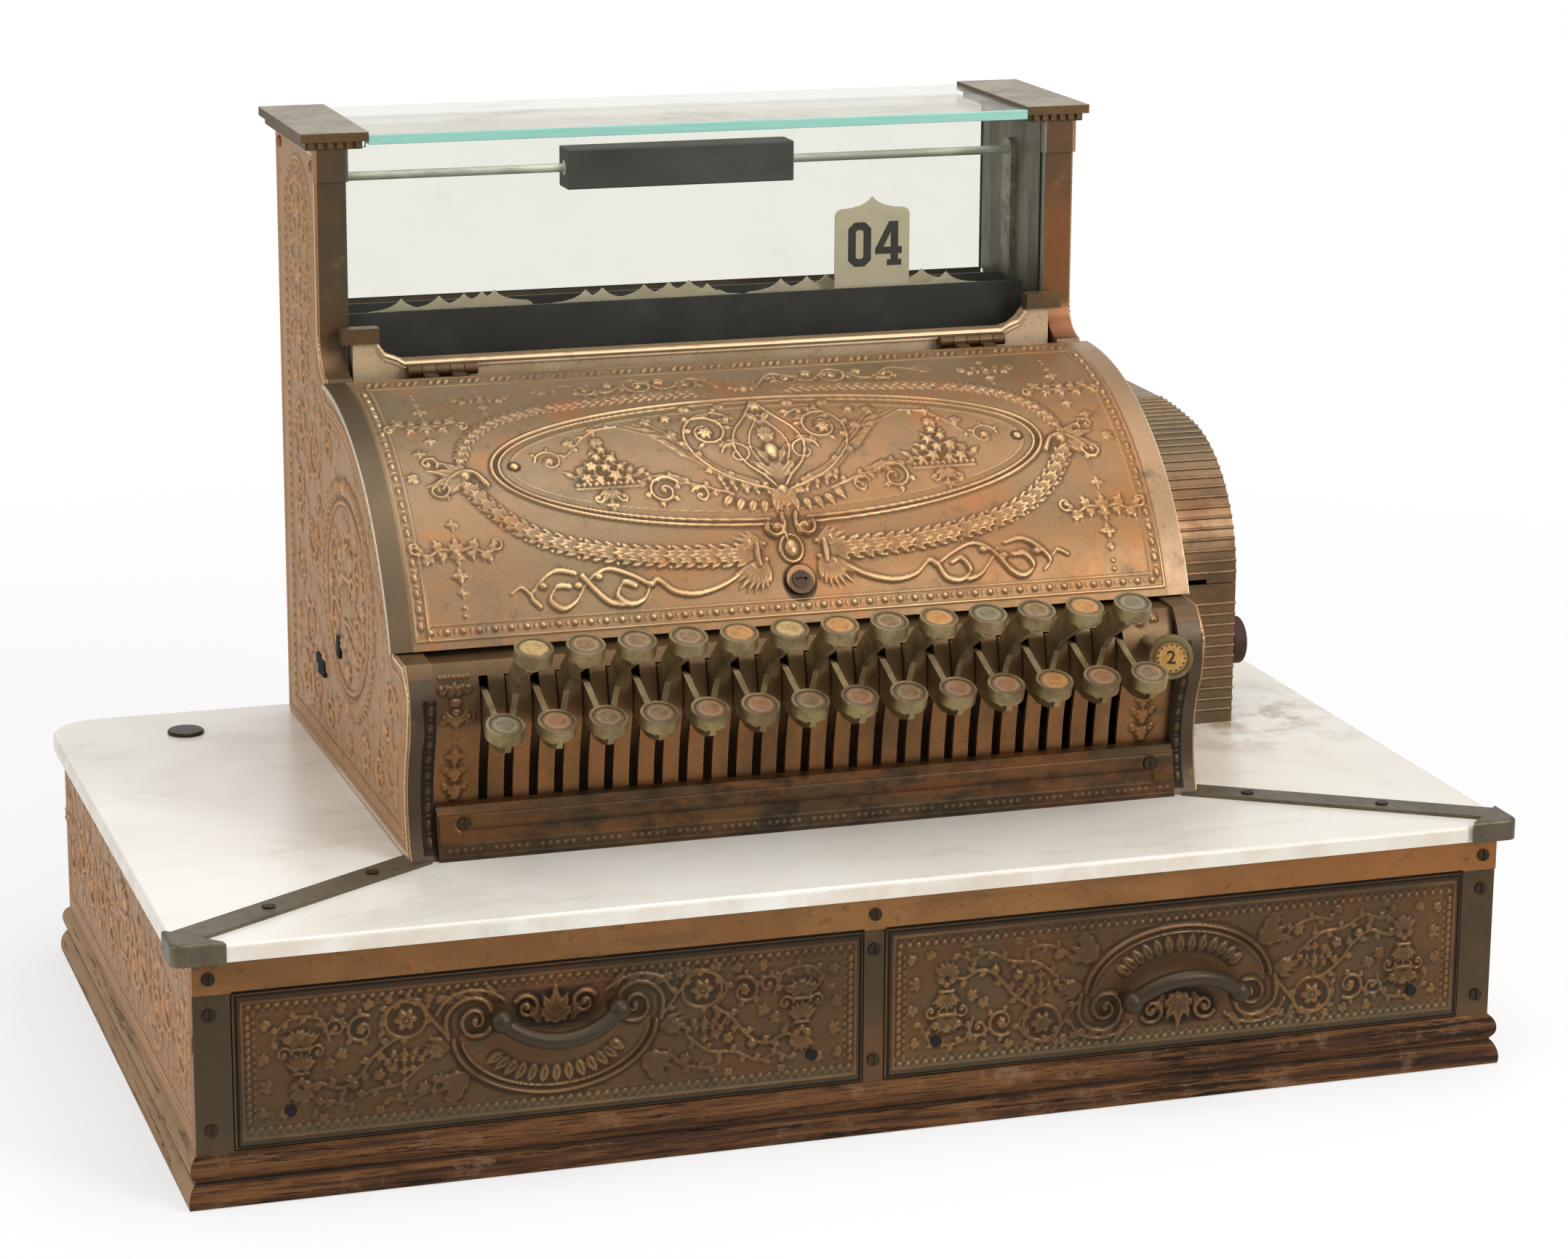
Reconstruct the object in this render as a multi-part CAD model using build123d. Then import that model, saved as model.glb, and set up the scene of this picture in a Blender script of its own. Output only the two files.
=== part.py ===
"""Ticket register: a two-drawer cabinet, a marble shelf, a keyed brass case and an indicator window."""
from build123d import *
import math
import os

# Frame: the origin is the centre of the footprint on the counter. +X is to the right of someone
# standing at the keys, -Y is towards them and +Z is up. Lengths are in millimetres.

# ---- fits and gaps -----------------------------------------------------------
moving_gap = 0.5          # between pieces that move past each other
shaft_fit = 0.05          # radial room of a shaft in its hole

# ---- cabinet -----------------------------------------------------------------
cabinet_width = 715.0
cabinet_depth = 412.0
plinth_height = 27.5
cabinet_height = 101.0
skin = 2.0                # sheet brass on the cabinet
board = 10.0              # thickness of the bottom, top and back boards
wall = 12.0               # thickness of the side boards
divider_width = 9.0
stile_width = 19.0
centre_stile_width = 11.0
rail_height = 17.0
rail_proud = 1.2
rail_joint_x = 7.6
plinth_inside = 26.0
plinth_lower_height = 12.5
plinth_lower_proud = 5.0
plinth_upper_proud = 4.0
plinth_groove = 1.5
plinth_brace_width = 40.0

# ---- drawers -----------------------------------------------------------------
drawer_front_thickness = 9.0
drawer_face_proud = 1.0
drawer_front_gap = 0.6
drawer_depth = 352.0
drawer_side_room = 7.0
drawer_top_room = 12.0
drawer_board = 7.0
drawer_floor = 5.0
runner_height = 2.0
runner_width = 14.0
drawer_hole_radius = 2.0
drawer_hole_spacing = 275.0
drawer_hole_height = 18.0
till_wall = 4.0
till_height = 34.0
till_note_length = 165.0
till_cells = 4
pull_spacing = 61.5
pull_sag = 12.0
pull_bar_radius = 4.5
pull_ball_radius = 6.2
pull_post_radius = 3.7
pull_reach = 19.0
pull_left_rise = 58.5     # of the ball ends above the plinth; the left bail hangs down
pull_right_rise = 33.0    # the right bail arches up

# ---- marble shelf ------------------------------------------------------------
marble_thickness = 9.0
marble_front_overhang = 3.0
marble_side_overhang = 8.0
marble_back_overhang = 13.0
marble_corner_radius = 30.0
marble_edge_radius = 2.5
marble_joint = 1.0
marble_joint_run_on = 60.0   # the joint runs past the strip at both ends
marble_under_case = 14.0
strip_width = 18.0
strip_thickness = 2.0
strip_start = (4.5, 16.0)     # inward of the cabinet's corner
strip_end = (6.0, 5.0)        # inward of the case's corner
cap_width = 26.0
cap_wall = 2.6
cap_gap = 0.2
cap_corner_radius = 6.0
cap_edge_radius = 2.0
marble_bolt_x = -291.5
marble_bolt_from_front = 378.7
marble_bolt_radius = 10.5
marble_bolt_height = 2.2
marble_bolt_shank = 3.0

# ---- case --------------------------------------------------------------------
case_width = 446.6
case_wall = 3.0
case_rim = 14.5
case_rim_depth = 4.0
case_front_inset = 98.0   # from the cabinet's front to the case's foot
case_hollow_inset = 105.5
case_hollow_rise = 27.5
case_bend_inset = 99.0
case_bend_rise = 62.5
case_shoulder_inset = 107.0
case_shoulder_rise = 105.5
lid_radius = 172.0
lid_centre_inset = 286.5
lid_centre_rise = 48.5
lid_front_angle = 20.0
lid_back_angle = 89.4
lid_thickness = 2.5
lid_overhang = 3.2
lid_seat_lead = 0.4       # degrees that the sides' seats run on behind the lid
column_front_inset = 305.5
column_width = 17.0
column_foot_inset = 287.5
column_foot_rise = 222.0
column_flare_rise = 244.0
column_height = 346.5
neck_height = 18.0
neck_proud = 1.2
cap_side_overhang = 8.3
cap_front_overhang = 3.5
cap_back_overhang = 9.0
cap_inner_overhang = 12.6
cap_slab = 5.0
cap_band = 4.5
cap_band_inset = 3.0
dentil_width = 3.0
dentil_count = 6

# ---- key plate, sill and keys ------------------------------------------------
plate_thickness = 3.0
plate_low_rise = 12.5
plate_low_inset = 110.0
plate_mid_rise = 40.5
plate_mid_inset = 109.0
plate_bend_rise = 65.5
plate_bend_inset = 103.5
plate_top_rise = 104.0
plate_top_inset = 111.5
plate_ledge = 28.0
plate_cut_depth = 12.0    # how far behind the plate's foot the slots are cut
upper_keys = 13
lower_keys = 14
keyboard_left_margin = 27.55    # from the ends of the plate to the middles of the outer slots
keyboard_right_margin = 32.55
slot_width = 5.0
slot_low_rise = 26.0
slot_high_rise = 97.0
blade_thickness = 3.4
key_cap_radius = 10.25
key_cap_height = 7.0
key_cap_rim = 1.7
key_cap_recess = 0.8
key_neck_radius = 4.5
key_neck_length = 5.0
upper_cap_inset = 53.0
upper_cap_rise = 124.5
upper_cap_tilt = 18.0
lower_cap_inset = 59.5
lower_cap_rise = 83.0
lower_cap_tilt = 21.0
# outlines of the levers in front of the plate: inset behind the cabinet's front, rise above the shelf
upper_blade_outline = (
    (120.0, 96.0), (103.0, 96.0), (96.0, 103.0), (86.0, 111.0), (76.0, 116.0), (62.0, 119.0), (48.0, 114.0),
    (57.0, 111.0), (70.0, 104.5), (82.0, 98.0), (91.0, 90.0), (96.0, 82.0), (99.0, 76.0), (120.0, 76.0),
)
lower_blade_outline = (
    (120.0, 90.0), (103.0, 90.0), (90.0, 85.0), (80.0, 81.5), (68.0, 78.0), (52.0, 75.0),
    (56.0, 69.0), (66.0, 66.2), (80.0, 65.0), (94.0, 67.0), (104.0, 71.0), (120.0, 76.0),
)
pivot_inset = 300.0
pivot_rise = 52.5
pivot_radius = 4.0
lever_hub_radius = 9.0
lever_depth = 14.0
lever_tail = 32.0
lever_drop = 12.0         # from the top of the slots to the top of a lever behind the plate
lever_setback = 6.0
side_key_margin = 16.8    # from the plate's end to the stem
side_key_rise = 88.5
side_key_stem_radius = 3.0
side_key_hole_radius = 6.5
side_key_guide_back = 12.0   # from the plate's top edge to the bracket that guides the stem
side_key_guide_length = 6.0
side_key_cap_radius = 12.0
side_key_cap_inset = 84.0
side_key_cap_offset = 7.0
side_key_cap_drop = 5.0
side_key_cap_rim = 2.2
side_key_cap_floor = 1.3
side_key_stem_setback = 4.0
side_key_turn = 20.0
side_key_tail = 30.0
sill_height = 29.0
sill_foot_inset = 95.5
sill_wall = 3.0
sill_slope = 4.5
sill_nose = 8.0
sill_lip = 1.0
sill_gap = 0.4
sill_end_gap = 0.3
sill_screw_inset = 14.5
sill_screw_share = 0.78

# ---- lid furniture -----------------------------------------------------------
hinge_inset = 290.5
hinge_rise = 223.5
hinge_radius = 3.4
hinge_pin_radius = 1.5
hinge_length = 40.0
hinge_from_end = 66.3
hinge_knuckles = 5
knuckle_gap = 0.4
lock_angle = 27.8
lock_x = 2.0
lock_radius = 5.0
lock_boss_radius = 8.0
lock_boss_height = 2.5
lock_length = 16.0
lock_slot = 1.6
lock_bolt_width = 8.0
lock_bolt_reach = 14.0

# ---- window ------------------------------------------------------------------
glass_thickness = 4.0
glass_top_thickness = 5.5
glass_front_inset = 310.0
window_sill_front = 296.0
window_sill_thickness = 8.0
window_sill_low_rise = 214.0
window_sill_rise = 229.0
bracket_rise = 239.5
bracket_run = 14.0
bracket_step = 12.0
bracket_cap_width = 21.0
bracket_cap_height = 8.7
bracket_cap_front = 292.5
bracket_cap_depth = 9.0
trough_front_inset = 338.0
trough_back_inset = 368.0
trough_wall = 2.0
trough_low_rise = 205.0
trough_rise = 248.5
flag_width = 46.0
flag_thickness = 0.8
flag_plane_gap = 3.4
flag_planes = 6
flag_guide_width = 36.0
flag_carrier_height = 4.0
flag_shoulder = 7.0
flag_low_rise = 210.0
flag_tip_above_trough = 6.0
# centres of the flags, as shares of the window's half width
flag_shares = (
    -0.81, -0.70, -0.625, -0.57, -0.53, -0.286, -0.233, -0.107,
    -0.03, 0.034, 0.068, 0.29, 0.373, 0.436, 0.73, 0.78,
)
raised_flag_share = 0.55
raised_flag_overlap = 12.0   # how far the raised flag still reaches into the trough
raised_flag_lift = 47.0
sign_inset = 360.0
sign_rise = 323.0
sign_width = 135.0
sign_height = 23.0
sign_depth = 20.0
sign_rod_radius = 2.5
post_width = 14.0
post_thickness = 3.0

# ---- printer -----------------------------------------------------------------
printer_width = 77.0
printer_wall = 2.5
printer_front_inset = 227.0
printer_back_inset = 403.0
printer_seam_rise = 84.0
printer_height = 171.0
printer_bend_inset = 68.7   # where the hood's front curve meets its flatter top curve
printer_bend_rise = 81.8
printer_crown_inset = 116.0
printer_rib_pitch = 6.4
printer_rib_radius = 1.1
printer_rib_start = 8.0
printer_slot_start = 18.0
printer_slot_width = 40.0
printer_slot_height = 2.6
printer_hinge_radius = 3.0
printer_pin_radius = 1.4
printer_knuckle = 24.0
printer_hinge_reach = 34.0   # from the middle of the printer to the end of its hinge
printer_ear = 8.0
knob_inset = 245.0
knob_rise = 44.5
knob_radius = 14.0
knob_thickness = 9.0
knob_shaft_radius = 3.0
knob_roller_radius = 8.0
knob_roller_length = 42.0
knob_roller_end = 8.0        # from the housing's wall to the roller
knob_gap = 2.0
roll_radius = 32.0
roll_side_room = 6.0
roll_inset = 335.0
roll_rise = 42.0
spindle_radius = 4.0

# ---- works -------------------------------------------------------------------
works_side_room = 2.3
works_plate_thickness = 3.0
works_shaft_end = 1.0
works_crown_share = 0.66     # height of the plates at their front
works_tie_size = 8.0
works_tie_rise = 4.0
works_tie_inset = 12.0
works_front_inset = 150.0
works_back_inset = 390.0
works_height = 180.0
works_shoulder = 20.0
stop_bar_inset = 160.0
stop_bar_size = 8.0
wheels_inset = 235.0
wheels_rise = 150.0
wheel_shaft_radius = 3.0
wheel_radius = 20.0
wheel_thickness = 9.0
wheel_count = 6
wheel_pitch = 14.0

# ---- screws ------------------------------------------------------------------
screw_head_radius = 3.4
screw_head_height = 1.0
screw_shank_radius = 1.2
screw_shank_length = 7.0
screw_slot = 0.8
screw_inset = 8.0
stile_screw_rise = 12.0
stile_screw_drop = 11.0
strip_screw_shares = (0.32, 0.78)

# ---- places worked out from the sizes above ----------------------------------
front_y = -cabinet_depth / 2
back_y = cabinet_depth / 2
half_cabinet = cabinet_width / 2
marble_z = plinth_height + cabinet_height
shelf_z = marble_z + marble_thickness
half_case = case_width / 2
rim_x = half_case - case_rim
column_x = half_case - column_width
works_plate_x = column_x - works_side_room - works_plate_thickness
raised_flag_x = column_x * raised_flag_share
side_key_x = rim_x - side_key_margin
keyboard_width = 2 * rim_x - keyboard_left_margin - keyboard_right_margin
key_pitch = keyboard_width / (upper_keys + lower_keys - 1) * 2
keyboard_centre_x = (keyboard_left_margin - keyboard_right_margin) / 2
hinge_centre_x = half_case - hinge_from_end
window_z = shelf_z + column_height
pivot_y = front_y + pivot_inset
pivot_z = shelf_z + pivot_rise
lid_centre_y = front_y + lid_centre_inset
lid_centre_z = shelf_z + lid_centre_rise
hinge_y = front_y + hinge_inset
hinge_z = shelf_z + hinge_rise
sign_y = front_y + sign_inset
sign_z = shelf_z + sign_rise
knob_y = front_y + knob_inset
knob_z = shelf_z + knob_rise
roll_y = front_y + roll_inset
roll_z = shelf_z + roll_rise
printer_x = half_case
printer_right = half_case + printer_width
printer_seam_z = shelf_z + printer_seam_rise
printer_hinge_y = front_y + printer_back_inset + printer_hinge_radius + moving_gap
printer_hinge_z = printer_seam_z - printer_hinge_radius
bay_width = half_cabinet - skin - wall - divider_width / 2
front_width = half_cabinet - stile_width - centre_stile_width / 2 - 2 * drawer_front_gap
front_height = cabinet_height - rail_height - 2 * drawer_front_gap
front_bottom = plinth_height + drawer_front_gap
drawer_x = (half_cabinet - stile_width + centre_stile_width / 2) / 2
runner_top = plinth_height + board + runner_height
box_bottom = runner_top + moving_gap
box_top = marble_z - board - drawer_top_room
works_floor = marble_z


def block(x_range, y_range, z_range):
    """A box between two corners, given as (low, high) pairs."""
    pairs = (x_range, y_range, z_range)
    sizes = [high - low for low, high in pairs]
    centre = [(high + low) / 2 for low, high in pairs]
    return Pos(*centre) * Box(*sizes)


def bar(radius, start, end):
    """A round bar from one point to another."""
    path = Vector(*end) - Vector(*start)
    return extrude(Plane(origin=start, z_dir=path.normalized()) * Circle(radius), amount=path.length)


def bar_x(radius, x_range, y, z):
    """A round bar along X."""
    return bar(radius, (x_range[0], y, z), (x_range[1], y, z))


def across(face, x_range):
    """A (y, z) face drawn out along X."""
    return extrude(Plane.YZ.offset(x_range[0]) * face, amount=x_range[1] - x_range[0], dir=(1, 0, 0))


def outward(face, y_front, depth):
    """An (x, z) face drawn back along +Y from y_front."""
    plane = Plane(origin=(0, y_front, 0), x_dir=(1, 0, 0), z_dir=(0, -1, 0))
    return extrude(plane * face, amount=depth, dir=(0, 1, 0))


def upward(face, z_low, height):
    """An (x, y) face drawn up from z_low."""
    return extrude(Pos(0, 0, z_low) * face, amount=height, dir=(0, 0, 1))


def polygon(*points):
    """A closed face through the points, in the order given."""
    return make_face(Polyline(*points, close=True))


def mirrored(shape):
    """The shape's mirror image on the other side of the centre plane."""
    return mirror(shape, about=Plane.YZ)


def save(name, *shapes):
    """Write the shapes' solids as one node."""
    solids = [solid for shape in shapes for solid in shape.solids()]
    export_step(Compound(children=solids), f"parts/{name}.step")


# ---- screws ------------------------------------------------------------------

def screw_places():
    """Every screw as (point under the head, direction out of the head)."""
    rail_y = front_y - rail_proud
    rail_z = marble_z - rail_height / 2
    across_x = (-half_cabinet + screw_inset, 0.0, half_cabinet - screw_inset)
    places = [((x, rail_y, rail_z), (0, -1, 0)) for x in across_x]
    for x in across_x:
        for z in (plinth_height + stile_screw_rise, marble_z - rail_height - stile_screw_drop):
            places.append(((x, front_y, z), (0, -1, 0)))
    for share in strip_screw_shares:
        x, y = strip_point(share)
        places.append(((x, y, shelf_z + strip_thickness), (0, 0, 1)))
        places.append(((-x, y, shelf_z + strip_thickness), (0, 0, 1)))
    return places


def strip_ends():
    """Centre line of the left strip, from the corner cap to the case."""
    start = (-half_cabinet + strip_start[0], front_y + strip_start[1])
    end = (-half_case + strip_end[0], front_y + case_front_inset + strip_end[1])
    return start, end


def strip_point(share):
    """A point on the left strip, as a share of its length from the corner."""
    start, end = strip_ends()
    return tuple(a + share * (b - a) for a, b in zip(start, end))


def shank(place):
    point, direction = place
    end = [p - screw_shank_length * d for p, d in zip(point, direction)]
    return bar(screw_shank_radius, end, point)


def drilled(shape, places):
    """The shape with a hole for each screw."""
    for place in places:
        shape = shape - shank(place)
    return shape


def screw(place):
    """A slotted round-head screw."""
    point, direction = place
    top = Plane(origin=point, z_dir=direction)
    head = extrude(top * Circle(screw_head_radius), amount=screw_head_height)
    groove = top * Pos(0, 0, screw_head_height) * Box(2 * screw_head_radius, screw_slot, screw_head_height)
    return head - groove + shank(place)


def fasteners():
    """Cabinet and shelf screws, sill screws and the round-headed shelf bolt."""
    pieces = [screw(place) for place in screw_places()]
    pieces += [screw(place) for place in sill_screws()]
    pieces.append(shelf_bolt())
    return pieces


def bolt_shank():
    y = front_y + marble_bolt_from_front
    return bar(marble_bolt_shank, (marble_bolt_x, y, marble_z - board), (marble_bolt_x, y, shelf_z))


def shelf_bolt():
    """Low domed bolt head that holds the left slab down."""
    y = front_y + marble_bolt_from_front
    head = Pos(marble_bolt_x, y, shelf_z) * extrude(Circle(marble_bolt_radius), amount=marble_bolt_height)
    head = chamfer(head.edges().sort_by(Axis.Z)[-1], marble_bolt_height / 3)
    return head + bolt_shank()


# ---- cabinet -----------------------------------------------------------------

def moulding_bar(length):
    """One side of the plinth, outward towards -Y, mitred at both ends."""
    lower, proud, upper = plinth_lower_height, plinth_lower_proud, plinth_upper_proud
    groove_top = lower + plinth_groove
    bulge_z = (groove_top + plinth_height) / 2
    profile = make_face(
        Line((-plinth_inside, 0), (proud, 0))
        + ThreePointArc((proud, 0), (proud, lower / 2), (upper / 2, lower))
        + Line((upper / 2, lower), (upper / 3, lower))
        + Line((upper / 3, lower), (upper / 3, groove_top))
        + ThreePointArc((upper / 3, groove_top), (upper, bulge_z), (0, plinth_height))
        + Line((0, plinth_height), (-plinth_inside, plinth_height))
        + Line((-plinth_inside, plinth_height), (-plinth_inside, 0))
    )
    plane = Plane(origin=(0, 0, 0), x_dir=(0, -1, 0), z_dir=(-1, 0, 0))
    stock = extrude(plane * profile, amount=length / 2 + 2 * proud, both=True)
    reach = 2 * proud
    half = length / 2
    mitre = polygon(
        (-half - reach, -reach),
        (half + reach, -reach),
        (half - plinth_inside, plinth_inside),
        (-half + plinth_inside, plinth_inside),
    )
    return stock & upward(mitre, 0, plinth_height)


def plinth_moulding():
    """Four mitred lengths of oak moulding that carry the cabinet, with a brace across the middle."""
    front = Pos(0, front_y, 0) * moulding_bar(cabinet_width)
    back = Pos(0, back_y, 0) * Rot(0, 0, 180) * moulding_bar(cabinet_width)
    left = Pos(-half_cabinet, 0, 0) * Rot(0, 0, -90) * moulding_bar(cabinet_depth)
    right = Pos(half_cabinet, 0, 0) * Rot(0, 0, 90) * moulding_bar(cabinet_depth)
    brace_x = (-plinth_brace_width / 2, plinth_brace_width / 2)
    brace = block(brace_x, (front_y + plinth_inside, back_y - plinth_inside), (0, plinth_height))
    return front, back, left, right, brace


def carcass():
    """Wooden boards of the cabinet, with the drawer runners."""
    inner_x = half_cabinet - skin
    depth = (front_y + skin, back_y - skin)
    floor_z = plinth_height + board
    ceiling_z = marble_z - board
    setback = front_y + drawer_front_thickness + 2 * moving_gap
    bottom = block((-inner_x, inner_x), (setback, back_y - skin), (plinth_height, floor_z))
    top = block((-inner_x, inner_x), depth, (ceiling_z, marble_z))
    top = drilled(top, screw_places()) - bolt_shank()
    pieces = [bottom, top]
    back_board = (back_y - skin - board, back_y - skin)
    pieces.append(block((-inner_x, inner_x), back_board, (floor_z, ceiling_z)))
    between = (front_y + skin, back_board[0])
    for side in (-1, 1):
        outer, inner = side * inner_x, side * (inner_x - wall)
        upright = block(sorted((outer, inner)), between, (floor_z, ceiling_z))
        pieces.append(drilled(upright, screw_places()))
    divider = block((-divider_width / 2, divider_width / 2), between, (floor_z, ceiling_z))
    pieces.append(drilled(divider, screw_places()))
    for x in runner_centres():
        runner = (x - runner_width / 2, x + runner_width / 2)
        pieces.append(block(runner, (setback, back_board[0]), (floor_z, runner_top)))
    return pieces


def runner_centres():
    """Middle of each of the four drawer runners."""
    reach = bay_width / 2 - drawer_side_room - runner_width / 2
    return [side * drawer_x + end * reach for side in (-1, 1) for end in (-1, 1)]


def base_panels():
    """Embossed brass sheets on both sides and the back of the cabinet."""
    depth = (front_y + skin, back_y)
    height = (plinth_height, marble_z)
    left = block((-half_cabinet, -half_cabinet + skin), depth, height)
    back = block((-half_cabinet + skin, half_cabinet - skin), (back_y - skin, back_y), height)
    return left, mirrored(left), back


def front_frame():
    """Brass rail in two lengths and the three stiles."""
    rail_low = marble_z - rail_height
    rail_y = (front_y - rail_proud, front_y + skin)
    rails = [
        block((-half_cabinet, rail_joint_x), rail_y, (rail_low, marble_z)),
        block((rail_joint_x, half_cabinet), rail_y, (rail_low, marble_z)),
    ]
    stile_y = (front_y, front_y + skin)
    stile_z = (plinth_height, rail_low)
    left = block((-half_cabinet, -half_cabinet + stile_width), stile_y, stile_z)
    centre = block((-centre_stile_width / 2, centre_stile_width / 2), stile_y, stile_z)
    return [drilled(piece, screw_places()) for piece in (*rails, left, centre, mirrored(left))]


# ---- marble shelf ------------------------------------------------------------

def shelf_outline():
    """Plan of the whole shelf: square front corners, rounded back corners."""
    half = half_cabinet + marble_side_overhang
    front, back = front_y - marble_front_overhang, back_y + marble_back_overhang
    radius = marble_corner_radius
    trim = radius * (1 - math.sqrt(0.5))
    return make_face(
        Line((-half, front), (half, front))
        + Line((half, front), (half, back - radius))
        + ThreePointArc((half, back - radius), (half - trim, back - trim), (half - radius, back))
        + Line((half - radius, back), (-half + radius, back))
        + ThreePointArc((-half + radius, back), (-half + trim, back - trim), (-half, back - radius))
        + Line((-half, back - radius), (-half, front))
    )


def slab_joint():
    """Narrow prism along the left strip that parts two slabs."""
    start, end = strip_ends()
    run = Vector(end[0] - start[0], end[1] - start[1])
    turn = math.degrees(math.atan2(run.Y, run.X))
    middle = ((start[0] + end[0]) / 2, (start[1] + end[1]) / 2)
    length = run.length + 2 * marble_joint_run_on
    return Pos(*middle, marble_z + marble_thickness / 2) * Rot(0, 0, turn) * Box(
        length, marble_joint, 2 * marble_thickness
    )


def marble_slabs():
    """Left, front and right slabs, open under the case and parted along the strips."""
    shelf = upward(shelf_outline(), marble_z, marble_thickness)
    shelf = fillet(shelf.faces().sort_by(Axis.Z)[-1].edges(), marble_edge_radius)
    hollow_x = half_case - marble_under_case
    front = front_y + case_front_inset + marble_under_case
    opening = block((-hollow_x, hollow_x), (front, back_y - marble_under_case), (marble_z, shelf_z))
    joint_x = (-marble_joint / 2, marble_joint / 2)
    joint_y = (back_y - marble_under_case, back_y + 2 * marble_back_overhang)
    back_joint = block(joint_x, joint_y, (marble_z, shelf_z))
    shelf = shelf - opening - back_joint - slab_joint() - mirrored(slab_joint()) - bolt_shank()
    return drilled(shelf, screw_places())


def strip_bar():
    """Left diagonal strip that covers the joint between two slabs."""
    start, end = strip_ends()
    run = Vector(end[0] - start[0], end[1] - start[1])
    turn = math.degrees(math.atan2(run.Y, run.X))
    middle = ((start[0] + end[0]) / 2, (start[1] + end[1]) / 2)
    length = run.length + strip_width
    place = Pos(*middle, shelf_z + strip_thickness / 2) * Rot(0, 0, turn)
    strip = place * Box(length, strip_width, strip_thickness)
    foot = block(
        (-half_case, 0),
        (front_y + case_front_inset, back_y),
        (shelf_z, shelf_z + strip_thickness),
    )
    sill = block((-half_case, 0), (front_y + sill_foot_inset, 0), (shelf_z, shelf_z + strip_thickness))
    return strip - foot - sill


def corner_order(edge):
    """Smallest for the edge nearest the shelf's front left corner."""
    return edge.center().X + edge.center().Y


def corner_cap():
    """Left cast corner that wraps over the shelf's front corner and joins the strip."""
    corner_x = -half_cabinet - marble_side_overhang
    corner_y = front_y - marble_front_overhang
    outer = block(
        (corner_x - cap_wall, corner_x + cap_width),
        (corner_y - cap_wall, corner_y + cap_width),
        (marble_z, shelf_z + cap_wall),
    )
    outer = fillet(outer.edges().filter_by(Axis.Z).sort_by(corner_order)[0], cap_corner_radius)
    outer = fillet(outer.faces().sort_by(Axis.Z)[-1].edges().sort_by(corner_order)[0:3], cap_edge_radius)
    inner = block(
        (corner_x - cap_gap, corner_x + 2 * cap_width),
        (corner_y - cap_gap, corner_y + 2 * cap_width),
        (marble_z - 1, shelf_z),
    )
    diagonal = polygon(
        (corner_x + cap_width, corner_y - cap_wall - 1),
        (corner_x + cap_width + 1, corner_y - cap_wall - 1),
        (corner_x + cap_width + 1, corner_y + cap_width + 1),
        (corner_x - cap_wall - 1, corner_y + cap_width + 1),
        (corner_x - cap_wall - 1, corner_y + cap_width),
    )
    return outer - inner - upward(diagonal, marble_z - 1, 3 * marble_thickness)


def shelf_strips():
    """Both diagonal strips, each fused to its corner cap."""
    left = drilled(strip_bar() + corner_cap(), screw_places())
    return left, mirrored(left)


# ---- case --------------------------------------------------------------------

def lid_point(radius, angle):
    """(y, z) of a point round the lid's centre, with the angle up from the front."""
    turn = math.radians(angle)
    return lid_centre_y - radius * math.cos(turn), lid_centre_z + radius * math.sin(turn)


def lid_arc(radius, start_angle, end_angle):
    middle = lid_point(radius, (start_angle + end_angle) / 2)
    return ThreePointArc(lid_point(radius, start_angle), middle, lid_point(radius, end_angle))


def side_face():
    """Outline of a case side, (y, z): hollow foot, round shoulder, lid curve and column."""
    foot = (front_y + case_front_inset, shelf_z)
    hollow = (front_y + case_hollow_inset, shelf_z + case_hollow_rise)
    bend = (front_y + case_bend_inset, shelf_z + case_bend_rise)
    shoulder = (front_y + case_shoulder_inset, shelf_z + case_shoulder_rise)
    lower = ThreePointArc(foot, hollow, bend)
    upper = TangentArc(bend, shoulder, tangent=lower % 1)
    seat_radius = lid_radius - lid_thickness - moving_gap
    seat = lid_arc(seat_radius, lid_front_angle, lid_back_angle + lid_seat_lead)
    column_foot = (front_y + column_foot_inset, shelf_z + column_foot_rise)
    flare_low = (front_y + column_foot_inset + 2, shelf_z + column_foot_rise)
    column = front_y + column_front_inset
    flare_high = (column, shelf_z + column_flare_rise)
    lean = 0.3
    flare_middle = (
        column - lean * (column - flare_low[0]),
        flare_low[1] + lean * (flare_high[1] - flare_low[1]),
    )
    return make_face(
        lower
        + upper
        + Line(shoulder, seat @ 0)
        + seat
        + Line(seat @ 1, column_foot)
        + Line(column_foot, flare_low)
        + ThreePointArc(flare_low, flare_middle, flare_high)
        + Line(flare_high, (column, window_z))
        + Line((column, window_z), (back_y, window_z))
        + Line((back_y, window_z), (back_y, shelf_z))
        + Line((back_y, shelf_z), foot)
    )


def case_side_left():
    """Cast side frame: a sheet with an inward rim, a column and its neck."""
    face = side_face()
    sheet = across(face, (-half_case, -half_case + case_wall))
    inner = offset(face, amount=-case_rim_depth)
    rim = across(face, (-half_case, -rim_x)) - across(inner, (-half_case, -rim_x))
    column = front_y + column_front_inset
    flare_z = shelf_z + column_flare_rise
    pilaster = block((-rim_x, -column_x), (column, column + case_rim_depth), (flare_z, window_z))
    back_strip = block((-rim_x, -column_x), (back_y - case_rim_depth, back_y), (flare_z, window_z))
    lining = block((-column_x - case_wall, -column_x), (column, back_y), (flare_z, window_z))
    neck = block(
        (-half_case - neck_proud, -column_x + neck_proud),
        (column - neck_proud, column + case_rim_depth),
        (window_z - neck_height, window_z),
    )
    return sheet + rim + pilaster + back_strip + lining + neck


def case_side_right():
    """Mirror of the left side, drilled for the screws of the printer."""
    return mirrored(case_side_left())


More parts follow.
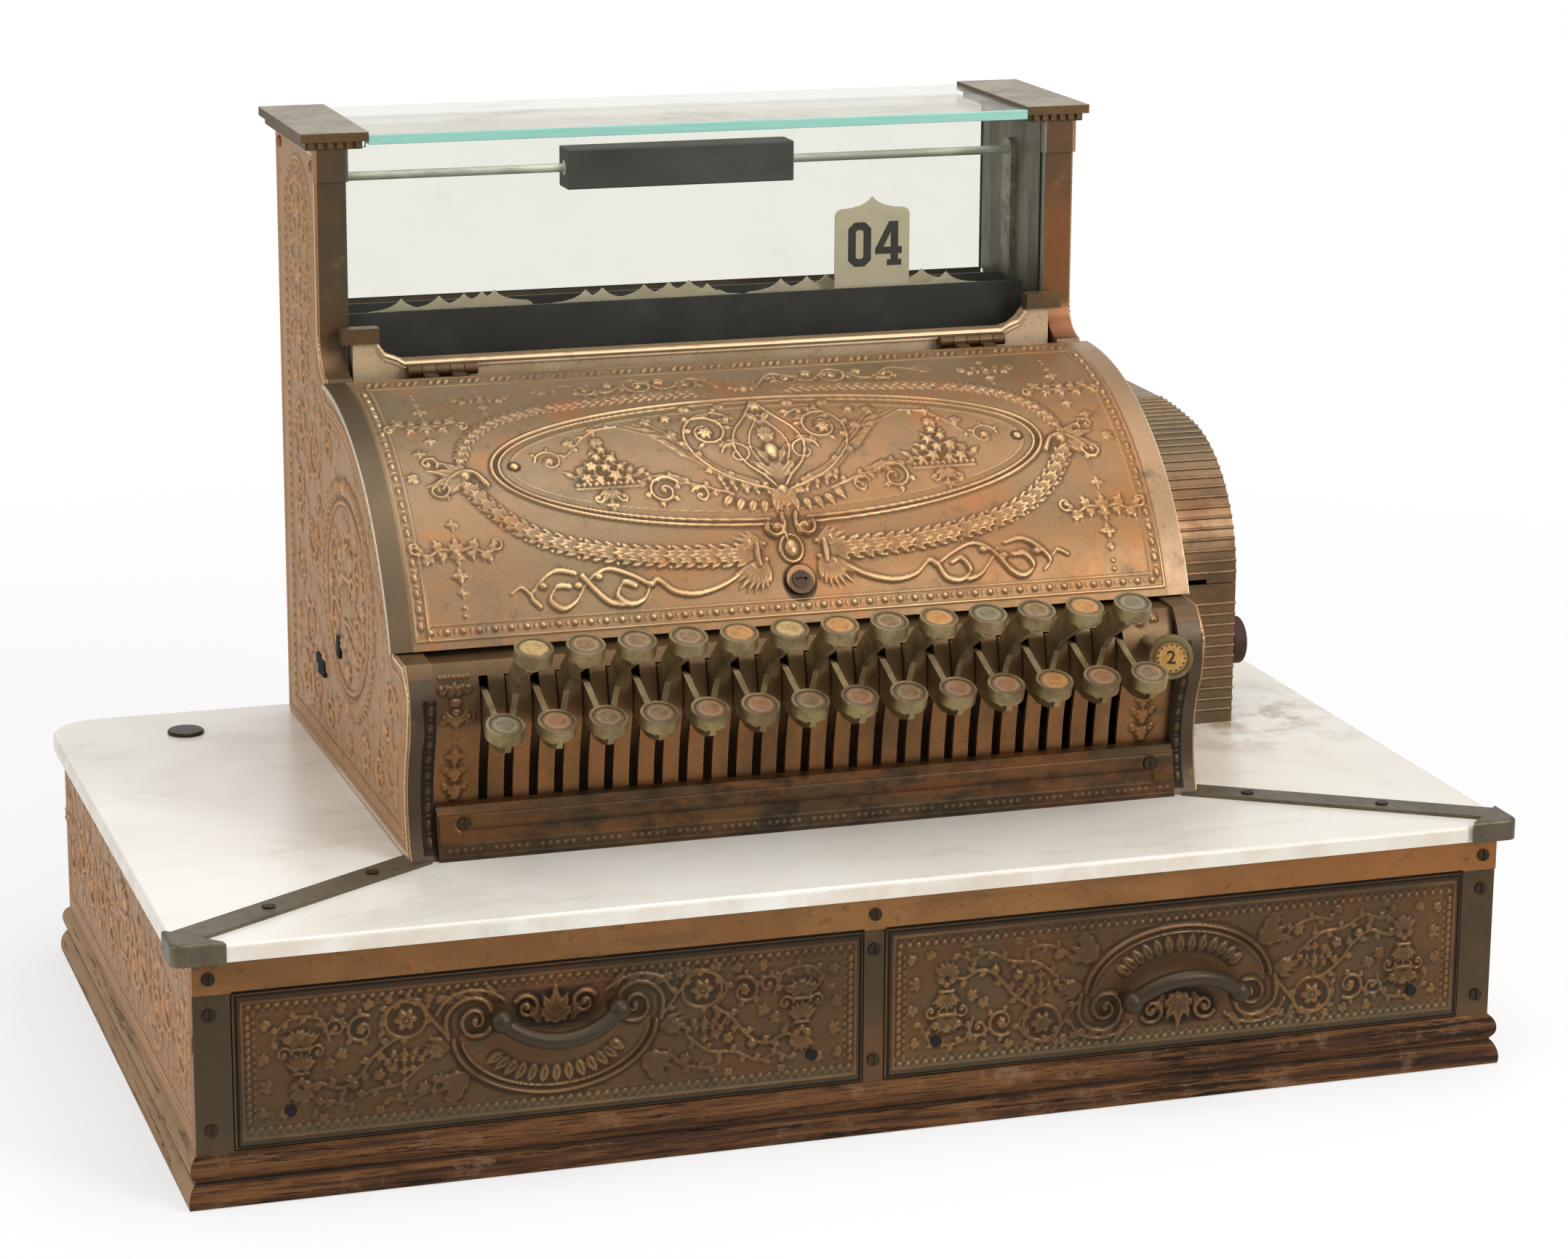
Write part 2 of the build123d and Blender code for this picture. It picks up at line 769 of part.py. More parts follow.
def case_back():
    """Back sheet between the side rims, up to the window."""
    low = block((-rim_x, rim_x), (back_y - case_rim_depth, back_y), (shelf_z, shelf_z + trough_low_rise))
    high = (shelf_z + trough_low_rise, shelf_z + column_flare_rise)
    return low + block((-column_x, column_x), (back_y - case_rim_depth, back_y), high)


def plate_curve():
    """Front line of the key plate, (y, z), from the sill up."""
    low = (front_y + plate_low_inset, shelf_z + plate_low_rise)
    middle = (front_y + plate_mid_inset, shelf_z + plate_mid_rise)
    bend = (front_y + plate_bend_inset, shelf_z + plate_bend_rise)
    top = (front_y + plate_top_inset, shelf_z + plate_top_rise)
    lower = ThreePointArc(low, middle, bend)
    upper = TangentArc(bend, top, tangent=lower % 1)
    return lower, upper


def slot_centres():
    """X of every key slot: one per half pitch."""
    count = upper_keys + lower_keys
    first = keyboard_centre_x - (count - 1) * key_pitch / 4
    return [first + i * key_pitch / 2 for i in range(count)]


def key_plate():
    """Curved plate with one slot for each key lever and a round hole for the side key."""
    lower, upper = plate_curve()
    back_lower = Pos(plate_thickness, 0) * lower
    back_upper = Pos(plate_thickness, 0) * upper
    ends = Line(upper @ 1, back_upper @ 1) + Line(back_lower @ 0, lower @ 0)
    wall_face = make_face(lower + upper + back_upper + back_lower + ends)
    top_y, top_z = (upper @ 1).X, (upper @ 1).Y
    ledge = block((-rim_x, rim_x), (top_y, top_y + plate_ledge), (top_z - plate_thickness, top_z))
    foot_y = (lower @ 0).X
    foot = block((-rim_x, rim_x), (foot_y, foot_y + plate_thickness), (shelf_z, (lower @ 0).Y))
    plate = across(wall_face, (-rim_x, rim_x)) + ledge + foot
    slot_z = (shelf_z + slot_low_rise, shelf_z + slot_high_rise)
    cut_y = (foot_y - plate_ledge, foot_y + plate_cut_depth)
    for x in slot_centres():
        plate -= block((x - slot_width / 2, x + slot_width / 2), cut_y, slot_z)
    hole_z = shelf_z + side_key_rise
    plate -= bar(side_key_hole_radius, (side_key_x, cut_y[0], hole_z), (side_key_x, cut_y[1], hole_z))
    guide_y = (top_y + side_key_guide_back, top_y + side_key_guide_back + side_key_guide_length)
    guide_x = (side_key_x - side_key_hole_radius, side_key_x + side_key_hole_radius)
    plate += block(guide_x, guide_y, (hole_z - side_key_hole_radius, top_z))
    bore_y = (guide_y[0] - 1, guide_y[1] + 1)
    bore_ends = [(side_key_x, y, hole_z) for y in bore_y]
    return plate - bar(side_key_stem_radius + shaft_fit, *bore_ends)


def sill_points():
    """Front outline of the sill below the key plate, (y, z)."""
    foot = front_y + sill_foot_inset
    return (
        (foot, shelf_z),
        (foot + sill_slope, shelf_z + sill_height - sill_slope),
        (foot + sill_nose, shelf_z + sill_height - sill_lip),
        (front_y + plate_mid_inset - sill_gap, shelf_z + sill_height),
    )


def key_sill():
    """Hollow cast sill along the foot of the key plate."""
    points = sill_points()
    face = polygon(*points, (points[-1][0], shelf_z))
    inner_back = points[-1][0]
    inner = polygon(
        (points[0][0] + sill_wall, shelf_z),
        (points[1][0] + sill_wall, points[1][1] - sill_wall),
        (inner_back, points[1][1] - sill_wall),
        (inner_back, shelf_z),
    )
    length = (-rim_x + sill_end_gap, rim_x - sill_end_gap)
    hollow = (length[0] + sill_wall, length[1] - sill_wall)
    sill = across(face, length) - across(inner, hollow)
    return drilled(sill, sill_screws())


def sill_screws():
    """Two screws square to the sloping face of the sill."""
    points = sill_points()
    slope = Vector(points[1][0] - points[0][0], points[1][1] - points[0][1]).normalized()
    y = points[0][0] + (points[1][0] - points[0][0]) * sill_screw_share
    z = points[0][1] + (points[1][1] - points[0][1]) * sill_screw_share
    reach = rim_x - sill_screw_inset
    return [((x, y, z), (0, -slope.Y, slope.X)) for x in (-reach, reach)]


def column_caps():
    """Capitals: a slab over a band of dentils on each column."""
    column = front_y + column_front_inset
    slab_x = (-half_case - cap_side_overhang, -column_x + cap_inner_overhang)
    slab_y = (column - cap_front_overhang, back_y + cap_back_overhang)
    top = window_z + cap_band + cap_slab
    slab = block(slab_x, slab_y, (window_z + cap_band, top))
    band_x = (slab_x[0] + cap_band_inset, slab_x[1] - cap_band_inset)
    band_y = (slab_y[0] + cap_band_inset, slab_y[1] - cap_band_inset)
    band = block(band_x, band_y, (window_z, window_z + cap_band))
    pitch = (band_x[1] - band_x[0]) / dentil_count
    for i in range(dentil_count):
        x = band_x[0] + (i + 0.5) * pitch
        dentil_y = (slab_y[0] + cap_band_inset / 3, band_y[0] + 1)
        dentil_z = (window_z + 1, window_z + cap_band)
        band += block((x - dentil_width / 2, x + dentil_width / 2), dentil_y, dentil_z)
    left = slab + band
    return left, mirrored(left)


# ---- lid ---------------------------------------------------------------------

def knuckle_ranges(centre_x):
    """X range of each knuckle of one hinge, from the left."""
    pitch = hinge_length / hinge_knuckles
    start = centre_x - hinge_length / 2
    lows = [start + i * pitch for i in range(hinge_knuckles)]
    return [(low + knuckle_gap / 2, low + pitch - knuckle_gap / 2) for low in lows]


def lid_hinges():
    """Fixed knuckles with their leaves and the pin, one hinge at each end."""
    hinges = []
    for centre_x in (-hinge_centre_x, hinge_centre_x):
        pin = (centre_x - hinge_length / 2, centre_x + hinge_length / 2)
        hinge = bar_x(hinge_pin_radius, pin, hinge_y, hinge_z)
        for x_range in knuckle_ranges(centre_x)[0::2]:
            hinge += bar_x(hinge_radius, x_range, hinge_y, hinge_z)
            hinge += block(x_range, (hinge_y, front_y + window_sill_front), (hinge_z - 1, hinge_z + 1))
        hinges.append(hinge)
    return hinges


def lid_sheet():
    """Curved sheet of the lid."""
    outer = lid_arc(lid_radius, lid_front_angle, lid_back_angle)
    inner = lid_arc(lid_radius - lid_thickness, lid_front_angle, lid_back_angle)
    face = make_face(outer + Line(outer @ 1, inner @ 1) + inner + Line(inner @ 0, outer @ 0))
    return across(face, (-half_case - lid_overhang, half_case + lid_overhang))


def lock_plane(radius):
    """Plane square to the lid at the lock, at a radius from the lid's centre."""
    y, z = lid_point(radius, lock_angle)
    turn = math.radians(lock_angle)
    return Plane(origin=(lock_x, y, z), x_dir=(1, 0, 0), z_dir=(0, -math.cos(turn), math.sin(turn)))


def front_lid():
    """Curved lid with its lock boss and the moving hinge knuckles."""
    lid = lid_sheet()
    boss_low = lock_plane(lid_radius - lid_thickness)
    boss_height = lid_thickness + lock_boss_height
    lid += extrude(boss_low * Circle(lock_boss_radius), amount=boss_height)
    lid -= extrude(boss_low.offset(-lock_length) * Circle(lock_radius + shaft_fit), amount=3 * lock_length)
    leaf_y, leaf_z = lid_point(lid_radius - lid_thickness, lid_back_angle)
    for centre_x in (-hinge_centre_x, hinge_centre_x):
        for x_range in knuckle_ranges(centre_x)[1::2]:
            knuckle = bar_x(hinge_radius, x_range, hinge_y, hinge_z)
            knuckle += block(x_range, (leaf_y - 4, hinge_y), (leaf_z + 0.5, hinge_z - 1))
            lid += knuckle
        pin = (centre_x - hinge_length, centre_x + hinge_length)
        lid -= bar_x(hinge_pin_radius + shaft_fit, pin, hinge_y, hinge_z)
    return lid


def lid_lock():
    """Slotted lock cylinder with a flat bolt behind the lid."""
    face = lock_plane(lid_radius + lock_boss_height)
    cylinder = extrude(face.offset(-lock_length) * Circle(lock_radius), amount=lock_length + 0.6)
    slot = face * Pos(0, 0, 0.6) * Box(lock_radius * 1.3, lock_slot, 3)
    bolt_place = face.offset(-lock_length) * Pos(0, 3 - lock_bolt_reach / 2, 1)
    bolt = bolt_place * Box(lock_bolt_width, lock_bolt_reach, 2)
    return cylinder - slot + bolt


# ---- window ------------------------------------------------------------------

def window_sill():
    """Top rail of the front, with a raised bracket at each end."""
    low, rise = shelf_z + window_sill_low_rise, shelf_z + window_sill_rise
    high = shelf_z + bracket_rise
    outer = column_x
    shelf_end = outer - bracket_run
    ogee_end = shelf_end - bracket_step
    middle_z = (rise + high) / 2
    middle_x = (shelf_end + ogee_end) / 2
    profile = [(-outer, low), (outer, low), (outer, high), (shelf_end, high)]
    bow, curl = bracket_step / 6, bracket_step / 4
    profile += [(middle_x + bow, middle_z), (middle_x - curl, rise + curl / 2), (ogee_end - curl, rise)]
    mirror_side = [(-x, z) for x, z in reversed(profile[2:])]
    rail = outward(polygon(*profile, *mirror_side), front_y + window_sill_front, window_sill_thickness)
    cap_low = high
    cap_end = shelf_end - moving_gap
    cap_y = (front_y + bracket_cap_front, front_y + bracket_cap_front + bracket_cap_depth)
    for side in (-1, 1):
        ends = sorted((side * cap_end, side * (cap_end + bracket_cap_width)))
        rail += block(ends, cap_y, (cap_low, cap_low + bracket_cap_height))
    return rail


def glass_panes():
    """Front, back and top panes of the window."""
    front = front_y + glass_front_inset
    low_front = shelf_z + window_sill_low_rise
    top_z = window_z + cap_band / 2
    pane_x = (-column_x, column_x)
    front_pane = block(pane_x, (front, front + glass_thickness), (low_front, top_z))
    back = back_y - case_rim_depth
    back_low = shelf_z + column_flare_rise
    back_pane = block(pane_x, (back, back + glass_thickness), (back_low, top_z))
    cap_x = column_x - cap_inner_overhang
    cap_y = (front_y + column_front_inset - cap_front_overhang, back_y + cap_back_overhang)
    top_pane = block((-cap_x, cap_x), cap_y, (top_z, top_z + glass_top_thickness))
    corners = block((-half_case, -cap_x), (front_y, back_y + 1), (window_z, top_z + 1))
    clear = corners + mirrored(corners)
    return front_pane - clear, back_pane - clear, top_pane


def indicator_trough():
    """Black open-bottomed trough that hides the lowered flags, with a guide for the raised one."""
    front, back = front_y + trough_front_inset, front_y + trough_back_inset
    height = (shelf_z + trough_low_rise, shelf_z + trough_rise)
    walls = [block((-column_x, column_x), (y, y + trough_wall), height) for y in (front, back)]
    end = block((-column_x, -column_x + trough_wall), (front + trough_wall, back), height)
    guide_x = (raised_flag_x - flag_guide_width / 2, raised_flag_x + flag_guide_width / 2)
    guide_y = (front + trough_wall, flag_plane_y(0) - shaft_fit)
    walls[0] += block(guide_x, guide_y, (height[0] + trough_wall, height[1] - trough_wall))
    return [*walls, end, mirrored(end)]


def flag_face(centre_x, low, tip):
    """Indicator flag outline, (x, z): rounded shoulders and a pointed ogee top."""
    half = flag_width / 2
    shoulder = tip - flag_shoulder
    radius = flag_shoulder / 2
    left = [(-half, low), (-half, shoulder - radius), (-half + radius / 3, shoulder - radius / 3)]
    left += [(-half + radius, shoulder), (-half * 0.55, shoulder + 0.6), (-half * 0.3, shoulder + 2.0)]
    left += [(-half * 0.12, shoulder + 4.2)]
    right = [(-x, z) for x, z in reversed(left)]
    points = [(centre_x + x, z) for x, z in (*left, (0, tip), *right)]
    return polygon(*points)


def flag_plane_y(index):
    return front_y + trough_front_inset + trough_wall + flag_plane_gap * (index + 0.6)


def flags_lowered():
    """Flags at rest in the trough, in staggered planes so that they overlap."""
    low = shelf_z + flag_low_rise
    tip = shelf_z + trough_rise + flag_tip_above_trough
    flags = []
    for i, share in enumerate(flag_shares):
        plane = 1 + i % (flag_planes - 1)
        flags.append(outward(flag_face(share * column_x, low, tip), flag_plane_y(plane), flag_thickness))
    span = (-column_x + trough_wall, column_x - trough_wall)
    thick = (flag_plane_y(1), flag_plane_y(flag_planes - 1) + flag_thickness)
    carrier = block(span, thick, (low - flag_carrier_height, low))
    return [*flags, carrier]


def flag_raised():
    """The one flag that stands up in the window."""
    tip = shelf_z + trough_rise + flag_tip_above_trough + raised_flag_lift
    low = shelf_z + trough_rise - raised_flag_overlap
    return outward(flag_face(raised_flag_x, low, tip), flag_plane_y(0), flag_thickness)


def sign_bar():
    """Black sign block on a round rod that turns across the window."""
    reach = column_x - moving_gap
    rod = bar_x(sign_rod_radius, (-reach, reach), sign_y, sign_z)
    half = sign_width / 2
    body = block(
        (-half, half),
        (sign_y - sign_depth / 2, sign_y + sign_depth / 2),
        (sign_z - sign_height / 2, sign_z + sign_height / 2),
    )
    body = chamfer(body.edges().filter_by(Axis.X), 0.8)
    stubs = rod - body
    return body, stubs


# ---- printer -----------------------------------------------------------------

def hood_curves():
    """Front curve of the hood from the seam and its flatter top curve, (y, z)."""
    front = front_y + printer_front_inset
    foot = (front, printer_seam_z + moving_gap)
    bend = (front + printer_bend_inset, printer_seam_z + printer_bend_rise)
    crown = (front + printer_crown_inset, shelf_z + printer_height)
    lower = TangentArc(foot, bend, tangent=(0, 1))
    return lower, TangentArc(bend, crown, tangent=lower % 1)


def hood_face():
    """Side outline of the hood, (y, z)."""
    lower, upper = hood_curves()
    back = front_y + printer_back_inset
    low, high = (lower @ 0).Y, (upper @ 1).Y
    return make_face(
        lower
        + upper
        + Line(upper @ 1, (back, high))
        + Line((back, high), (back, low))
        + Line((back, low), lower @ 0)
    )


def printer_case():
    """Lower housing beside the case, with the fixed hinge knuckle and the roll's spindle."""
    x_range = (printer_x, printer_right)
    y_range = (front_y + printer_front_inset, front_y + printer_back_inset)
    shell = block(x_range, y_range, (shelf_z, printer_seam_z))
    inner_x = (x_range[0] + printer_wall, x_range[1] - printer_wall)
    inner_y = (y_range[0] + printer_wall, y_range[1] - printer_wall)
    shell -= block(inner_x, inner_y, (shelf_z + printer_wall, printer_seam_z))
    shell -= bar_x(knob_shaft_radius + shaft_fit, (inner_x[1] - 1, x_range[1] + 1), knob_y, knob_z)
    shell += bar_x(spindle_radius, (inner_x[0] - 1, inner_x[1] + 1), roll_y, roll_z)
    low = shelf_z + printer_rib_start
    ribs = int((printer_seam_z - low) / printer_rib_pitch)
    for i in range(ribs):
        shell += bar_x(printer_rib_radius, x_range, y_range[0], low + i * printer_rib_pitch)
    middle = (x_range[0] + x_range[1]) / 2
    knuckle = (middle - printer_knuckle / 2, middle + printer_knuckle / 2)
    shell += bar_x(printer_hinge_radius, knuckle, printer_hinge_y, printer_hinge_z)
    ear_z = (printer_hinge_z - printer_ear, printer_hinge_z - 1)
    shell += block(knuckle, (y_range[1] - 1, printer_hinge_y), ear_z)
    pin = (middle - printer_hinge_reach, middle + printer_hinge_reach)
    return shell + bar_x(printer_pin_radius, pin, printer_hinge_y, printer_hinge_z)


def printer_cover():
    """Ribbed hood over the printer, hinged at the back."""
    x_range = (printer_x + moving_gap, printer_right)
    seam = printer_seam_z + moving_gap
    shell = across(hood_face(), x_range)
    well_x = (x_range[0] + printer_wall, x_range[1] - printer_wall)
    hollow = across(offset(hood_face(), amount=-printer_wall), well_x)
    well_y = (front_y + printer_front_inset + printer_wall, front_y + printer_back_inset - printer_wall)
    shell -= hollow + block(well_x, well_y, (seam - 1, seam + 2 * printer_wall))
    for curve in hood_curves():
        steps = int(curve.length / printer_rib_pitch)
        for i in range(1, steps + 1):
            spot = curve @ (i / steps)
            shell += bar_x(printer_rib_radius, x_range, spot.X, spot.Y)
    front = front_y + printer_front_inset
    slot_x = (x_range[0] + printer_slot_start, x_range[0] + printer_slot_start + printer_slot_width)
    shell -= block(slot_x, (front - 3, front + 2 * printer_wall), (seam - 1, seam + printer_slot_height))
    middle = (printer_x + printer_right) / 2
    back = front_y + printer_back_inset
    for side in (-1, 1):
        inner = middle + side * (printer_knuckle / 2 + knuckle_gap)
        ends = sorted((inner, middle + side * printer_hinge_reach))
        shell += bar_x(printer_hinge_radius, ends, printer_hinge_y, printer_hinge_z)
        shell += block(ends, (back - 1, printer_hinge_y), (seam + 1, seam + printer_ear))
        shell += block(ends, (back + moving_gap, printer_hinge_y), (printer_hinge_z, seam + printer_ear))
    pin_hole = (middle - printer_hinge_reach - 1, middle + printer_hinge_reach + 1)
    return shell - bar_x(printer_pin_radius + shaft_fit, pin_hole, printer_hinge_y, printer_hinge_z)


def printer_knob():
    """Feed knob with its shaft and rubber roller."""
    inner_wall = printer_right - printer_wall
    start = printer_right + knob_gap
    knob = bar_x(knob_radius, (start, start + knob_thickness), knob_y, knob_z)
    knob = fillet(knob.edges().filter_by(GeomType.CIRCLE), 1.5)
    roller_x = (inner_wall - knob_roller_end - knob_roller_length, inner_wall - knob_roller_end)
    shaft = bar_x(knob_shaft_radius, (roller_x[0] - knob_gap, start + knob_gap / 2), knob_y, knob_z)
    roller = bar_x(knob_roller_radius, roller_x, knob_y, knob_z)
    return knob + shaft + roller


def ticket_roll():
    """Roll of ticket paper on the spindle."""
    ends = (printer_x + printer_wall + roll_side_room, printer_right - printer_wall - roll_side_room)
    return bar_x(roll_radius, ends, roll_y, roll_z) - bar_x(spindle_radius + shaft_fit, ends, roll_y, roll_z)


# ---- works -------------------------------------------------------------------

def works_frame():
    """Two iron plates with the key shaft, key stop, tie bars and the posts of the sign."""
    front, back = front_y + works_front_inset, front_y + works_back_inset
    outline = polygon(
        (front, works_floor),
        (back, works_floor),
        (back, works_floor + works_height),
        (pivot_y - works_shoulder, works_floor + works_height),
        (front, works_floor + works_height * works_crown_share),
    )
    wheels_y, wheels_z = front_y + wheels_inset, shelf_z + wheels_rise
    outline -= Pos(wheels_y, wheels_z) * Circle(wheel_shaft_radius + shaft_fit)
    left = across(outline, (-works_plate_x - works_plate_thickness, -works_plate_x))
    span = (-works_plate_x, works_plate_x)
    shaft = bar_x(pivot_radius, span, pivot_y, pivot_z)
    stop_y = front_y + stop_bar_inset
    stop_low = lever_top(stop_y - stop_bar_size / 2) + moving_gap
    stop_ends = (stop_y - stop_bar_size / 2, stop_y + stop_bar_size / 2)
    stop = block(span, stop_ends, (stop_low, stop_low + stop_bar_size))
    tie_low = works_floor + works_tie_rise
    tie = block(span, (back - works_tie_inset, back), (tie_low, tie_low + works_tie_size))
    return left, mirrored(left), shaft, stop, tie, sign_post(), mirrored(sign_post())


def sign_post():
    """Left bearing arm of the sign rod, standing in the window beside the column."""
    x_range = (-column_x, -column_x + post_thickness)
    low = shelf_z + trough_rise
    post = block(x_range, (sign_y - post_width / 2, sign_y + post_width / 2), (low, sign_z))
    post += bar_x(post_width / 2, x_range, sign_y, sign_z)
    return post - bar_x(sign_rod_radius + shaft_fit, x_range, sign_y, sign_z)


def adding_wheels():
    """Counter wheels on their shaft under the lid."""
    wheels_y, wheels_z = front_y + wheels_inset, shelf_z + wheels_rise
    reach = works_plate_x + works_plate_thickness + works_shaft_end
    shaft = bar_x(wheel_shaft_radius, (-reach, reach), wheels_y, wheels_z)
    for i in range(wheel_count):
        x = (i - (wheel_count - 1) / 2) * wheel_pitch
        shaft += bar_x(wheel_radius, (x - wheel_thickness / 2, x + wheel_thickness / 2), wheels_y, wheels_z)
    return shaft


def lever_top(y):
    """Height of the top edge of every lever's inner bar at y."""
    plate_y = front_y + plate_low_inset
    share = (y - plate_y) / (pivot_y - plate_y)
    front_z = shelf_z + slot_high_rise - lever_drop
    return front_z + share * (pivot_z + lever_depth / 2 - front_z)


def lever_bar():
    """Inner part of a lever, (y, z): from behind the key plate to its tail."""
    near_y = front_y + plate_low_inset + lever_setback
    tail_y = pivot_y + lever_tail
    return polygon(
        (near_y, lever_top(near_y)),
        (pivot_y, pivot_z + lever_depth / 2),
        (tail_y, pivot_z + lever_depth / 3),
        (tail_y, pivot_z - lever_depth / 3),
        (pivot_y, pivot_z - lever_depth / 2),
        (near_y, lever_top(near_y) - lever_depth),
    )


def inset_points(*pairs):
    """(y, z) points from pairs of inset behind the cabinet's front and rise above the shelf."""
    return [(front_y + inset, shelf_z + rise) for inset, rise in pairs]


def upper_blade():
    """Outer part of an upper key's lever, which climbs to its cap."""
    return polygon(*inset_points(*upper_blade_outline))


def lower_blade():
    """Outer part of a lower key's lever, which drops to its cap."""
    return polygon(*inset_points(*lower_blade_outline))


def key_cap(x, inset, rise, tilt):
    """Round cup that holds the paper disc, tilted towards the front."""
    turn = math.radians(tilt)
    top = Plane(
        origin=(x, front_y + inset, shelf_z + rise),
        x_dir=(1, 0, 0),
        z_dir=(0, -math.sin(turn), math.cos(turn)),
    )
    cap = extrude(top.offset(-key_cap_height) * Circle(key_cap_radius), amount=key_cap_height)
    recess = Circle(key_cap_radius - key_cap_rim)
    cap -= extrude(top.offset(-key_cap_recess) * recess, amount=2 * key_cap_recess)
    neck_foot = top.offset(-key_cap_height - key_neck_length)
    neck = extrude(neck_foot * Circle(key_neck_radius), amount=key_neck_length + 1)
    return cap + neck


def lever_key(x, blade, inset, rise, tilt):
    """One key: blade, cap and inner bar with its pivot hub."""
    sides = (x - blade_thickness / 2, x + blade_thickness / 2)
    key = across(blade, sides) + across(lever_bar(), sides)
    key += bar_x(lever_hub_radius, sides, pivot_y, pivot_z)
    key -= bar_x(pivot_radius + shaft_fit, sides, pivot_y, pivot_z)
    return key + key_cap(x, inset, rise, tilt)


def upper_key(index):
    x = keyboard_centre_x + (index - (upper_keys - 1) / 2) * key_pitch
    return lever_key(x, upper_blade(), upper_cap_inset, upper_cap_rise, upper_cap_tilt)


def lower_key(index):
    x = keyboard_centre_x + (index - (lower_keys - 1) / 2) * key_pitch
    return lever_key(x, lower_blade(), lower_cap_inset, lower_cap_rise, lower_cap_tilt)


def key_side():
    """Push key at the right end, with a forward-facing cap on a stem through the plate."""
    z = shelf_z + side_key_rise
    cap_y = front_y + side_key_cap_inset
    behind = front_y + plate_bend_inset + side_key_tail
    stem_y = cap_y + side_key_stem_setback
    stem = bar(side_key_stem_radius, (side_key_x, stem_y, z), (side_key_x, behind, z))
    stem += Pos(side_key_x, stem_y, z) * Sphere(side_key_stem_radius)
    turn = math.radians(side_key_turn)
    face = Plane(
        origin=(side_key_x + side_key_cap_offset, cap_y, z - side_key_cap_drop),
        x_dir=(math.cos(turn), -math.sin(turn), 0),
        z_dir=(-math.sin(turn), -math.cos(turn), 0),
    )
    cap = extrude(face.offset(-key_cap_height / 2) * Circle(side_key_cap_radius), amount=key_cap_height * 0.8)
    recess = Circle(side_key_cap_radius - side_key_cap_rim)
    cap -= extrude(face.offset(side_key_cap_floor) * recess, amount=key_cap_height)
    return stem + cap


# ---- drawers -----------------------------------------------------------------

def pull_pieces(side):
    """Ball ends, bar and posts of a cast bail, which sags on the left drawer and arches on the right."""
    rise = pull_left_rise if side < 0 else pull_right_rise
    ball_z = plinth_height + rise
    face_y = front_y - drawer_face_proud
    ball_y = face_y - pull_ball_radius - pull_bar_radius
    centre = side * drawer_x
    ends = (centre - pull_spacing / 2, centre + pull_spacing / 2)
    middle = (centre, face_y - pull_reach + pull_bar_radius, ball_z + side * pull_sag)
    path = ThreePointArc((ends[0], ball_y, ball_z), middle, (ends[1], ball_y, ball_z))
    balls = [Pos(x, ball_y, ball_z) * Rot(90, 0, 0) * Sphere(pull_ball_radius) for x in ends]
    bail = sweep(Plane(origin=path @ 0, z_dir=path % 0) * Circle(pull_bar_radius), path=path)
    posts = [bar(pull_post_radius, (x, face_y + 2, ball_z), (x, ball_y, ball_z)) for x in ends]
    return [*balls, bail, *posts]


def drawer_front(side):
    """Drawer front with its pull; side is -1 for the left drawer and 1 for the right."""
    centre = side * drawer_x
    half = front_width / 2
    y_range = (front_y - drawer_face_proud, front_y + drawer_front_thickness - drawer_face_proud)
    board_front = block((centre - half, centre + half), y_range, (front_bottom, front_bottom + front_height))
    board_front = chamfer(board_front.faces().sort_by(Axis.Y)[0].edges(), 0.8)
    hole_z = front_bottom + drawer_hole_height
    for x in (centre - drawer_hole_spacing / 2, centre + drawer_hole_spacing / 2):
        board_front -= bar(drawer_hole_radius, (x, y_range[0] - 1, hole_z), (x, y_range[0] + 4, hole_z))
    for piece in pull_pieces(side):
        board_front += piece
    return board_front


def drawer_box(side):
    """Wooden drawer with its till dividers, as separate boards."""
    centre = side * drawer_x
    half = bay_width / 2 - drawer_side_room
    front = front_y + drawer_front_thickness - drawer_face_proud
    back = front + drawer_depth
    floor_top = box_bottom + drawer_floor
    pieces = [block((centre - half, centre + half), (front, back), (box_bottom, floor_top))]
    for end in (-1, 1):
        ends = sorted((centre + end * half, centre + end * (half - drawer_board)))
        pieces.append(block(ends, (front, back), (floor_top, box_top)))
    inner = half - drawer_board
    inside = (centre - inner, centre + inner)
    pieces.append(block(inside, (front, front + drawer_board), (floor_top, box_top)))
    pieces.append(block(inside, (back - drawer_board, back), (floor_top, box_top)))
    till_top = floor_top + till_height
    cross_y = back - drawer_board - till_note_length
    pieces.append(block(inside, (cross_y - till_wall, cross_y), (floor_top, till_top)))
    cell = 2 * inner / till_cells
    for i in range(1, till_cells):
        x = centre - inner + i * cell
        ends = (x - till_wall / 2, x + till_wall / 2)
        pieces.append(block(ends, (front + drawer_board, cross_y - till_wall), (floor_top, till_top)))
        pieces.append(block(ends, (cross_y, back - drawer_board), (floor_top, till_top)))
    return pieces


# ---- nodes -------------------------------------------------------------------

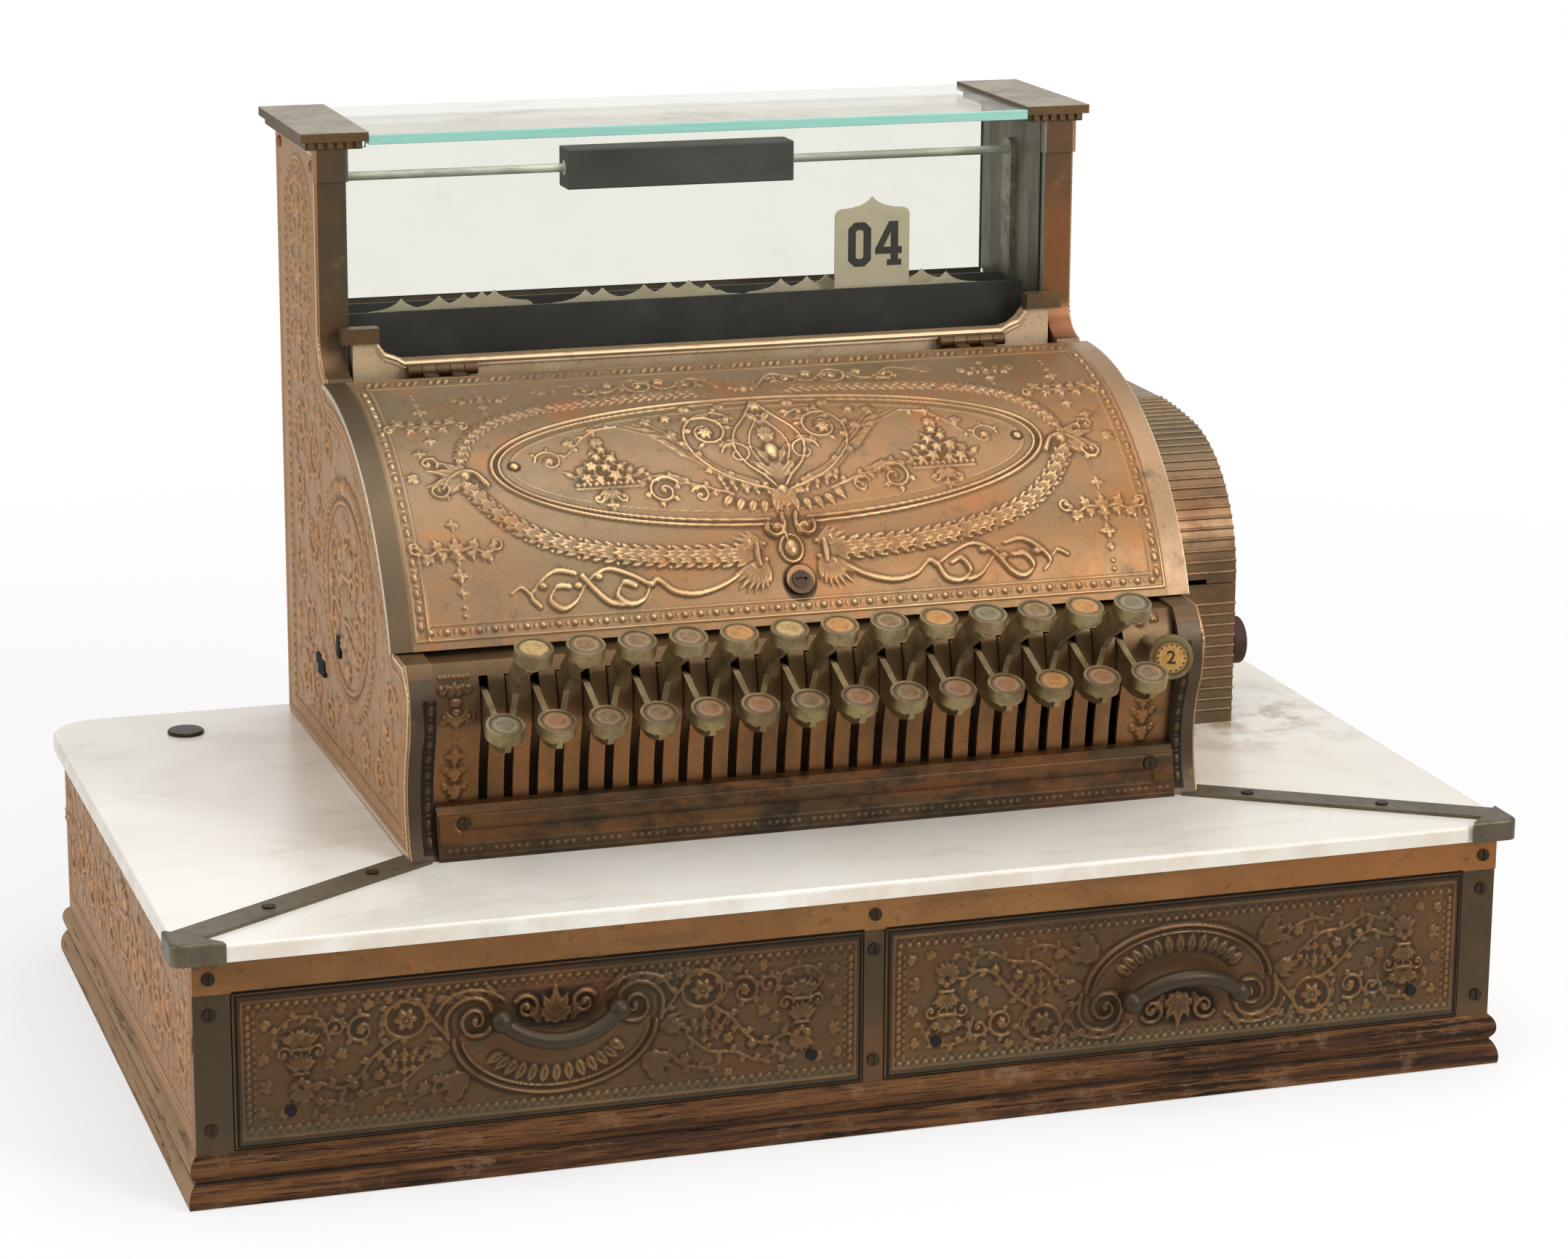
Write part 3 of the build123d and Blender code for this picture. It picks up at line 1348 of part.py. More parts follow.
def build():
    os.makedirs("parts", exist_ok=True)
    save("plinth_moulding", *plinth_moulding())
    save("carcass", *carcass())
    save("base_panels", *base_panels())
    save("front_frame", *front_frame())
    save("marble_slabs", marble_slabs())
    save("shelf_strips", *shelf_strips())
    save("fasteners", *fasteners())
    save("case_side_left", case_side_left())
    save("case_side_right", case_side_right())
    save("case_back", case_back())
    save("key_plate", key_plate())
    save("key_sill", key_sill())
    save("window_sill", window_sill())
    save("column_caps", *column_caps())
    save("glass_panes", *glass_panes())
    save("indicator_trough", *indicator_trough())
    save("flags_lowered", *flags_lowered())
    save("flag_raised", flag_raised())
    save("sign_bar", *sign_bar())
    save("front_lid", front_lid())
    save("lid_hinges", *lid_hinges())
    save("lid_lock", lid_lock())
    save("printer_case", printer_case())
    save("printer_cover", printer_cover())
    save("printer_knob", printer_knob())
    save("ticket_roll", ticket_roll())
    save("works_frame", *works_frame())
    save("adding_wheels", adding_wheels())
    save("drawer_left_front", drawer_front(-1))
    save("drawer_left_box", *drawer_box(-1))
    save("drawer_right_front", drawer_front(1))
    save("drawer_right_box", *drawer_box(1))
    for i in range(upper_keys):
        save(f"key_upper_{i + 1:02d}", upper_key(i))
    for i in range(lower_keys):
        save(f"key_lower_{i + 1:02d}", lower_key(i))
    save("key_side", key_side())


build()
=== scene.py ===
"""Looks of the ticket register: embossed brass, marble, oak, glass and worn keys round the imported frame."""
import copy
import math

import bpy
import numpy as np
from bpy.props import FloatProperty, FloatVectorProperty, PointerProperty
from mathutils import Matrix, Vector


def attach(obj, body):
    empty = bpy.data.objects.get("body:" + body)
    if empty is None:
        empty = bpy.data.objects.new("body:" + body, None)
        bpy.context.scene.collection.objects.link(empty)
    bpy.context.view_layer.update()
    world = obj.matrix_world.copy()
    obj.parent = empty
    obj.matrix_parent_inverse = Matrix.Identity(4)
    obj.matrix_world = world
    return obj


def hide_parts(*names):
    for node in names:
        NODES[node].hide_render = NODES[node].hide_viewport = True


bl_info = {
    "name": "Ticket Register",
    "version": (1, 0, 0),
    "blender": (4, 5, 0),
    "location": "3D View > Sidebar > Register",
    "description": "Dresses the ticket register in embossed brass, marble, oak and glass",
    "category": "Object",
}

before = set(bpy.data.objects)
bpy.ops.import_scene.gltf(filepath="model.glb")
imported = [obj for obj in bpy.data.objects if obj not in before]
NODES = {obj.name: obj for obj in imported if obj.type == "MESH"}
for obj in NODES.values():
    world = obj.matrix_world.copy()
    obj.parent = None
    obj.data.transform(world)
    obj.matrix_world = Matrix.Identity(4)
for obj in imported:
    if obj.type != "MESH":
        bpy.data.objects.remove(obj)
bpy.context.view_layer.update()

MM = 0.001
SIDES = ((-1, "left"), (1, "right"))

# ---- sizes shared with the frame, in millimetres ------------------------------
HALF_CASE = 223.3
HALF_CABINET = 357.5
CABINET_DEPTH = 412.0
BACK_Y = CABINET_DEPTH / 2
BASE_MIDDLE_Z = 78.0
LID_RADIUS = 172.0
LID_CENTRE = (80.5, 186.0)
LID_START = math.radians(20.0)
LID_END = math.radians(89.4)
LID_ARC = LID_RADIUS * (LID_END - LID_START)
DRAWER_X = 172.0
DRAWER_Z = 69.5
DRAWER_FACE_Y = -207.0
WINDOW_SILL_Y = 90.0
PRINTER_FRONT = 12.0
PRINTER_TOP = 318.0
COVER_HINGE = (200.5, 218.5)
COVER_REACH = 184.0
ROD_AXIS = (154.0, 460.5)
ROD_RADIUS = 4.2

# ---- places where a finish changes, in metres ---------------------------------
LID_MARGIN = (0.2128, 0.2146)
LID_EDGE_HIGHLIGHT = (0.2259, 0.2263)
LOCK = (0.002, -0.067, 0.261)
LOCK_RING = 0.0115
HINGE_Z = 0.3584
CASING_FACE = 0.2226
CASING_INSIDE = 0.2064
WINDOW_Z = 0.3553
GLASS_TOP_Z = 0.4862
CAP_TOP_Z = 0.4932
SILL_LEDGE = (0.340, 0.376)
RAIL_Z = 0.1115
# painted shadow line along the rail's foot, over the drawer openings
SHADOW_LINE_Z = 0.1116
SHADOW_LINE_REACH = (0.006, 0.338)
PULL_Y = -0.2085
PLINTH_STEP_Z = 0.0125


# ---- shader building ------------------------------------------------------------

class Wire:
    """One shader socket; arithmetic on it adds Math nodes."""

    def __init__(self, finish, socket):
        self.finish = finish
        self.socket = socket

    def maths(self, operation, *values):
        """The result of a Math node on these values."""
        return self.finish.node("ShaderNodeMath", {"operation": operation}, values)

    def __add__(self, other):
        return self.maths("ADD", self, other)

    def __sub__(self, other):
        return self.maths("SUBTRACT", self, other)

    def __rsub__(self, other):
        return self.maths("SUBTRACT", other, self)

    def __mul__(self, other):
        return self.maths("MULTIPLY", self, other)

    def __pow__(self, other):
        return self.maths("POWER", self, other)

    def __gt__(self, other):
        return self.maths("GREATER_THAN", self, other)

    def __lt__(self, other):
        return self.maths("LESS_THAN", self, other)

    __radd__ = __add__
    __rmul__ = __mul__

    def sized(self):
        """The value without its sign."""
        return self.maths("ABSOLUTE", self)

    def clamped(self, low=0.0, high=1.0):
        """Mapped smoothly from low..high to 0..1, and held there."""
        span = {"clamp": True, "interpolation_type": "SMOOTHSTEP"}
        return self.finish.node("ShaderNodeMapRange", span, {0: self, 1: low, 2: high, 3: 0.0, 4: 1.0})


def linear(colour):
    """Linear RGBA from screen RGB values."""
    channels = [c / 12.92 if c <= 0.04045 else ((c + 0.055) / 1.055) ** 2.4 for c in colour[:3]]
    return (*channels, 1.0)


class Finish:
    """A material, or the world, while its nodes are built."""

    def __init__(self, owner, output="ShaderNodeOutputMaterial"):
        self.owner = bpy.data.materials.new(owner) if isinstance(owner, str) else owner
        self.owner.use_nodes = True
        self.tree = self.owner.node_tree
        self.tree.nodes.clear()
        self.output = self.tree.nodes.new(output)
        self.coords = None

    def node(self, kind, settings=(), inputs=(), output=0):
        """A node of a type, its settings made first, then the values or links of its sockets."""
        made = self.tree.nodes.new(kind)
        for key, value in dict(settings).items():
            if key == "stops":
                self.set_stops(made.color_ramp, value)
            else:
                setattr(made, key, value)
        pairs = inputs.items() if isinstance(inputs, dict) else enumerate(inputs)
        for key, value in pairs:
            if isinstance(value, Wire):
                self.tree.links.new(value.socket, made.inputs[key])
            elif value is not None:
                made.inputs[key].default_value = value
        return Wire(self, made.outputs[output])

    def set_stops(self, ramp, stops):
        """Gives a colour ramp its (position, colour) stops."""
        while len(ramp.elements) < len(stops):
            ramp.elements.new(0.5)
        for element, (position, colour) in zip(ramp.elements, stops):
            element.position = position
            element.color = linear(colour)

    def place(self):
        """The piece's own coordinates, in metres."""
        if self.coords is None:
            self.coords = self.node("ShaderNodeTexCoord", output="Object")
        return self.coords

    def axes(self):
        """The three coordinates as separate values."""
        split = self.tree.nodes.new("ShaderNodeSeparateXYZ")
        self.tree.links.new(self.place().socket, split.inputs[0])
        return [Wire(self, socket) for socket in split.outputs]

    def scaled(self, x, y, z):
        """The coordinates stretched along each axis."""
        return self.node("ShaderNodeVectorMath", {"operation": "MULTIPLY"}, [self.place(), (x, y, z)])

    def noise(self, scale, detail=3.0, roughness=0.55, stretch=None, distortion=0.0):
        """A noise texture, on coordinates stretched along each axis or on those of a wire."""
        vector = self.scaled(*stretch) if isinstance(stretch, tuple) else stretch or self.place()
        return self.node("ShaderNodeTexNoise", (), {
            "Vector": vector,
            "Scale": scale,
            "Detail": detail,
            "Roughness": roughness,
            "Distortion": distortion,
        })

    def attribute(self, name):
        """A point attribute of the mesh."""
        return self.node("ShaderNodeAttribute", {"attribute_name": name}, (), "Fac")

    def mix(self, share, first, second):
        """Colour between two colours."""
        sides = [linear(side) if isinstance(side, tuple) else side for side in (first, second)]
        return self.node("ShaderNodeMix", {"data_type": "RGBA"}, {0: share, 6: sides[0], 7: sides[1]}, 2)

    def over(self, colour, *layers):
        """The colour under layers of other colours, each given as its share and colour."""
        for share, layer in layers:
            colour = self.mix(share, colour, layer)
        return colour

    def ramp(self, share, *stops):
        """Colour along a ramp."""
        return self.node("ShaderNodeValToRGB", {"stops": stops}, [share])

    def bump(self, height, distance):
        """A normal for fine roughness, distance in metres."""
        return self.node("ShaderNodeBump", (), {"Height": height, "Distance": distance, "Strength": 1.0})

    def surface(self, **inputs):
        """The main shader; names are its sockets' names with underscores."""
        sockets = {key.replace("_", " "): value for key, value in inputs.items()}
        if isinstance(inputs["Base_Color"], tuple):
            sockets["Base Color"] = linear(inputs["Base_Color"])
        return self.node("ShaderNodeBsdfPrincipled", (), sockets)

    def finished(self, shader):
        """The material or world, once its shader is joined to its output."""
        self.tree.links.new(shader.socket, self.output.inputs["Surface"])
        return self.owner

    def made(self, **inputs):
        """The material with only the main shader."""
        return self.finished(self.surface(**inputs))


# ---- finishes ---------------------------------------------------------------------

# main tone, second tone, stains, rubbed tops and hollows of each metal
TONES = {
    "lid": (
        (0.61, 0.43, 0.26), (0.56, 0.44, 0.30), (0.40, 0.34, 0.26), (0.98, 0.80, 0.58), (0.25, 0.17, 0.11),
    ),
    "side": (
        (0.72, 0.54, 0.37), (0.68, 0.54, 0.39), (0.49, 0.42, 0.30), (0.88, 0.63, 0.40), (0.30, 0.21, 0.13),
    ),
    "drawer": (
        (0.36, 0.26, 0.15), (0.41, 0.29, 0.17), (0.27, 0.22, 0.14), (0.56, 0.41, 0.25), (0.10, 0.075, 0.045),
    ),
    "rail": (
        (0.62, 0.44, 0.26), (0.55, 0.38, 0.22), (0.36, 0.27, 0.17), (0.74, 0.53, 0.32), (0.22, 0.15, 0.09),
    ),
    "cast": (
        (0.48, 0.37, 0.24), (0.42, 0.34, 0.24), (0.33, 0.28, 0.20), (0.62, 0.48, 0.32), (0.18, 0.13, 0.08),
    ),
    "strip": (
        (0.45, 0.41, 0.33), (0.38, 0.34, 0.27), (0.28, 0.24, 0.18), (0.60, 0.56, 0.46), (0.16, 0.13, 0.10),
    ),
    "sill": (
        (0.34, 0.25, 0.13), (0.31, 0.24, 0.14), (0.20, 0.15, 0.10), (0.44, 0.32, 0.20), (0.09, 0.07, 0.05),
    ),
    "plate": (
        (0.50, 0.35, 0.20), (0.44, 0.32, 0.20), (0.32, 0.28, 0.20), (0.60, 0.43, 0.26), (0.14, 0.10, 0.06),
    ),
    "key": (
        (0.60, 0.53, 0.37), (0.47, 0.39, 0.26), (0.33, 0.27, 0.18), (0.78, 0.72, 0.53), (0.15, 0.11, 0.07),
    ),
    "printer": (
        (0.55, 0.40, 0.26), (0.48, 0.39, 0.28), (0.34, 0.26, 0.18), (0.80, 0.63, 0.44), (0.16, 0.11, 0.07),
    ),
    "iron": (
        (0.30, 0.28, 0.25), (0.26, 0.24, 0.21), (0.20, 0.16, 0.12), (0.44, 0.42, 0.38), (0.12, 0.10, 0.08),
    ),
    "back": (
        (0.44, 0.36, 0.27), (0.38, 0.32, 0.25), (0.28, 0.23, 0.17), (0.58, 0.48, 0.36), (0.16, 0.12, 0.08),
    ),
    "bead": (
        (0.30, 0.22, 0.14), (0.26, 0.20, 0.13), (0.20, 0.16, 0.11), (0.42, 0.31, 0.20), (0.11, 0.08, 0.06),
    ),
    "ledge": (
        (0.92, 0.81, 0.66), (0.84, 0.72, 0.56), (0.60, 0.51, 0.40), (0.97, 0.84, 0.66), (0.29, 0.21, 0.13),
    ),
    "hinge": (
        (0.38, 0.28, 0.17), (0.33, 0.25, 0.16), (0.24, 0.19, 0.13), (0.54, 0.41, 0.26), (0.12, 0.09, 0.06),
    ),
    "copper": (
        (0.62, 0.38, 0.24), (0.55, 0.36, 0.24), (0.40, 0.28, 0.18), (0.78, 0.52, 0.34), (0.22, 0.14, 0.09),
    ),
    "screw": (
        (0.26, 0.20, 0.14), (0.21, 0.17, 0.12), (0.16, 0.12, 0.08), (0.38, 0.31, 0.22), (0.07, 0.05, 0.03),
    ),
}
# pale tone of the plain margins outside a panel, and of painted highlights along rounded edges
BARE_METAL_AND_HIGHLIGHT = (0.88, 0.80, 0.68)


def aged_metal(name, tones, roughness, metallic, patch=14.0, extra=None, relief=False):
    """Old metal: two main tones in patches, a stain tone in spots, rubbed tops and dirty hollows."""
    field, second, stain, bright_tone, dirt = TONES[tones]
    finish = Finish(name)
    clouds = finish.noise(patch, 4.0, 0.62).clamped(0.36, 0.64)
    spots = finish.noise(patch * 6, 4.0, 0.65)
    fine = finish.noise(1100.0, 3.0, 0.6)
    grain = finish.noise(750.0, 2.0, 0.5)
    colour = finish.mix(clouds, field, second)
    if extra:
        colour = extra(finish, colour)
    colour = finish.over(
        colour,
        (spots.clamped(0.57, 0.76) * 0.65, stain),
        ((1.0 - grain).clamped(0.48, 0.70) * 0.16, dirt),
    )
    rough = roughness + (spots - 0.5) * 0.25
    if relief:
        wear = finish.attribute("wear")
        # the second point attribute darkens with dirt and painted shade where it is above nought, and lays a
        # pale painted highlight where it is below nought
        grime = finish.attribute("grime")
        hollow = (0.0 - wear).clamped(0.08, 0.75)
        bright = wear.clamped(0.12, 0.85)
        shade = grime.clamped(0.0, 1.0)
        colour = finish.over(
            colour,
            (hollow * (0.42 + spots * 0.33), dirt),
            (bright * (0.15 + clouds * 0.65), bright_tone),
            (shade, dirt),
            ((0.0 - grime).clamped(0.0, 1.0), BARE_METAL_AND_HIGHLIGHT),
        )
        rough = rough + hollow * 0.15 - bright * 0.10 + shade * 0.2
    return finish.made(
        Base_Color=finish.mix(fine.clamped(0.55, 0.8) * 0.22, colour, dirt),
        Metallic=metallic,
        Roughness=rough,
        Normal=finish.bump(fine * 0.6 + spots * 0.4, 0.00005),
    )


def lid_patina(finish, colour):
    """Greyer towards the top and the left, rusty in spots, plain at the margins, dark round the lock, with a
    painted highlight along the outer edge.
    """
    x, y, z = finish.axes()
    drift = finish.noise(5.0, 3.0, 0.6)
    grey = ((z * 3.0 - x * 0.9) + drift * 0.8).clamped(0.95, 1.75)
    blots = finish.noise(17.0, 4.0, 0.6).clamped(0.60, 0.72)
    rust = finish.noise(26.0, 5.0, 0.7).clamped(0.54, 0.70)
    from_lock = ((x - LOCK[0]) ** 2.0 + (y - LOCK[1]) ** 2.0 + (z - LOCK[2]) ** 2.0) ** 0.5
    return finish.over(
        colour,
        (grey * 0.65, (0.52, 0.46, 0.36)),
        (blots * 0.5, (0.40, 0.38, 0.32)),
        (rust * 0.5, (0.68, 0.42, 0.22)),
        (
            x.sized().clamped(*LID_MARGIN) * (0.95 - drift * 0.35),
            finish.mix(x > 0.0, (0.31, 0.26, 0.19), (0.66, 0.54, 0.41)),
        ),
        ((from_lock < LOCK_RING) * 0.85, (0.27, 0.21, 0.15)),
        # painted highlight along the lid's outer edge
        (x.sized().clamped(*LID_EDGE_HIGHLIGHT) * 0.85, (0.86, 0.80, 0.70)),
        ((z > HINGE_Z) * 0.9, (0.36, 0.27, 0.17)),
    )


def side_patina(finish, colour):
    """Orange wear and grey-green dirt on a tan ground, paler towards the top."""
    _, _, z = finish.axes()
    drift = finish.noise(13.0, 5.0, 0.66)
    dirt = finish.noise(26.0, 5.0, 0.7).clamped(0.50, 0.68)
    return finish.over(
        colour,
        (drift.clamped(0.50, 0.66) * 0.38, (0.78, 0.48, 0.25)),
        (dirt * 0.45, (0.50, 0.43, 0.31)),
        ((z < 0.13) * 0.35, (0.56, 0.38, 0.21)),
        ((drift * 0.5 + z * 1.3).clamped(0.55, 0.95) * 0.55, (0.77, 0.62, 0.45)),
    )


def drawer_patina(finish, colour):
    """Copper showing through in a few patches, greener spots, a pale foot, painted shade along the top and a
    dull pull.
    """
    _, y, z = finish.axes()
    worn = finish.noise(9.0, 5.0, 0.66).clamped(0.54, 0.70)
    green = finish.noise(26.0, 4.0, 0.6).clamped(0.50, 0.66)
    return finish.over(
        colour,
        (worn * 0.5, (0.55, 0.35, 0.19)),
        (green * 0.55, (0.32, 0.29, 0.20)),
        ((0.0395 - z).clamped(0.0, 0.002) * 0.5, (0.40, 0.36, 0.26)),
        # painted shade along the top of the drawer front
        ((z - 0.094).clamped(0.0, 0.016) * 0.40, (0.17, 0.12, 0.07)),
        (y < PULL_Y, (0.27, 0.22, 0.155)),
    )


def frame_patina(finish, colour):
    """Stiles left dark and greenish below the rubbed copper rail, with a painted shadow line along the rail's
    foot over the drawers.
    """
    x, _, z = finish.axes()
    drift = finish.noise(16.0, 4.0, 0.6)
    streaks = finish.noise(10.0, 4.0, 0.65, (1.0, 1.0, 9.0))
    # painted shadow line just over the drawer openings
    shadow_line = (z - SHADOW_LINE_Z).sized() < 0.0007
    return finish.over(
        colour,
        (streaks.clamped(0.50, 0.70) * 0.55, (0.44, 0.33, 0.21)),
        (x.clamped(0.10, 0.33) * 0.8, (0.64, 0.42, 0.23)),
        (z < RAIL_Z, finish.mix(drift.clamped(0.46, 0.64), (0.31, 0.26, 0.18), (0.40, 0.29, 0.19))),
        (shadow_line * (x.sized() > SHADOW_LINE_REACH[0]) * (x.sized() < SHADOW_LINE_REACH[1]), (0.06, 0.045, 0.03)),
    )


def casing_patina(finish, colour):
    """Pale outside, dark on the front band, coppery on the right column, painted in the window."""
    x, _, z = finish.axes()
    drift = finish.noise(12.0, 4.0, 0.6)
    streaks = finish.noise(14.0, 5.0, 0.7, (3.0, 3.0, 0.6))
    band = finish.over(
        finish.mix(drift.clamped(0.42, 0.62), (0.41, 0.31, 0.20), (0.36, 0.31, 0.24)),
        (
            (x > 0.0) * (z > 0.36) * 0.8,
            finish.mix(drift.clamped(0.42, 0.60), (0.58, 0.37, 0.22), (0.42, 0.32, 0.22)),
        ),
        ((z < 0.236) * 0.75, (0.29, 0.25, 0.20)),
    )
    paint = finish.mix(streaks.clamped(0.40, 0.62), (0.56, 0.55, 0.49), (0.38, 0.36, 0.31))
    return finish.over(
        colour,
        (x.sized() < CASING_FACE, band),
        ((x.sized() < CASING_INSIDE) * (z > WINDOW_Z), paint),
    )


def cap_patina(finish, colour):
    """Tops of the capitals bleached to a pale grey, and a pale ledge at the window sill."""
    _, _, z = finish.axes()
    pale = finish.noise(40.0, 4.0, 0.65).clamped(0.35, 0.65)
    ledge = (z > SILL_LEDGE[0]) * (z < SILL_LEDGE[1])
    return finish.over(
        colour,
        (z > CAP_TOP_Z, finish.mix(pale, (0.62, 0.57, 0.47), (0.52, 0.47, 0.38))),
        (ledge * (0.70 + pale * 0.25), (0.74, 0.62, 0.47)),
    )


def plate_patina(finish, colour):
    """Brown bronze with orange wear between the slots, and painted shade under the keys towards the lid."""
    _, _, z = finish.axes()
    drift = finish.noise(20.0, 4.0, 0.6, (1.0, 1.0, 0.35))
    return finish.over(
        colour,
        (drift.clamped(0.40, 0.62) * 0.7, (0.62, 0.42, 0.25)),
        # painted shade under the keys
        ((z - 0.150).clamped(0.04, 0.08) * 0.75, (0.37, 0.30, 0.20)),
    )


def sill_patina(finish, colour):
    """Rust brown on the band, olive along its foot and at the left, blackened towards the middle."""
    x, _, z = finish.axes()
    drift = finish.noise(12.0, 4.0, 0.65, (1.0, 2.0, 3.0))
    soot = finish.noise(30.0, 5.0, 0.7, (1.0, 1.0, 1.6)).clamped(0.44, 0.60)
    return finish.over(
        colour,
        (drift.clamped(0.40, 0.58) * 0.85, (0.47, 0.29, 0.13)),
        ((z < 0.1465) * 0.45 + (x < -0.12) * 0.25, (0.27, 0.22, 0.13)),
        (soot * (0.75 - x.sized() * 1.6), (0.11, 0.08, 0.06)),
    )


def printer_patina(finish, colour):
    """Rust-brown streaks down the ribs, a grey top and a greener foot."""
    _, _, z = finish.axes()
    streaks = finish.noise(13.0, 5.0, 0.65, (3.0, 0.7, 0.7))
    tarnish = finish.noise(22.0, 5.0, 0.7, (0.6, 1.0, 1.0)).clamped(0.50, 0.62)
    return finish.over(
        colour,
        (streaks.clamped(0.44, 0.64) * 0.8, (0.46, 0.32, 0.21)),
        (tarnish * 0.45, (0.29, 0.23, 0.16)),
        ((z - 0.262).clamped(0.0, 0.035) * 0.6, (0.50, 0.45, 0.35)),
        ((0.25 - z).clamped(0.0, 0.11) * 0.5, (0.42, 0.38, 0.28)),
    )


def iron_patina(finish, colour):
    """The arms inside the window are of a paler metal than the works below."""
    _, _, z = finish.axes()
    grime = finish.noise(60.0, 4.0, 0.6).clamped(0.40, 0.64)
    return finish.mix(z > WINDOW_Z, colour, finish.mix(grime, (0.70, 0.70, 0.63), (0.50, 0.49, 0.43)))


def marble_finish():
    """White marble, a little clouded, with faint veins, specks and rust stains beside the printer."""
    finish = Finish("marble_white")
    x, y, z = finish.axes()
    clouds = finish.noise(7.0, 5.0, 0.6, distortion=0.8)
    veins = finish.noise(3.2, 7.0, 0.58, (0.6, 1.6, 1.0), 1.2)
    vein = 1.0 - ((veins - 0.5).sized() * 34.0).clamped(0.0, 1.0)
    specks = finish.noise(260.0, 2.0, 0.6).clamped(0.68, 0.8)
    near = 1.0 - (((x - 0.300) ** 2.0 + (y - 0.030) ** 2.0) ** 0.5).clamped(0.02, 0.11)
    blots = finish.noise(38.0, 5.0, 0.65).clamped(0.42, 0.66)
    streak = finish.noise(24.0, 5.0, 0.7, (0.5, 2.0, 1.0)).clamped(0.66, 0.76)
    rim = (z < 0.1365) * finish.noise(30.0, 4.0, 0.6).clamped(0.35, 0.65)
    colour = finish.over(
        finish.mix(clouds.clamped(0.38, 0.66), (0.945, 0.928, 0.895), (0.910, 0.888, 0.845)),
        ((x + 0.1).clamped(0.0, 0.42) * 0.5, (0.84, 0.81, 0.75)),
        (vein * clouds.clamped(0.45, 0.60) * 0.22, (0.72, 0.70, 0.66)),
        (specks * 0.12, (0.62, 0.52, 0.40)),
        (near * blots * 0.75, (0.60, 0.48, 0.34)),
        (streak * 0.4, (0.74, 0.66, 0.54)),
        (rim * 0.35, (0.76, 0.64, 0.48)),
    )
    return finish.made(
        Base_Color=colour,
        Roughness=0.24 + clouds * 0.10,
        Subsurface_Weight=0.08,
        Subsurface_Radius=(0.004, 0.003, 0.002),
        Normal=finish.bump(specks, 0.00003),
    )


def oak_finish():
    """Weathered oak, its grain along each length of the moulding, cracked, worn pale, tan on the sides."""
    finish = Finish("weathered_oak")
    x, y, z = finish.axes()
    on_side = (x.sized() - y.sized()) > (HALF_CABINET - BACK_Y) * MM
    along_x = finish.scaled(1.0, 20.0, 20.0)
    along_y = finish.scaled(20.0, 1.0, 20.0)
    along = finish.node("ShaderNodeMix", {"data_type": "VECTOR"}, {0: on_side, 4: along_x, 5: along_y}, 1)
    broad = finish.noise(7.0, 5.0, 0.65, along, 0.8)
    pores = finish.noise(30.0, 6.0, 0.75, along)
    crack = finish.noise(13.0, 6.0, 0.78, along, 0.4).clamped(0.57, 0.63)
    scuffs = finish.noise(24.0, 6.0, 0.72)
    grain = finish.ramp(
        broad,
        (0.32, (0.18, 0.10, 0.04)),
        (0.45, (0.33, 0.20, 0.09)),
        (0.56, (0.46, 0.30, 0.15)),
        (0.70, (0.27, 0.16, 0.08)),
    )
    colour = finish.over(
        grain,
        (pores.clamped(0.48, 0.62) * 0.75, (0.15, 0.08, 0.04)),
        (scuffs.clamped(0.52, 0.66) * pores.clamped(0.35, 0.55) * 0.5, (0.62, 0.48, 0.36)),
        (crack * 0.8, (0.08, 0.05, 0.03)),
        (((z - PLINTH_STEP_Z).sized() < 0.0012) * 0.7, (0.10, 0.06, 0.04)),
    )
    side = finish.mix(scuffs.clamped(0.10, 0.46) * 0.85, colour, (0.72, 0.59, 0.45))
    return finish.made(
        Base_Color=finish.mix(on_side * 0.85, colour, side),
        Roughness=0.68 + pores * 0.2,
        Specular_IOR_Level=0.3,
        Normal=finish.bump(1.0 - (crack * 0.8 + pores * 0.3), 0.0016),
    )


def board_finish():
    """Plain inner boards of the cabinet and the drawers."""
    finish = Finish("inner_board")
    grain = finish.noise(9.0, 5.0, 0.65, (2.0, 1.0, 22.0), 0.4)
    colour = finish.ramp(grain, (0.3, (0.42, 0.30, 0.19)), (0.7, (0.58, 0.43, 0.28)))
    return finish.made(Base_Color=colour, Roughness=0.66, Normal=finish.bump(grain, 0.0003))


def paint_finish(name, colour, worn, roughness):
    """Old paint, rubbed and dusty."""
    finish = Finish(name)
    dust = finish.noise(30.0, 5.0, 0.65)
    chips = finish.noise(420.0, 3.0, 0.6)
    shade = finish.mix(dust.clamped(0.42, 0.72) * 0.6, colour, worn)
    return finish.made(
        Base_Color=finish.mix(chips.clamped(0.68, 0.74) * 0.5, shade, worn),
        Roughness=roughness + dust * 0.2,
        Normal=finish.bump(chips, 0.00005),
    )


def slate_finish():
    """Dark painted block with a bare steel rod through it."""
    finish = Finish("slate_paint")
    _, y, z = finish.axes()
    from_axis = ((y - ROD_AXIS[0] * MM) ** 2.0 + (z - ROD_AXIS[1] * MM) ** 2.0) ** 0.5
    on_rod = from_axis < ROD_RADIUS * MM
    dust = finish.noise(30.0, 5.0, 0.65, (0.3, 1.0, 1.0))
    chips = finish.noise(320.0, 3.0, 0.6, (0.2, 1.0, 1.0))
    shade = finish.over(
        finish.mix(dust.clamped(0.40, 0.70) * 0.6, (0.22, 0.25, 0.24), (0.36, 0.39, 0.37)),
        (chips.clamped(0.66, 0.74) * 0.4, (0.44, 0.45, 0.42)),
        (on_rod, finish.mix(dust.clamped(0.4, 0.6), (0.93, 0.95, 0.91), (0.72, 0.73, 0.68))),
    )
    return finish.made(
        Base_Color=shade,
        Metallic=on_rod * 0.5,
        Roughness=0.45 + dust * 0.15,
        Normal=finish.bump(chips, 0.00005),
    )


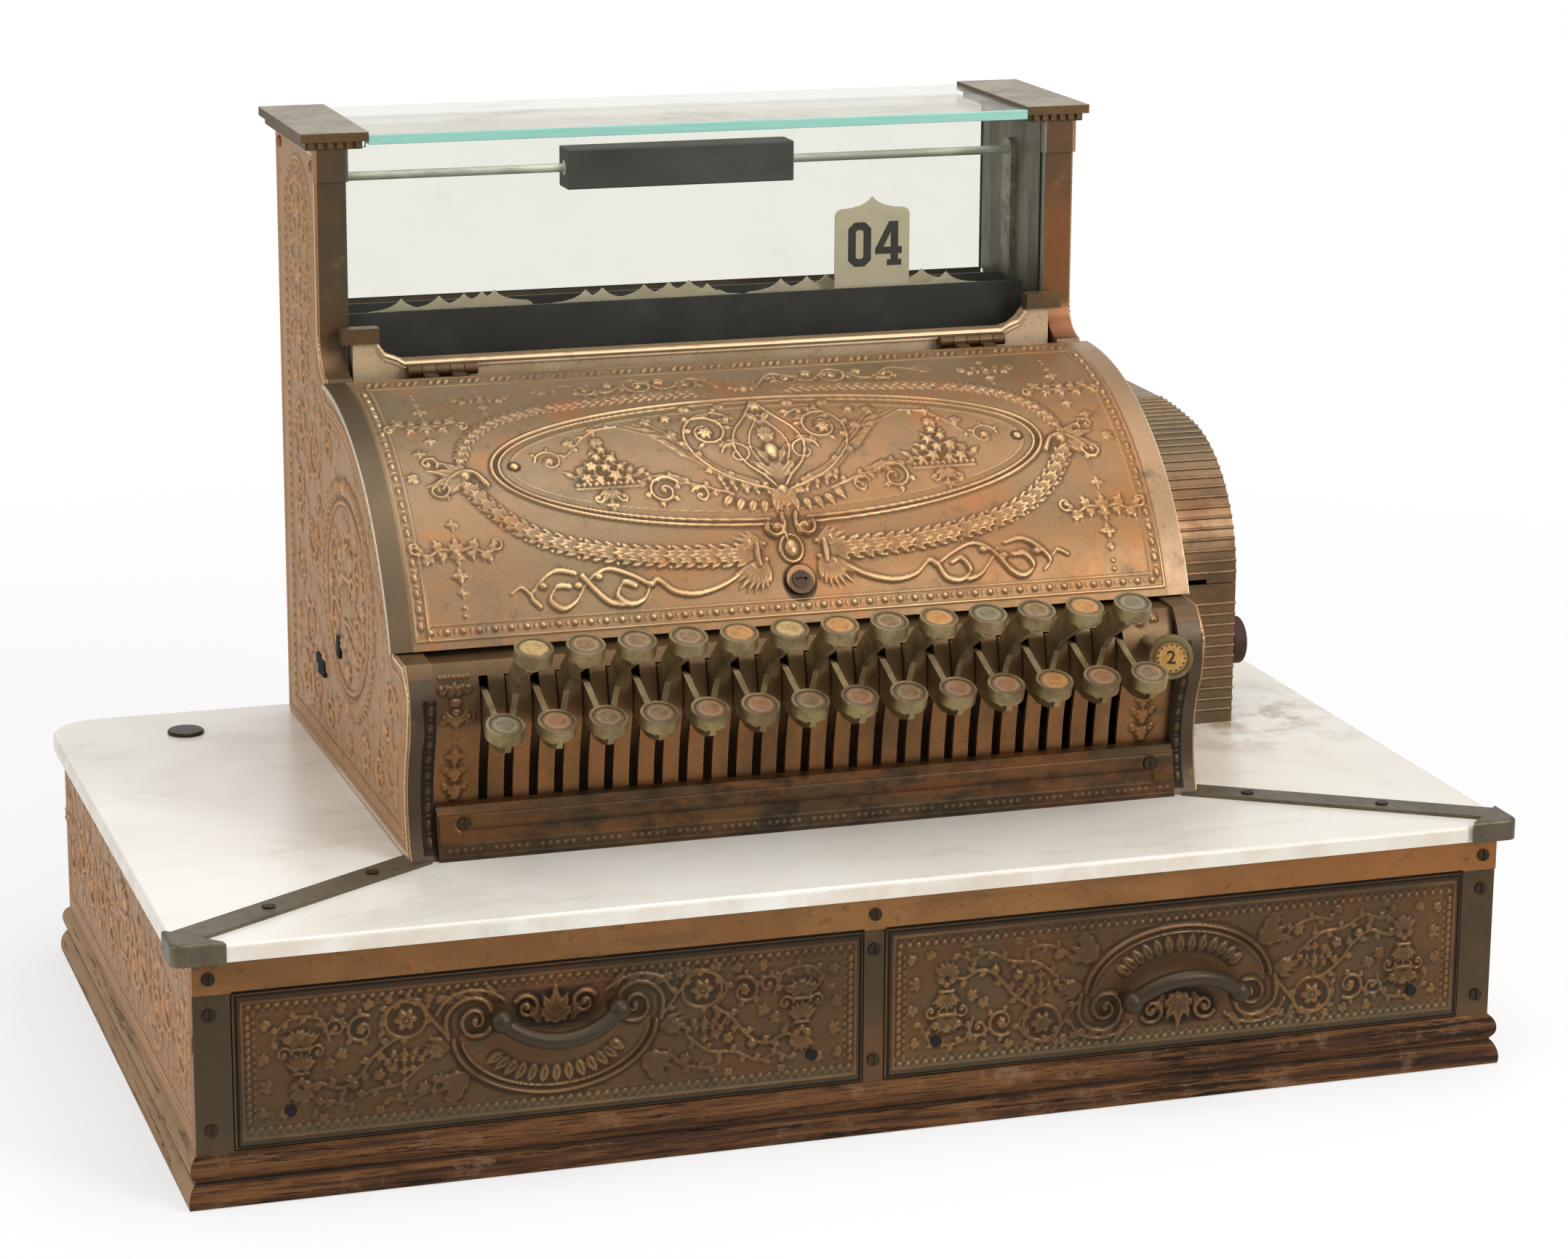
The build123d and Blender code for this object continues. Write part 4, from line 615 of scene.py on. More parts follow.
def paper_finish():
    """Yellowed ticket paper."""
    finish = Finish("ticket_paper")
    fibres = finish.noise(900.0, 3.0, 0.6)
    colour = finish.mix(fibres.clamped(0.4, 0.7), (0.88, 0.85, 0.76), (0.80, 0.76, 0.66))
    return finish.made(Base_Color=colour, Roughness=0.85, Normal=finish.bump(fibres, 0.00004))


def glass_finish():
    """Clear plate glass with a trace of dust, smeared on the top pane."""
    finish = Finish("plate_glass")
    _, _, z = finish.axes()
    dust = finish.noise(22.0, 6.0, 0.7).clamped(0.45, 0.8)
    clear = finish.node("ShaderNodeBsdfTransparent", (), {"Color": (0.965, 0.965, 0.945, 1.0)})
    gloss = finish.surface(Base_Color=(0.76, 0.73, 0.66), Roughness=0.06 + dust * 0.3, Specular_IOR_Level=0.5)
    fresnel = finish.node("ShaderNodeFresnel", (), {"IOR": 1.45})
    share = fresnel * 0.45 + dust * 0.02 + (dust * 0.46 + 0.10) * (z > GLASS_TOP_Z)
    return finish.finished(finish.node("ShaderNodeMixShader", (), [share, clear, gloss]))


def glass_edge_finish():
    """Green polished edge with a faint painted glow, clear when seen from inside the pane."""
    finish = Finish("glass_edge")
    streaks = finish.noise(160.0, 3.0, 0.6, (0.2, 1.0, 6.0))
    colour = finish.mix(streaks, (0.48, 0.73, 0.67), (0.64, 0.82, 0.77))
    # the edge's emission is a painted glow
    edge = finish.surface(
        Base_Color=colour,
        Roughness=0.15 + streaks * 0.1,
        Emission_Color=colour,
        Emission_Strength=0.09,
    )
    inside = finish.node("ShaderNodeNewGeometry", output="Backfacing")
    clear = finish.node("ShaderNodeBsdfTransparent", (), {"Color": (0.98, 0.99, 0.98, 1.0)})
    return finish.finished(finish.node("ShaderNodeMixShader", (), [inside, edge, clear]))


def disc_finish(name, colour, second):
    """Faded paper under a yellowed window, with painted shade round its rim and a thin pale ring."""
    finish = Finish(name)
    ring = finish.attribute("ring")
    blots = finish.noise(240.0, 4.0, 0.6)
    line = 1.0 - ((ring - 0.66).sized() * 14.0).clamped(0.0, 1.0)
    shade = finish.over(
        finish.mix(blots.clamped(0.38, 0.66), colour, second),
        (line * 0.45, (0.78, 0.68, 0.48)),
        # painted shade of the cap's rim on the disc's outer edge
        (ring.clamped(0.76, 0.92) * 0.75, (0.30, 0.24, 0.15)),
    )
    return finish.made(Base_Color=shade, Roughness=0.4, Coat_Weight=0.22, Coat_Roughness=0.2)


DISC_TINTS = {
    "gold": ((0.80, 0.60, 0.27), (0.69, 0.50, 0.24)),
    "cream": ((0.74, 0.61, 0.37), (0.60, 0.46, 0.27)),
    "orange": ((0.75, 0.52, 0.25), (0.62, 0.43, 0.23)),
    "pink": ((0.62, 0.43, 0.27), (0.52, 0.37, 0.23)),
    "brown": ((0.55, 0.42, 0.26), (0.44, 0.34, 0.21)),
    "grey": ((0.48, 0.44, 0.32), (0.40, 0.37, 0.27)),
}


def make_finishes():
    """Every finish, by the name that the pieces use."""
    made = {
        "lid": aged_metal("embossed_lid_brass", "lid", 0.44, 0.62, extra=lid_patina, relief=True),
        "side": aged_metal("embossed_side_brass", "side", 0.46, 0.55, extra=side_patina, relief=True),
        "drawer": aged_metal("embossed_drawer_brass", "drawer", 0.46, 0.6, extra=drawer_patina, relief=True),
        "plate_relief": aged_metal(
            "embossed_plate_brass", "plate", 0.44, 0.6, extra=plate_patina, relief=True
        ),
        "sill_relief": aged_metal("embossed_sill_brass", "sill", 0.46, 0.6, extra=sill_patina, relief=True),
        "beads": aged_metal("bead_brass", "bead", 0.45, 0.6, relief=True),
        "ledge": aged_metal("ledge_brass", "ledge", 0.44, 0.6, relief=True),
        "hinge": aged_metal("hinge_brass", "hinge", 0.45, 0.6),
        "copper": aged_metal("copper_screws", "copper", 0.45, 0.5, 80.0),
        # black paint standing for the shade inside holes and slots
        "hole": paint_finish("screw_hole", (0.05, 0.04, 0.03), (0.09, 0.07, 0.05), 0.8),
        "plain_lid": aged_metal("plain_lid_brass", "lid", 0.42, 0.65, extra=lid_patina),
        "casing": aged_metal("casing_brass", "side", 0.44, 0.6, extra=casing_patina),
        "plain_side": aged_metal("plain_side_brass", "side", 0.42, 0.6, extra=side_patina),
        "plain_drawer": aged_metal("plain_drawer_brass", "drawer", 0.45, 0.6, extra=drawer_patina),
        "rail": aged_metal("rail_brass", "rail", 0.38, 0.65, 22.0, frame_patina),
        "plate": aged_metal("plate_brass", "plate", 0.40, 0.65, 22.0, plate_patina),
        "sill": aged_metal("sill_brass", "sill", 0.44, 0.6, 22.0, sill_patina),
        "cast": aged_metal("cast_brass", "cast", 0.42, 0.65, 24.0, cap_patina),
        "strip": aged_metal("strip_metal", "strip", 0.46, 0.6, 26.0),
        "screw": aged_metal("screw_metal", "screw", 0.42, 0.7, 60.0),
        "key": aged_metal("key_metal", "key", 0.42, 0.62, 60.0),
        "printer": aged_metal("ribbed_brass", "printer", 0.40, 0.65, 20.0, printer_patina),
        "iron": aged_metal("works_iron", "iron", 0.5, 0.7, 30.0, iron_patina),
        "back": aged_metal("back_metal", "back", 0.55, 0.6, 16.0),
        "marble": marble_finish(),
        "oak": oak_finish(),
        "board": board_finish(),
        "black": paint_finish("black_paint", (0.15, 0.16, 0.16), (0.27, 0.28, 0.27), 0.42),
        "slate": slate_finish(),
        "cream": paint_finish("cream_enamel", (0.83, 0.79, 0.68), (0.76, 0.71, 0.59), 0.35),
        "plastic": paint_finish("dark_moulding", (0.20, 0.09, 0.05), (0.31, 0.17, 0.10), 0.55),
        "ink": paint_finish("faded_ink", (0.20, 0.17, 0.13), (0.34, 0.28, 0.21), 0.5),
        "paper": paper_finish(),
        "glass": glass_finish(),
        "glass_edge": glass_edge_finish(),
    }
    for tint, shades in DISC_TINTS.items():
        made[f"{tint}_disc"] = disc_finish(f"{tint}_disc", *shades)
    return made


FINISHES = {}

# every node that isn't named here is a key
NODE_FINISH = {
    "plinth_moulding": "oak",
    "carcass": "board",
    "base_panels": "plain_side",
    "front_frame": "rail",
    "marble_slabs": "marble",
    "shelf_strips": "strip",
    "fasteners": "screw",
    "case_side_left": "casing",
    "case_side_right": "casing",
    "case_back": "back",
    "key_plate": "plate",
    "key_sill": "sill",
    "window_sill": "cast",
    "column_caps": "cast",
    "glass_panes": "glass",
    "indicator_trough": "black",
    "flags_lowered": "cream",
    "flag_raised": "cream",
    "sign_bar": "slate",
    "front_lid": "plain_lid",
    "lid_hinges": "hinge",
    "lid_lock": "screw",
    "printer_case": "printer",
    "printer_cover": "printer",
    "printer_knob": "plastic",
    "ticket_roll": "paper",
    "works_frame": "iron",
    "adding_wheels": "iron",
    "drawer_left_front": "plain_drawer",
    "drawer_right_front": "plain_drawer",
    "drawer_left_box": "board",
    "drawer_right_box": "board",
}


# ---- relief drawing ------------------------------------------------------------------

def smooth_line(points, steps=8):
    """Points on a smooth curve through the given ones."""
    knots = np.array([points[0], *points, points[-1]], float)
    line = []
    for a, b, c, d in zip(knots, knots[1:], knots[2:], knots[3:]):
        bend, twist = 2 * a - 5 * b + 4 * c - d, 3 * b - a - 3 * c + d
        for t in np.linspace(0, 1, steps, endpoint=False):
            line.append(0.5 * (2 * b + (c - a) * t + bend * t**2 + twist * t**3))
    return np.array([*line, knots[-1]])


def oval_line(centre, ru, rv, start=0, end=360, steps=60):
    """Points on part of an oval; angles in degrees from +u towards +v."""
    turn = np.radians(np.linspace(start, end, steps))
    return np.stack([centre[0] + ru * np.cos(turn), centre[1] + rv * np.sin(turn)], 1)


def spiral_line(centre, radius, start, turns, hand=1, steps=44):
    """Points on a spiral that closes on its centre."""
    share = np.linspace(0, 1, steps)
    turn = np.radians(start) + hand * 2 * np.pi * turns * share
    reach = radius * (1 - share) ** 0.8
    return np.stack([centre[0] + reach * np.cos(turn), centre[1] + reach * np.sin(turn)], 1)


def arc_line(start, middle, end, steps=14):
    """Points on the circle arc through three points."""
    (ax, ay), (bx, by), (cx, cy) = start, middle, end
    d = 2 * (ax * (by - cy) + bx * (cy - ay) + cx * (ay - by))
    a2, b2, c2 = ax * ax + ay * ay, bx * bx + by * by, cx * cx + cy * cy
    ox = (a2 * (by - cy) + b2 * (cy - ay) + c2 * (ay - by)) / d
    oy = (a2 * (cx - bx) + b2 * (ax - cx) + c2 * (bx - ax)) / d
    turns = np.unwrap([math.atan2(y - oy, x - ox) for x, y in (start, middle, end)])
    sweep = np.linspace(turns[0], turns[2], steps)
    radius = math.hypot(ax - ox, ay - oy)
    return np.stack([ox + radius * np.cos(sweep), oy + radius * np.sin(sweep)], 1)


class Relief:
    """A height field in millimetres over a flat pattern, u to the right and v up."""

    side = 1

    def __init__(self, u_range, v_range, pitch):
        self.u = np.linspace(*u_range, round((u_range[1] - u_range[0]) / pitch) + 1)
        self.v = np.linspace(*v_range, round((v_range[1] - v_range[0]) / pitch) + 1)
        self.base = np.zeros((len(self.v), len(self.u)))
        self.art = self.base.copy()
        # darkening from dirt and painted shade; below nought, a pale painted highlight
        self.grime = self.base.copy()

    def everywhere(self):
        """u and v of every point."""
        return np.meshgrid(self.u, self.v)

    def seen_from(self, at, size=1.0, side=1, up=1):
        """The same field from another point, in other units, or with u or v turned round."""
        view = copy.copy(self)
        columns, rows = slice(None, None, side), slice(None, None, up)
        view.u = (side * (self.u - at[0]) / size)[columns]
        view.v = (up * (self.v - at[1]) / size)[rows]
        view.art = self.art[rows, columns]
        view.side = self.side * side
        return view

    def halves(self, at=(0, 0)):
        """The field to the left and to the right of a point, u outward in both."""
        return [self.seen_from(at, side=side) for side in (-1, 1)]

    def near(self, at, reach):
        """The part of the field within reach of a point, and its offsets from the point."""
        i = np.searchsorted(self.u, (at[0] - reach, at[0] + reach))
        j = np.searchsorted(self.v, (at[1] - reach, at[1] + reach))
        u, v = np.meshgrid(self.u[slice(*i)] - at[0], self.v[slice(*j)] - at[1])
        return (slice(*j), slice(*i)), u, v

    def lift(self, height, window=np.s_[:, :]):
        """Raises what is lower than a height."""
        self.art[window] = np.maximum(self.art[window], height)

    def soil(self, share):
        """Darkens with dirt and painted shade what is cleaner than a share."""
        self.grime = np.maximum(self.grime, share)

    def dome(self, at, ru, rv=None, height=1.0, turn=0.0):
        """A round or oval bead."""
        rv = rv or ru
        window, u, v = self.near(at, max(ru, rv))
        c, s = math.cos(math.radians(turn)), math.sin(math.radians(turn))
        square = ((u * c + v * s) / ru) ** 2 + ((v * c - u * s) / rv) ** 2
        self.lift(height * np.sqrt(np.clip(1 - square, 0, 1)), window)

    def cord(self, line, width, height=1.0, tip=1.0, flat=0.5):
        """A rounded rib along a line; tip is its width and height at the far end, as a share."""
        line = np.asarray(line, float)
        count = len(line) - 1
        for i in range(count):
            start, end = line[i], line[i + 1]
            run = end - start
            length = np.hypot(*run)
            if length < 1e-6:
                continue
            window, u, v = self.near((start + end) / 2, length / 2 + width)
            u = u + run[0] / 2
            v = v + run[1] / 2
            along = np.clip((u * run[0] + v * run[1]) / length**2, 0, 1)
            away = np.hypot(u - along * run[0], v - along * run[1])
            size = 1 + (tip - 1) * (i + along) / count
            profile = np.clip(1 - (away / (width / 2 * size)) ** 2, 0, 1) ** flat
            self.lift(height * (0.4 + 0.6 * size) * profile, window)

    def leaf(self, at, angle, length, width, height=1.0, lobes=3, rise=0.0):
        """A pointed leaf with a vein, growing from a point; rise lifts its tip over what lies ahead."""
        window, u, v = self.near(at, length + width / 2)
        c, s = math.cos(math.radians(angle)), math.sin(math.radians(angle))
        along = (u * c + v * s) / length
        side = v * c - u * s
        held = np.clip(along, 0, 1)
        half = width / 2 * np.sin(np.pi * held**0.75) * (1 + 0.22 * np.cos(2 * np.pi * lobes * held))
        body = np.clip(1 - (side / np.maximum(half, 1e-3)) ** 2, 0, 1) ** 0.5
        vein = 1 - 0.45 * np.exp(-(side / (0.12 * width)) ** 2)
        inside = (along > 0) & (along < 1)
        crest = (1 - rise) * (0.55 + 0.45 * np.sin(np.pi * held)) + rise * (0.10 + 0.90 * held)
        self.lift(height * body * vein * crest * inside, window)

    def fan(self, at, angles, *shape):
        """Equal leaves from one point."""
        for angle in angles:
            self.leaf(at, angle, *shape)

    def spray(self, at, angle, length, width, spread, count, height=1.0):
        """Leaves fanned out from a point, the middle ones longest."""
        for share in np.linspace(-1, 1, count):
            reach = length * (1 - 0.32 * share**2)
            self.leaf(at, angle + share * spread / 2, reach, width, height)

    def flower(self, at, radius, petals=5, height=1.0, turn=0.0):
        """A round of petals with a bead in the middle; it isn't turned round in a mirrored view."""
        window, u, v = self.near(at, radius)
        away = np.hypot(u, v)
        around = np.arctan2(v, self.side * u) + math.radians(turn)
        rim = radius * (0.66 + 0.34 * np.abs(np.cos(petals * around / 2)))
        share = np.clip(away / rim, 0, 1)
        self.lift(height * np.sin(np.pi * share) ** 0.6 * (share < 1), window)
        self.dome(at, radius * 0.3, height=height * 1.25)

    def scroll(self, at, radius, start, hand=1, turns=1.35, width=2.2, height=1.0, leaves=3):
        """A spiral rib with a bead at its eye and small leaves along its back."""
        line = spiral_line(at, radius, start, turns, hand)
        self.cord(line, width, height, tip=0.55)
        self.dome(at, width * 0.75, height=height * 1.15)
        for point in line[2:2 + leaves * 5:5]:
            outward = math.degrees(math.atan2(point[1] - at[1], point[0] - at[0]))
            self.leaf(point, outward + hand * 38, radius * 0.62, width * 1.5, height * 0.85, 2)

    def thicket(self, seed, low, high, step, size, height=1.0):
        """Fills a rectangle with leaves, flowers and curls, each a little off an even grid."""
        chance = np.random.default_rng(seed)
        for u in np.arange(low[0] + step / 2, high[0], step):
            for v in np.arange(low[1] + step / 2, high[1], step):
                at = (u + chance.uniform(-0.3, 0.3) * step, v + chance.uniform(-0.3, 0.3) * step)
                turn = chance.uniform(0, 360)
                kind = chance.integers(6)
                if kind == 0:
                    self.flower(at, size * 0.30, 6, height, turn)
                elif kind == 1:
                    self.scroll(at, size * 0.40, turn, 1 if turn > 180 else -1, 1.2, size * 0.17, height, 3)
                elif kind < 4:
                    self.spray(at, turn, size * 0.75, size * 0.27, 120, 5, height)
                else:
                    self.leaf(at, turn, size * 0.95, size * 0.34, height, 3)
                    self.leaf(at, turn + 140, size * 0.7, size * 0.28, height, 2)
                    self.dome(at, size * 0.13, height=height * 1.1)

    def vine(self, points, width=2.0, height=0.9, leaf=7.0, every=9):
        """A wavy stem with leaves on alternate sides; the first leaf's side isn't mirrored."""
        line = smooth_line(points)
        self.cord(line, width, height, tip=0.6)
        for k, i in enumerate(range(every // 2, len(line) - 2, every)):
            run = line[i + 1] - line[i]
            angle = math.degrees(math.atan2(run[1], run[0]))
            self.leaf(line[i], angle + self.side * (48 if k % 2 else -48), leaf, leaf * 0.5, height, 2)

    def garland(self, points, width, height=1.3, step=6.4):
        """A swag of laurel: overlapping bundles of five leaves, with berries at its edges."""
        line = smooth_line(points, 14)
        run = np.cumsum([0, *np.hypot(*np.diff(line, axis=0).T)])
        self.cord(line, width * 0.7, height * 0.25, tip=0.8)
        for distance in np.arange(step * 0.3, run[-1] - step, step):
            i = max(1, int(np.searchsorted(run, distance)))
            ahead = line[min(i + 1, len(line) - 1)] - line[i - 1]
            angle = math.degrees(math.atan2(ahead[1], ahead[0]))
            size = width * (1 - 0.25 * distance / run[-1])
            for turn, reach in ((-44, 0.85), (44, 0.85), (-16, 1.0), (16, 1.0), (0, 1.15)):
                tall = height * (1.6 - abs(turn) / 80)
                self.leaf(line[i], angle + turn, size * reach, size * 0.36, tall, 0, 1.0)
            normal = np.array([-ahead[1], ahead[0]]) / max(np.hypot(*ahead), 1e-6)
            for side in (-1, 1):
                self.dome(line[i] + side * normal * size * 0.5, size * 0.1, height=height * 0.6)

    def ribbon(self, points, width, height=1.0, pen=55.0):
        """A ribbon as a broad pen draws it, thin along the pen's angle; that angle isn't mirrored."""
        line = smooth_line(points, 10)
        held = math.radians(90 - self.side * (90 - pen))
        for start, end in zip(line, line[1:]):
            turn = math.atan2(end[1] - start[1], end[0] - start[0]) - held
            broad = 0.24 + 0.76 * abs(math.sin(turn))
            self.cord([start, end], width * broad, height * (0.55 + 0.45 * broad), flat=0.28)

    def cross(self, at, size, height=1.0):
        """Four buds round a bead."""
        self.fan(at, (0, 90, 180, 270), 5.6 * size, 3.0 * size, height * 0.9, 0)
        self.dome(at, 1.6 * size, height=height)

    def fleuron(self, at, size, up=1, height=1.0):
        """Two curling wings of buds under a cross, over a drop of buds and beads."""
        motif = self.seen_from(at, size, up=up)
        for wing in motif.halves():
            wing.cord(smooth_line([(0, 0), (7, 2.2), (13, -0.6), (18, 0.6)]), 1.5, height * 0.7)
            wing.scroll((19, 3.6), 3.4, -100, 1, 1.2, 1.5, height, 0)
            wing.spray((12.5, -0.4), -58, 7.5, 3.1, 80, 3, height)
            wing.spray((6.5, 1.0), -78, 6.5, 2.9, 60, 3, height)
            wing.spray((8, 2.4), 66, 6.5, 2.8, 80, 3, height)
            wing.leaf((15, 0.8), 40, 5.5, 2.4, height * 0.9, 0)
            wing.dome((16, -3.6), 1.2, height=height * 0.8)
        motif.spray((0, 0), 90, 9.5, 3.6, 66, 3, height)
        motif.dome((0, 0), 2.5, height=height * 1.2)
        motif.cross((0, 14.5), 0.7, height * 0.9)
        motif.spray((0, 0), -90, 7.5, 3.2, 90, 3, height * 0.9)
        motif.cross((0, -11.5), 0.85, height)
        motif.cross((0, -19.5), 0.5, height * 0.8)
        for v in (-26.5, -30.5):
            motif.dome((0, v), 0.95, height=height * 0.7)

    def vase(self, at, size, height=1.2):
        """A fluted urn with handles, a foot and a bunch of leaves and flowers."""
        motif = self.seen_from(at, size)
        for k in range(-3, 4):
            motif.leaf((k * 0.4, -7), 90 - k * 17, 12 - abs(k), 4, height, 1)
        motif.cord([(-5, 5), (5, 5)], 2.0, height)
        motif.cord([(-4, -8.5), (4, -8.5)], 1.8, height * 0.9)
        motif.dome((0, -12), 2.0, height=height * 0.8)
        for half in motif.halves():
            half.scroll((9, 3), 4.2, 180, -1, 1.2, 1.7, height * 0.9, 1)
            half.leaf((0, 6), 32, 13, 5, height * 0.9)
            half.leaf((0, 6), 62, 12, 4.5, height)
            half.flower((6.5, 11), 3.0, 5, height)
            half.leaf((0, -12), -42, 9, 4, height * 0.8, 2)
        motif.flower((0, 13), 3.6, 6, height * 1.1)

    def bead_row(self, start, end, pitch, ru, rv=None, height=0.8):
        """Beads from one point to another."""
        start, end = np.array(start, float), np.array(end, float)
        count = max(1, round(np.hypot(*(end - start)) / pitch))
        for k in range(count + 1):
            self.dome(start + (end - start) * k / count, ru, rv, height)

    def frame_lines(self, low, high, width=1.2, height=0.5):
        """A thin raised line round a rectangle."""
        corners = [low, (high[0], low[1]), high, (low[0], high[1]), low]
        self.cord(corners, width, height)

    def settle(self, scale=1.0):
        """Works out the finished heights, and how far each point stands above its surroundings."""
        field = self.base + self.art * scale
        for axis in (0, 1):
            field = 0.72 * field + 0.14 * (np.roll(field, 1, axis) + np.roll(field, -1, axis))
        self.field = field
        close = (field - self.blurred(field, 0.9)) / 0.34
        wide = (field - self.blurred(field, 2.6)) / 0.95
        self.worn = np.clip(0.6 * close + 0.6 * wide, -1, 1)
        return self

    def blurred(self, field, reach):
        """The field averaged over its surroundings, reach in millimetres."""
        step = max(1, round(reach / (self.u[1] - self.u[0])))
        for _ in range(2):
            for axis in (0, 1):
                field = (field + np.roll(field, step, axis) + np.roll(field, -step, axis)) / 3
        return field

    def part(self, low, high):
        """The columns of a settled relief between two shares of its width."""
        count = len(self.u) - 1
        columns = slice(round(count * low), round(count * high) + 1)
        piece = copy.copy(self)
        piece.u = self.u[columns]
        piece.field, piece.worn, piece.grime = (f[:, columns] for f in (self.field, self.worn, self.grime))
        return piece


# ---- mesh making ---------------------------------------------------------------------

SKIN = 0.08               # how far an embossed sheet's ground stands off the casting under it
SHEET_BACK = 0.4          # how far its back lies inside that casting


def alone(piece=None):
    """Leaves only one piece selected and active, in object mode."""
    if bpy.context.mode != "OBJECT":
        bpy.ops.object.mode_set(mode="OBJECT")
    bpy.ops.object.select_all(action="DESELECT")
    if piece:
        piece.select_set(True)
        bpy.context.view_layer.objects.active = piece


def named(name):
    """The new active piece, given its name."""
    piece = bpy.context.object
    piece.name = name
    piece.data.name = name
    return piece


def points_of(piece):
    """The piece's points as rows."""
    points = np.empty(len(piece.data.vertices) * 3)
    piece.data.vertices.foreach_get("co", points)
    return points.reshape(-1, 3)


def set_points(piece, points):
    """Moves every point of the piece."""
    piece.data.vertices.foreach_set("co", np.asarray(points, float).ravel())
    piece.data.update()


def note(piece, label, values):
    """Keeps one number per point under a name."""
    attribute = piece.data.attributes.new(label, "FLOAT", "POINT")
    attribute.data.foreach_set("value", values.astype(np.float32))


def dress(piece, finish):
    """Gives a piece one finish."""
    piece.data.materials.clear()
    piece.data.materials.append(FINISHES[finish])


def cube(name):
    """A new unit cube."""
    alone()
    bpy.ops.mesh.primitive_cube_add(size=1)
    return named(name)


def sized(piece, sizes, middle):
    """Stretches a unit piece and puts it in its place, in millimetres."""
    set_points(piece, (points_of(piece) * sizes + middle) * MM)


def rounded(piece, width, **limits):
    """Takes the edges off a piece."""
    bevel = piece.modifiers.new("arris", "BEVEL")
    bevel.width = width
    bevel.segments = 2
    for key, value in limits.items():
        setattr(bevel, key, value)
    bpy.ops.object.modifier_apply(modifier=bevel.name)


def closed():
    """Turns the faces of the piece in edit mode outward and goes back to object mode."""
    bpy.ops.mesh.select_all(action="SELECT")
    bpy.ops.mesh.normals_make_consistent(inside=False)
    bpy.ops.object.mode_set(mode="OBJECT")


def relief_sheet(name, body, art, place, finish, cuts=0, keep=None):
    """A closed embossed sheet: a flat grid with its edge turned in and backed, laid on its surface.

    place gives world points in millimetres from u, v and height. keep picks the grid's faces by their
    middles. cuts parts the flat back so that it can follow a curve."""
    rows, columns = art.field.shape
    alone()
    bpy.ops.mesh.primitive_grid_add(x_subdivisions=columns - 1, y_subdivisions=rows - 1, size=1)
    piece = named(name)
    span = np.array([art.u[-1] - art.u[0], art.v[-1] - art.v[0], 1.0])
    flat = points_of(piece)
    flat[:, :2] += 0.5
    set_points(piece, flat * span + [art.u[0], art.v[0], 0.0])
    bpy.ops.object.mode_set(mode="EDIT")
    if keep:
        select_faces(piece, lambda middles: ~keep(middles[:, 0], middles[:, 1]))
        bpy.ops.mesh.delete(type="FACE")
    bpy.ops.mesh.select_mode(type="EDGE")
    bpy.ops.mesh.select_all(action="SELECT")
    bpy.ops.mesh.region_to_loop()
    bpy.ops.mesh.mark_sharp()
    bpy.ops.mesh.extrude_region_move(TRANSFORM_OT_translate={"value": (0, 0, -1)})
    bpy.ops.mesh.edge_face_add()
    for k in range(1, cuts):
        v = art.v[0] + span[1] * k / cuts
        select_faces(piece, lambda middles: middles[:, 2] < -0.99)
        bpy.ops.mesh.bisect(plane_co=(0, v, 0), plane_no=(0, 1, 0))
    bpy.ops.object.mode_set(mode="OBJECT")
    lay(piece, art, place)
    bpy.ops.object.mode_set(mode="EDIT")
    closed()
    bpy.ops.object.shade_smooth()
    dress(piece, finish)
    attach(piece, body)


def select_faces(piece, chosen):
    """Selects only the faces whose middles are chosen, in edit mode."""
    bpy.ops.mesh.select_mode(type="FACE")
    bpy.ops.mesh.select_all(action="DESELECT")
    bpy.ops.object.mode_set(mode="OBJECT")
    middles = np.empty(len(piece.data.polygons) * 3)
    piece.data.polygons.foreach_get("center", middles)
    piece.data.polygons.foreach_set("select", chosen(middles.reshape(-1, 3)))
    bpy.ops.object.mode_set(mode="EDIT")


def lay(piece, art, place):
    """Lifts the flat sheet by its height field and lays it on its surface."""
    flat = points_of(piece)
    u, v, back = flat[:, 0], flat[:, 1], flat[:, 2] < -0.5
    columns, rows = (
        np.clip(np.rint((values - grid[0]) / (grid[1] - grid[0])).astype(int), 0, len(grid) - 1)
        for values, grid in ((u, art.u), (v, art.v))
    )
    height = np.where(back, -SHEET_BACK, SKIN + art.field[rows, columns])
    set_points(piece, np.stack(place(u, v, height), 1) * MM)
    for label, values in (("wear", art.worn), ("grime", art.grime)):
        note(piece, label, np.where(back, 0.0, values[rows, columns]))


def on_lid(u, v, height):
    """World point of the lid's pattern: v runs up its curve from the front edge."""
    turn = LID_START + v / LID_RADIUS
    radius = LID_RADIUS + height
    return u, LID_CENTRE[0] - radius * np.cos(turn), LID_CENTRE[1] + radius * np.sin(turn)


def on_profile(line):
    """Placer on a surface that runs along x with the profile given as (y, z); v is the height z."""
    line = np.asarray(line)
    slopes = np.gradient(line[:, 0], line[:, 1])

    def place(u, v, height):
        slope = np.interp(v, line[:, 1], slopes)
        size = np.sqrt(1 + slope**2)
        return u, np.interp(v, line[:, 1], line[:, 0]) - height / size, v + height * slope / size
    return place


CASING_FOOT = ((-108.0, 137.5), (-100.5, 165.0), (-107.0, 200.0))
CASING_SHOULDER = [(-107.0, 200.0), (-110.2, 215.0), (-110.6, 228.0)]
SILL_LINE = ((-110.5, 137.5), (-106.0, 162.0))


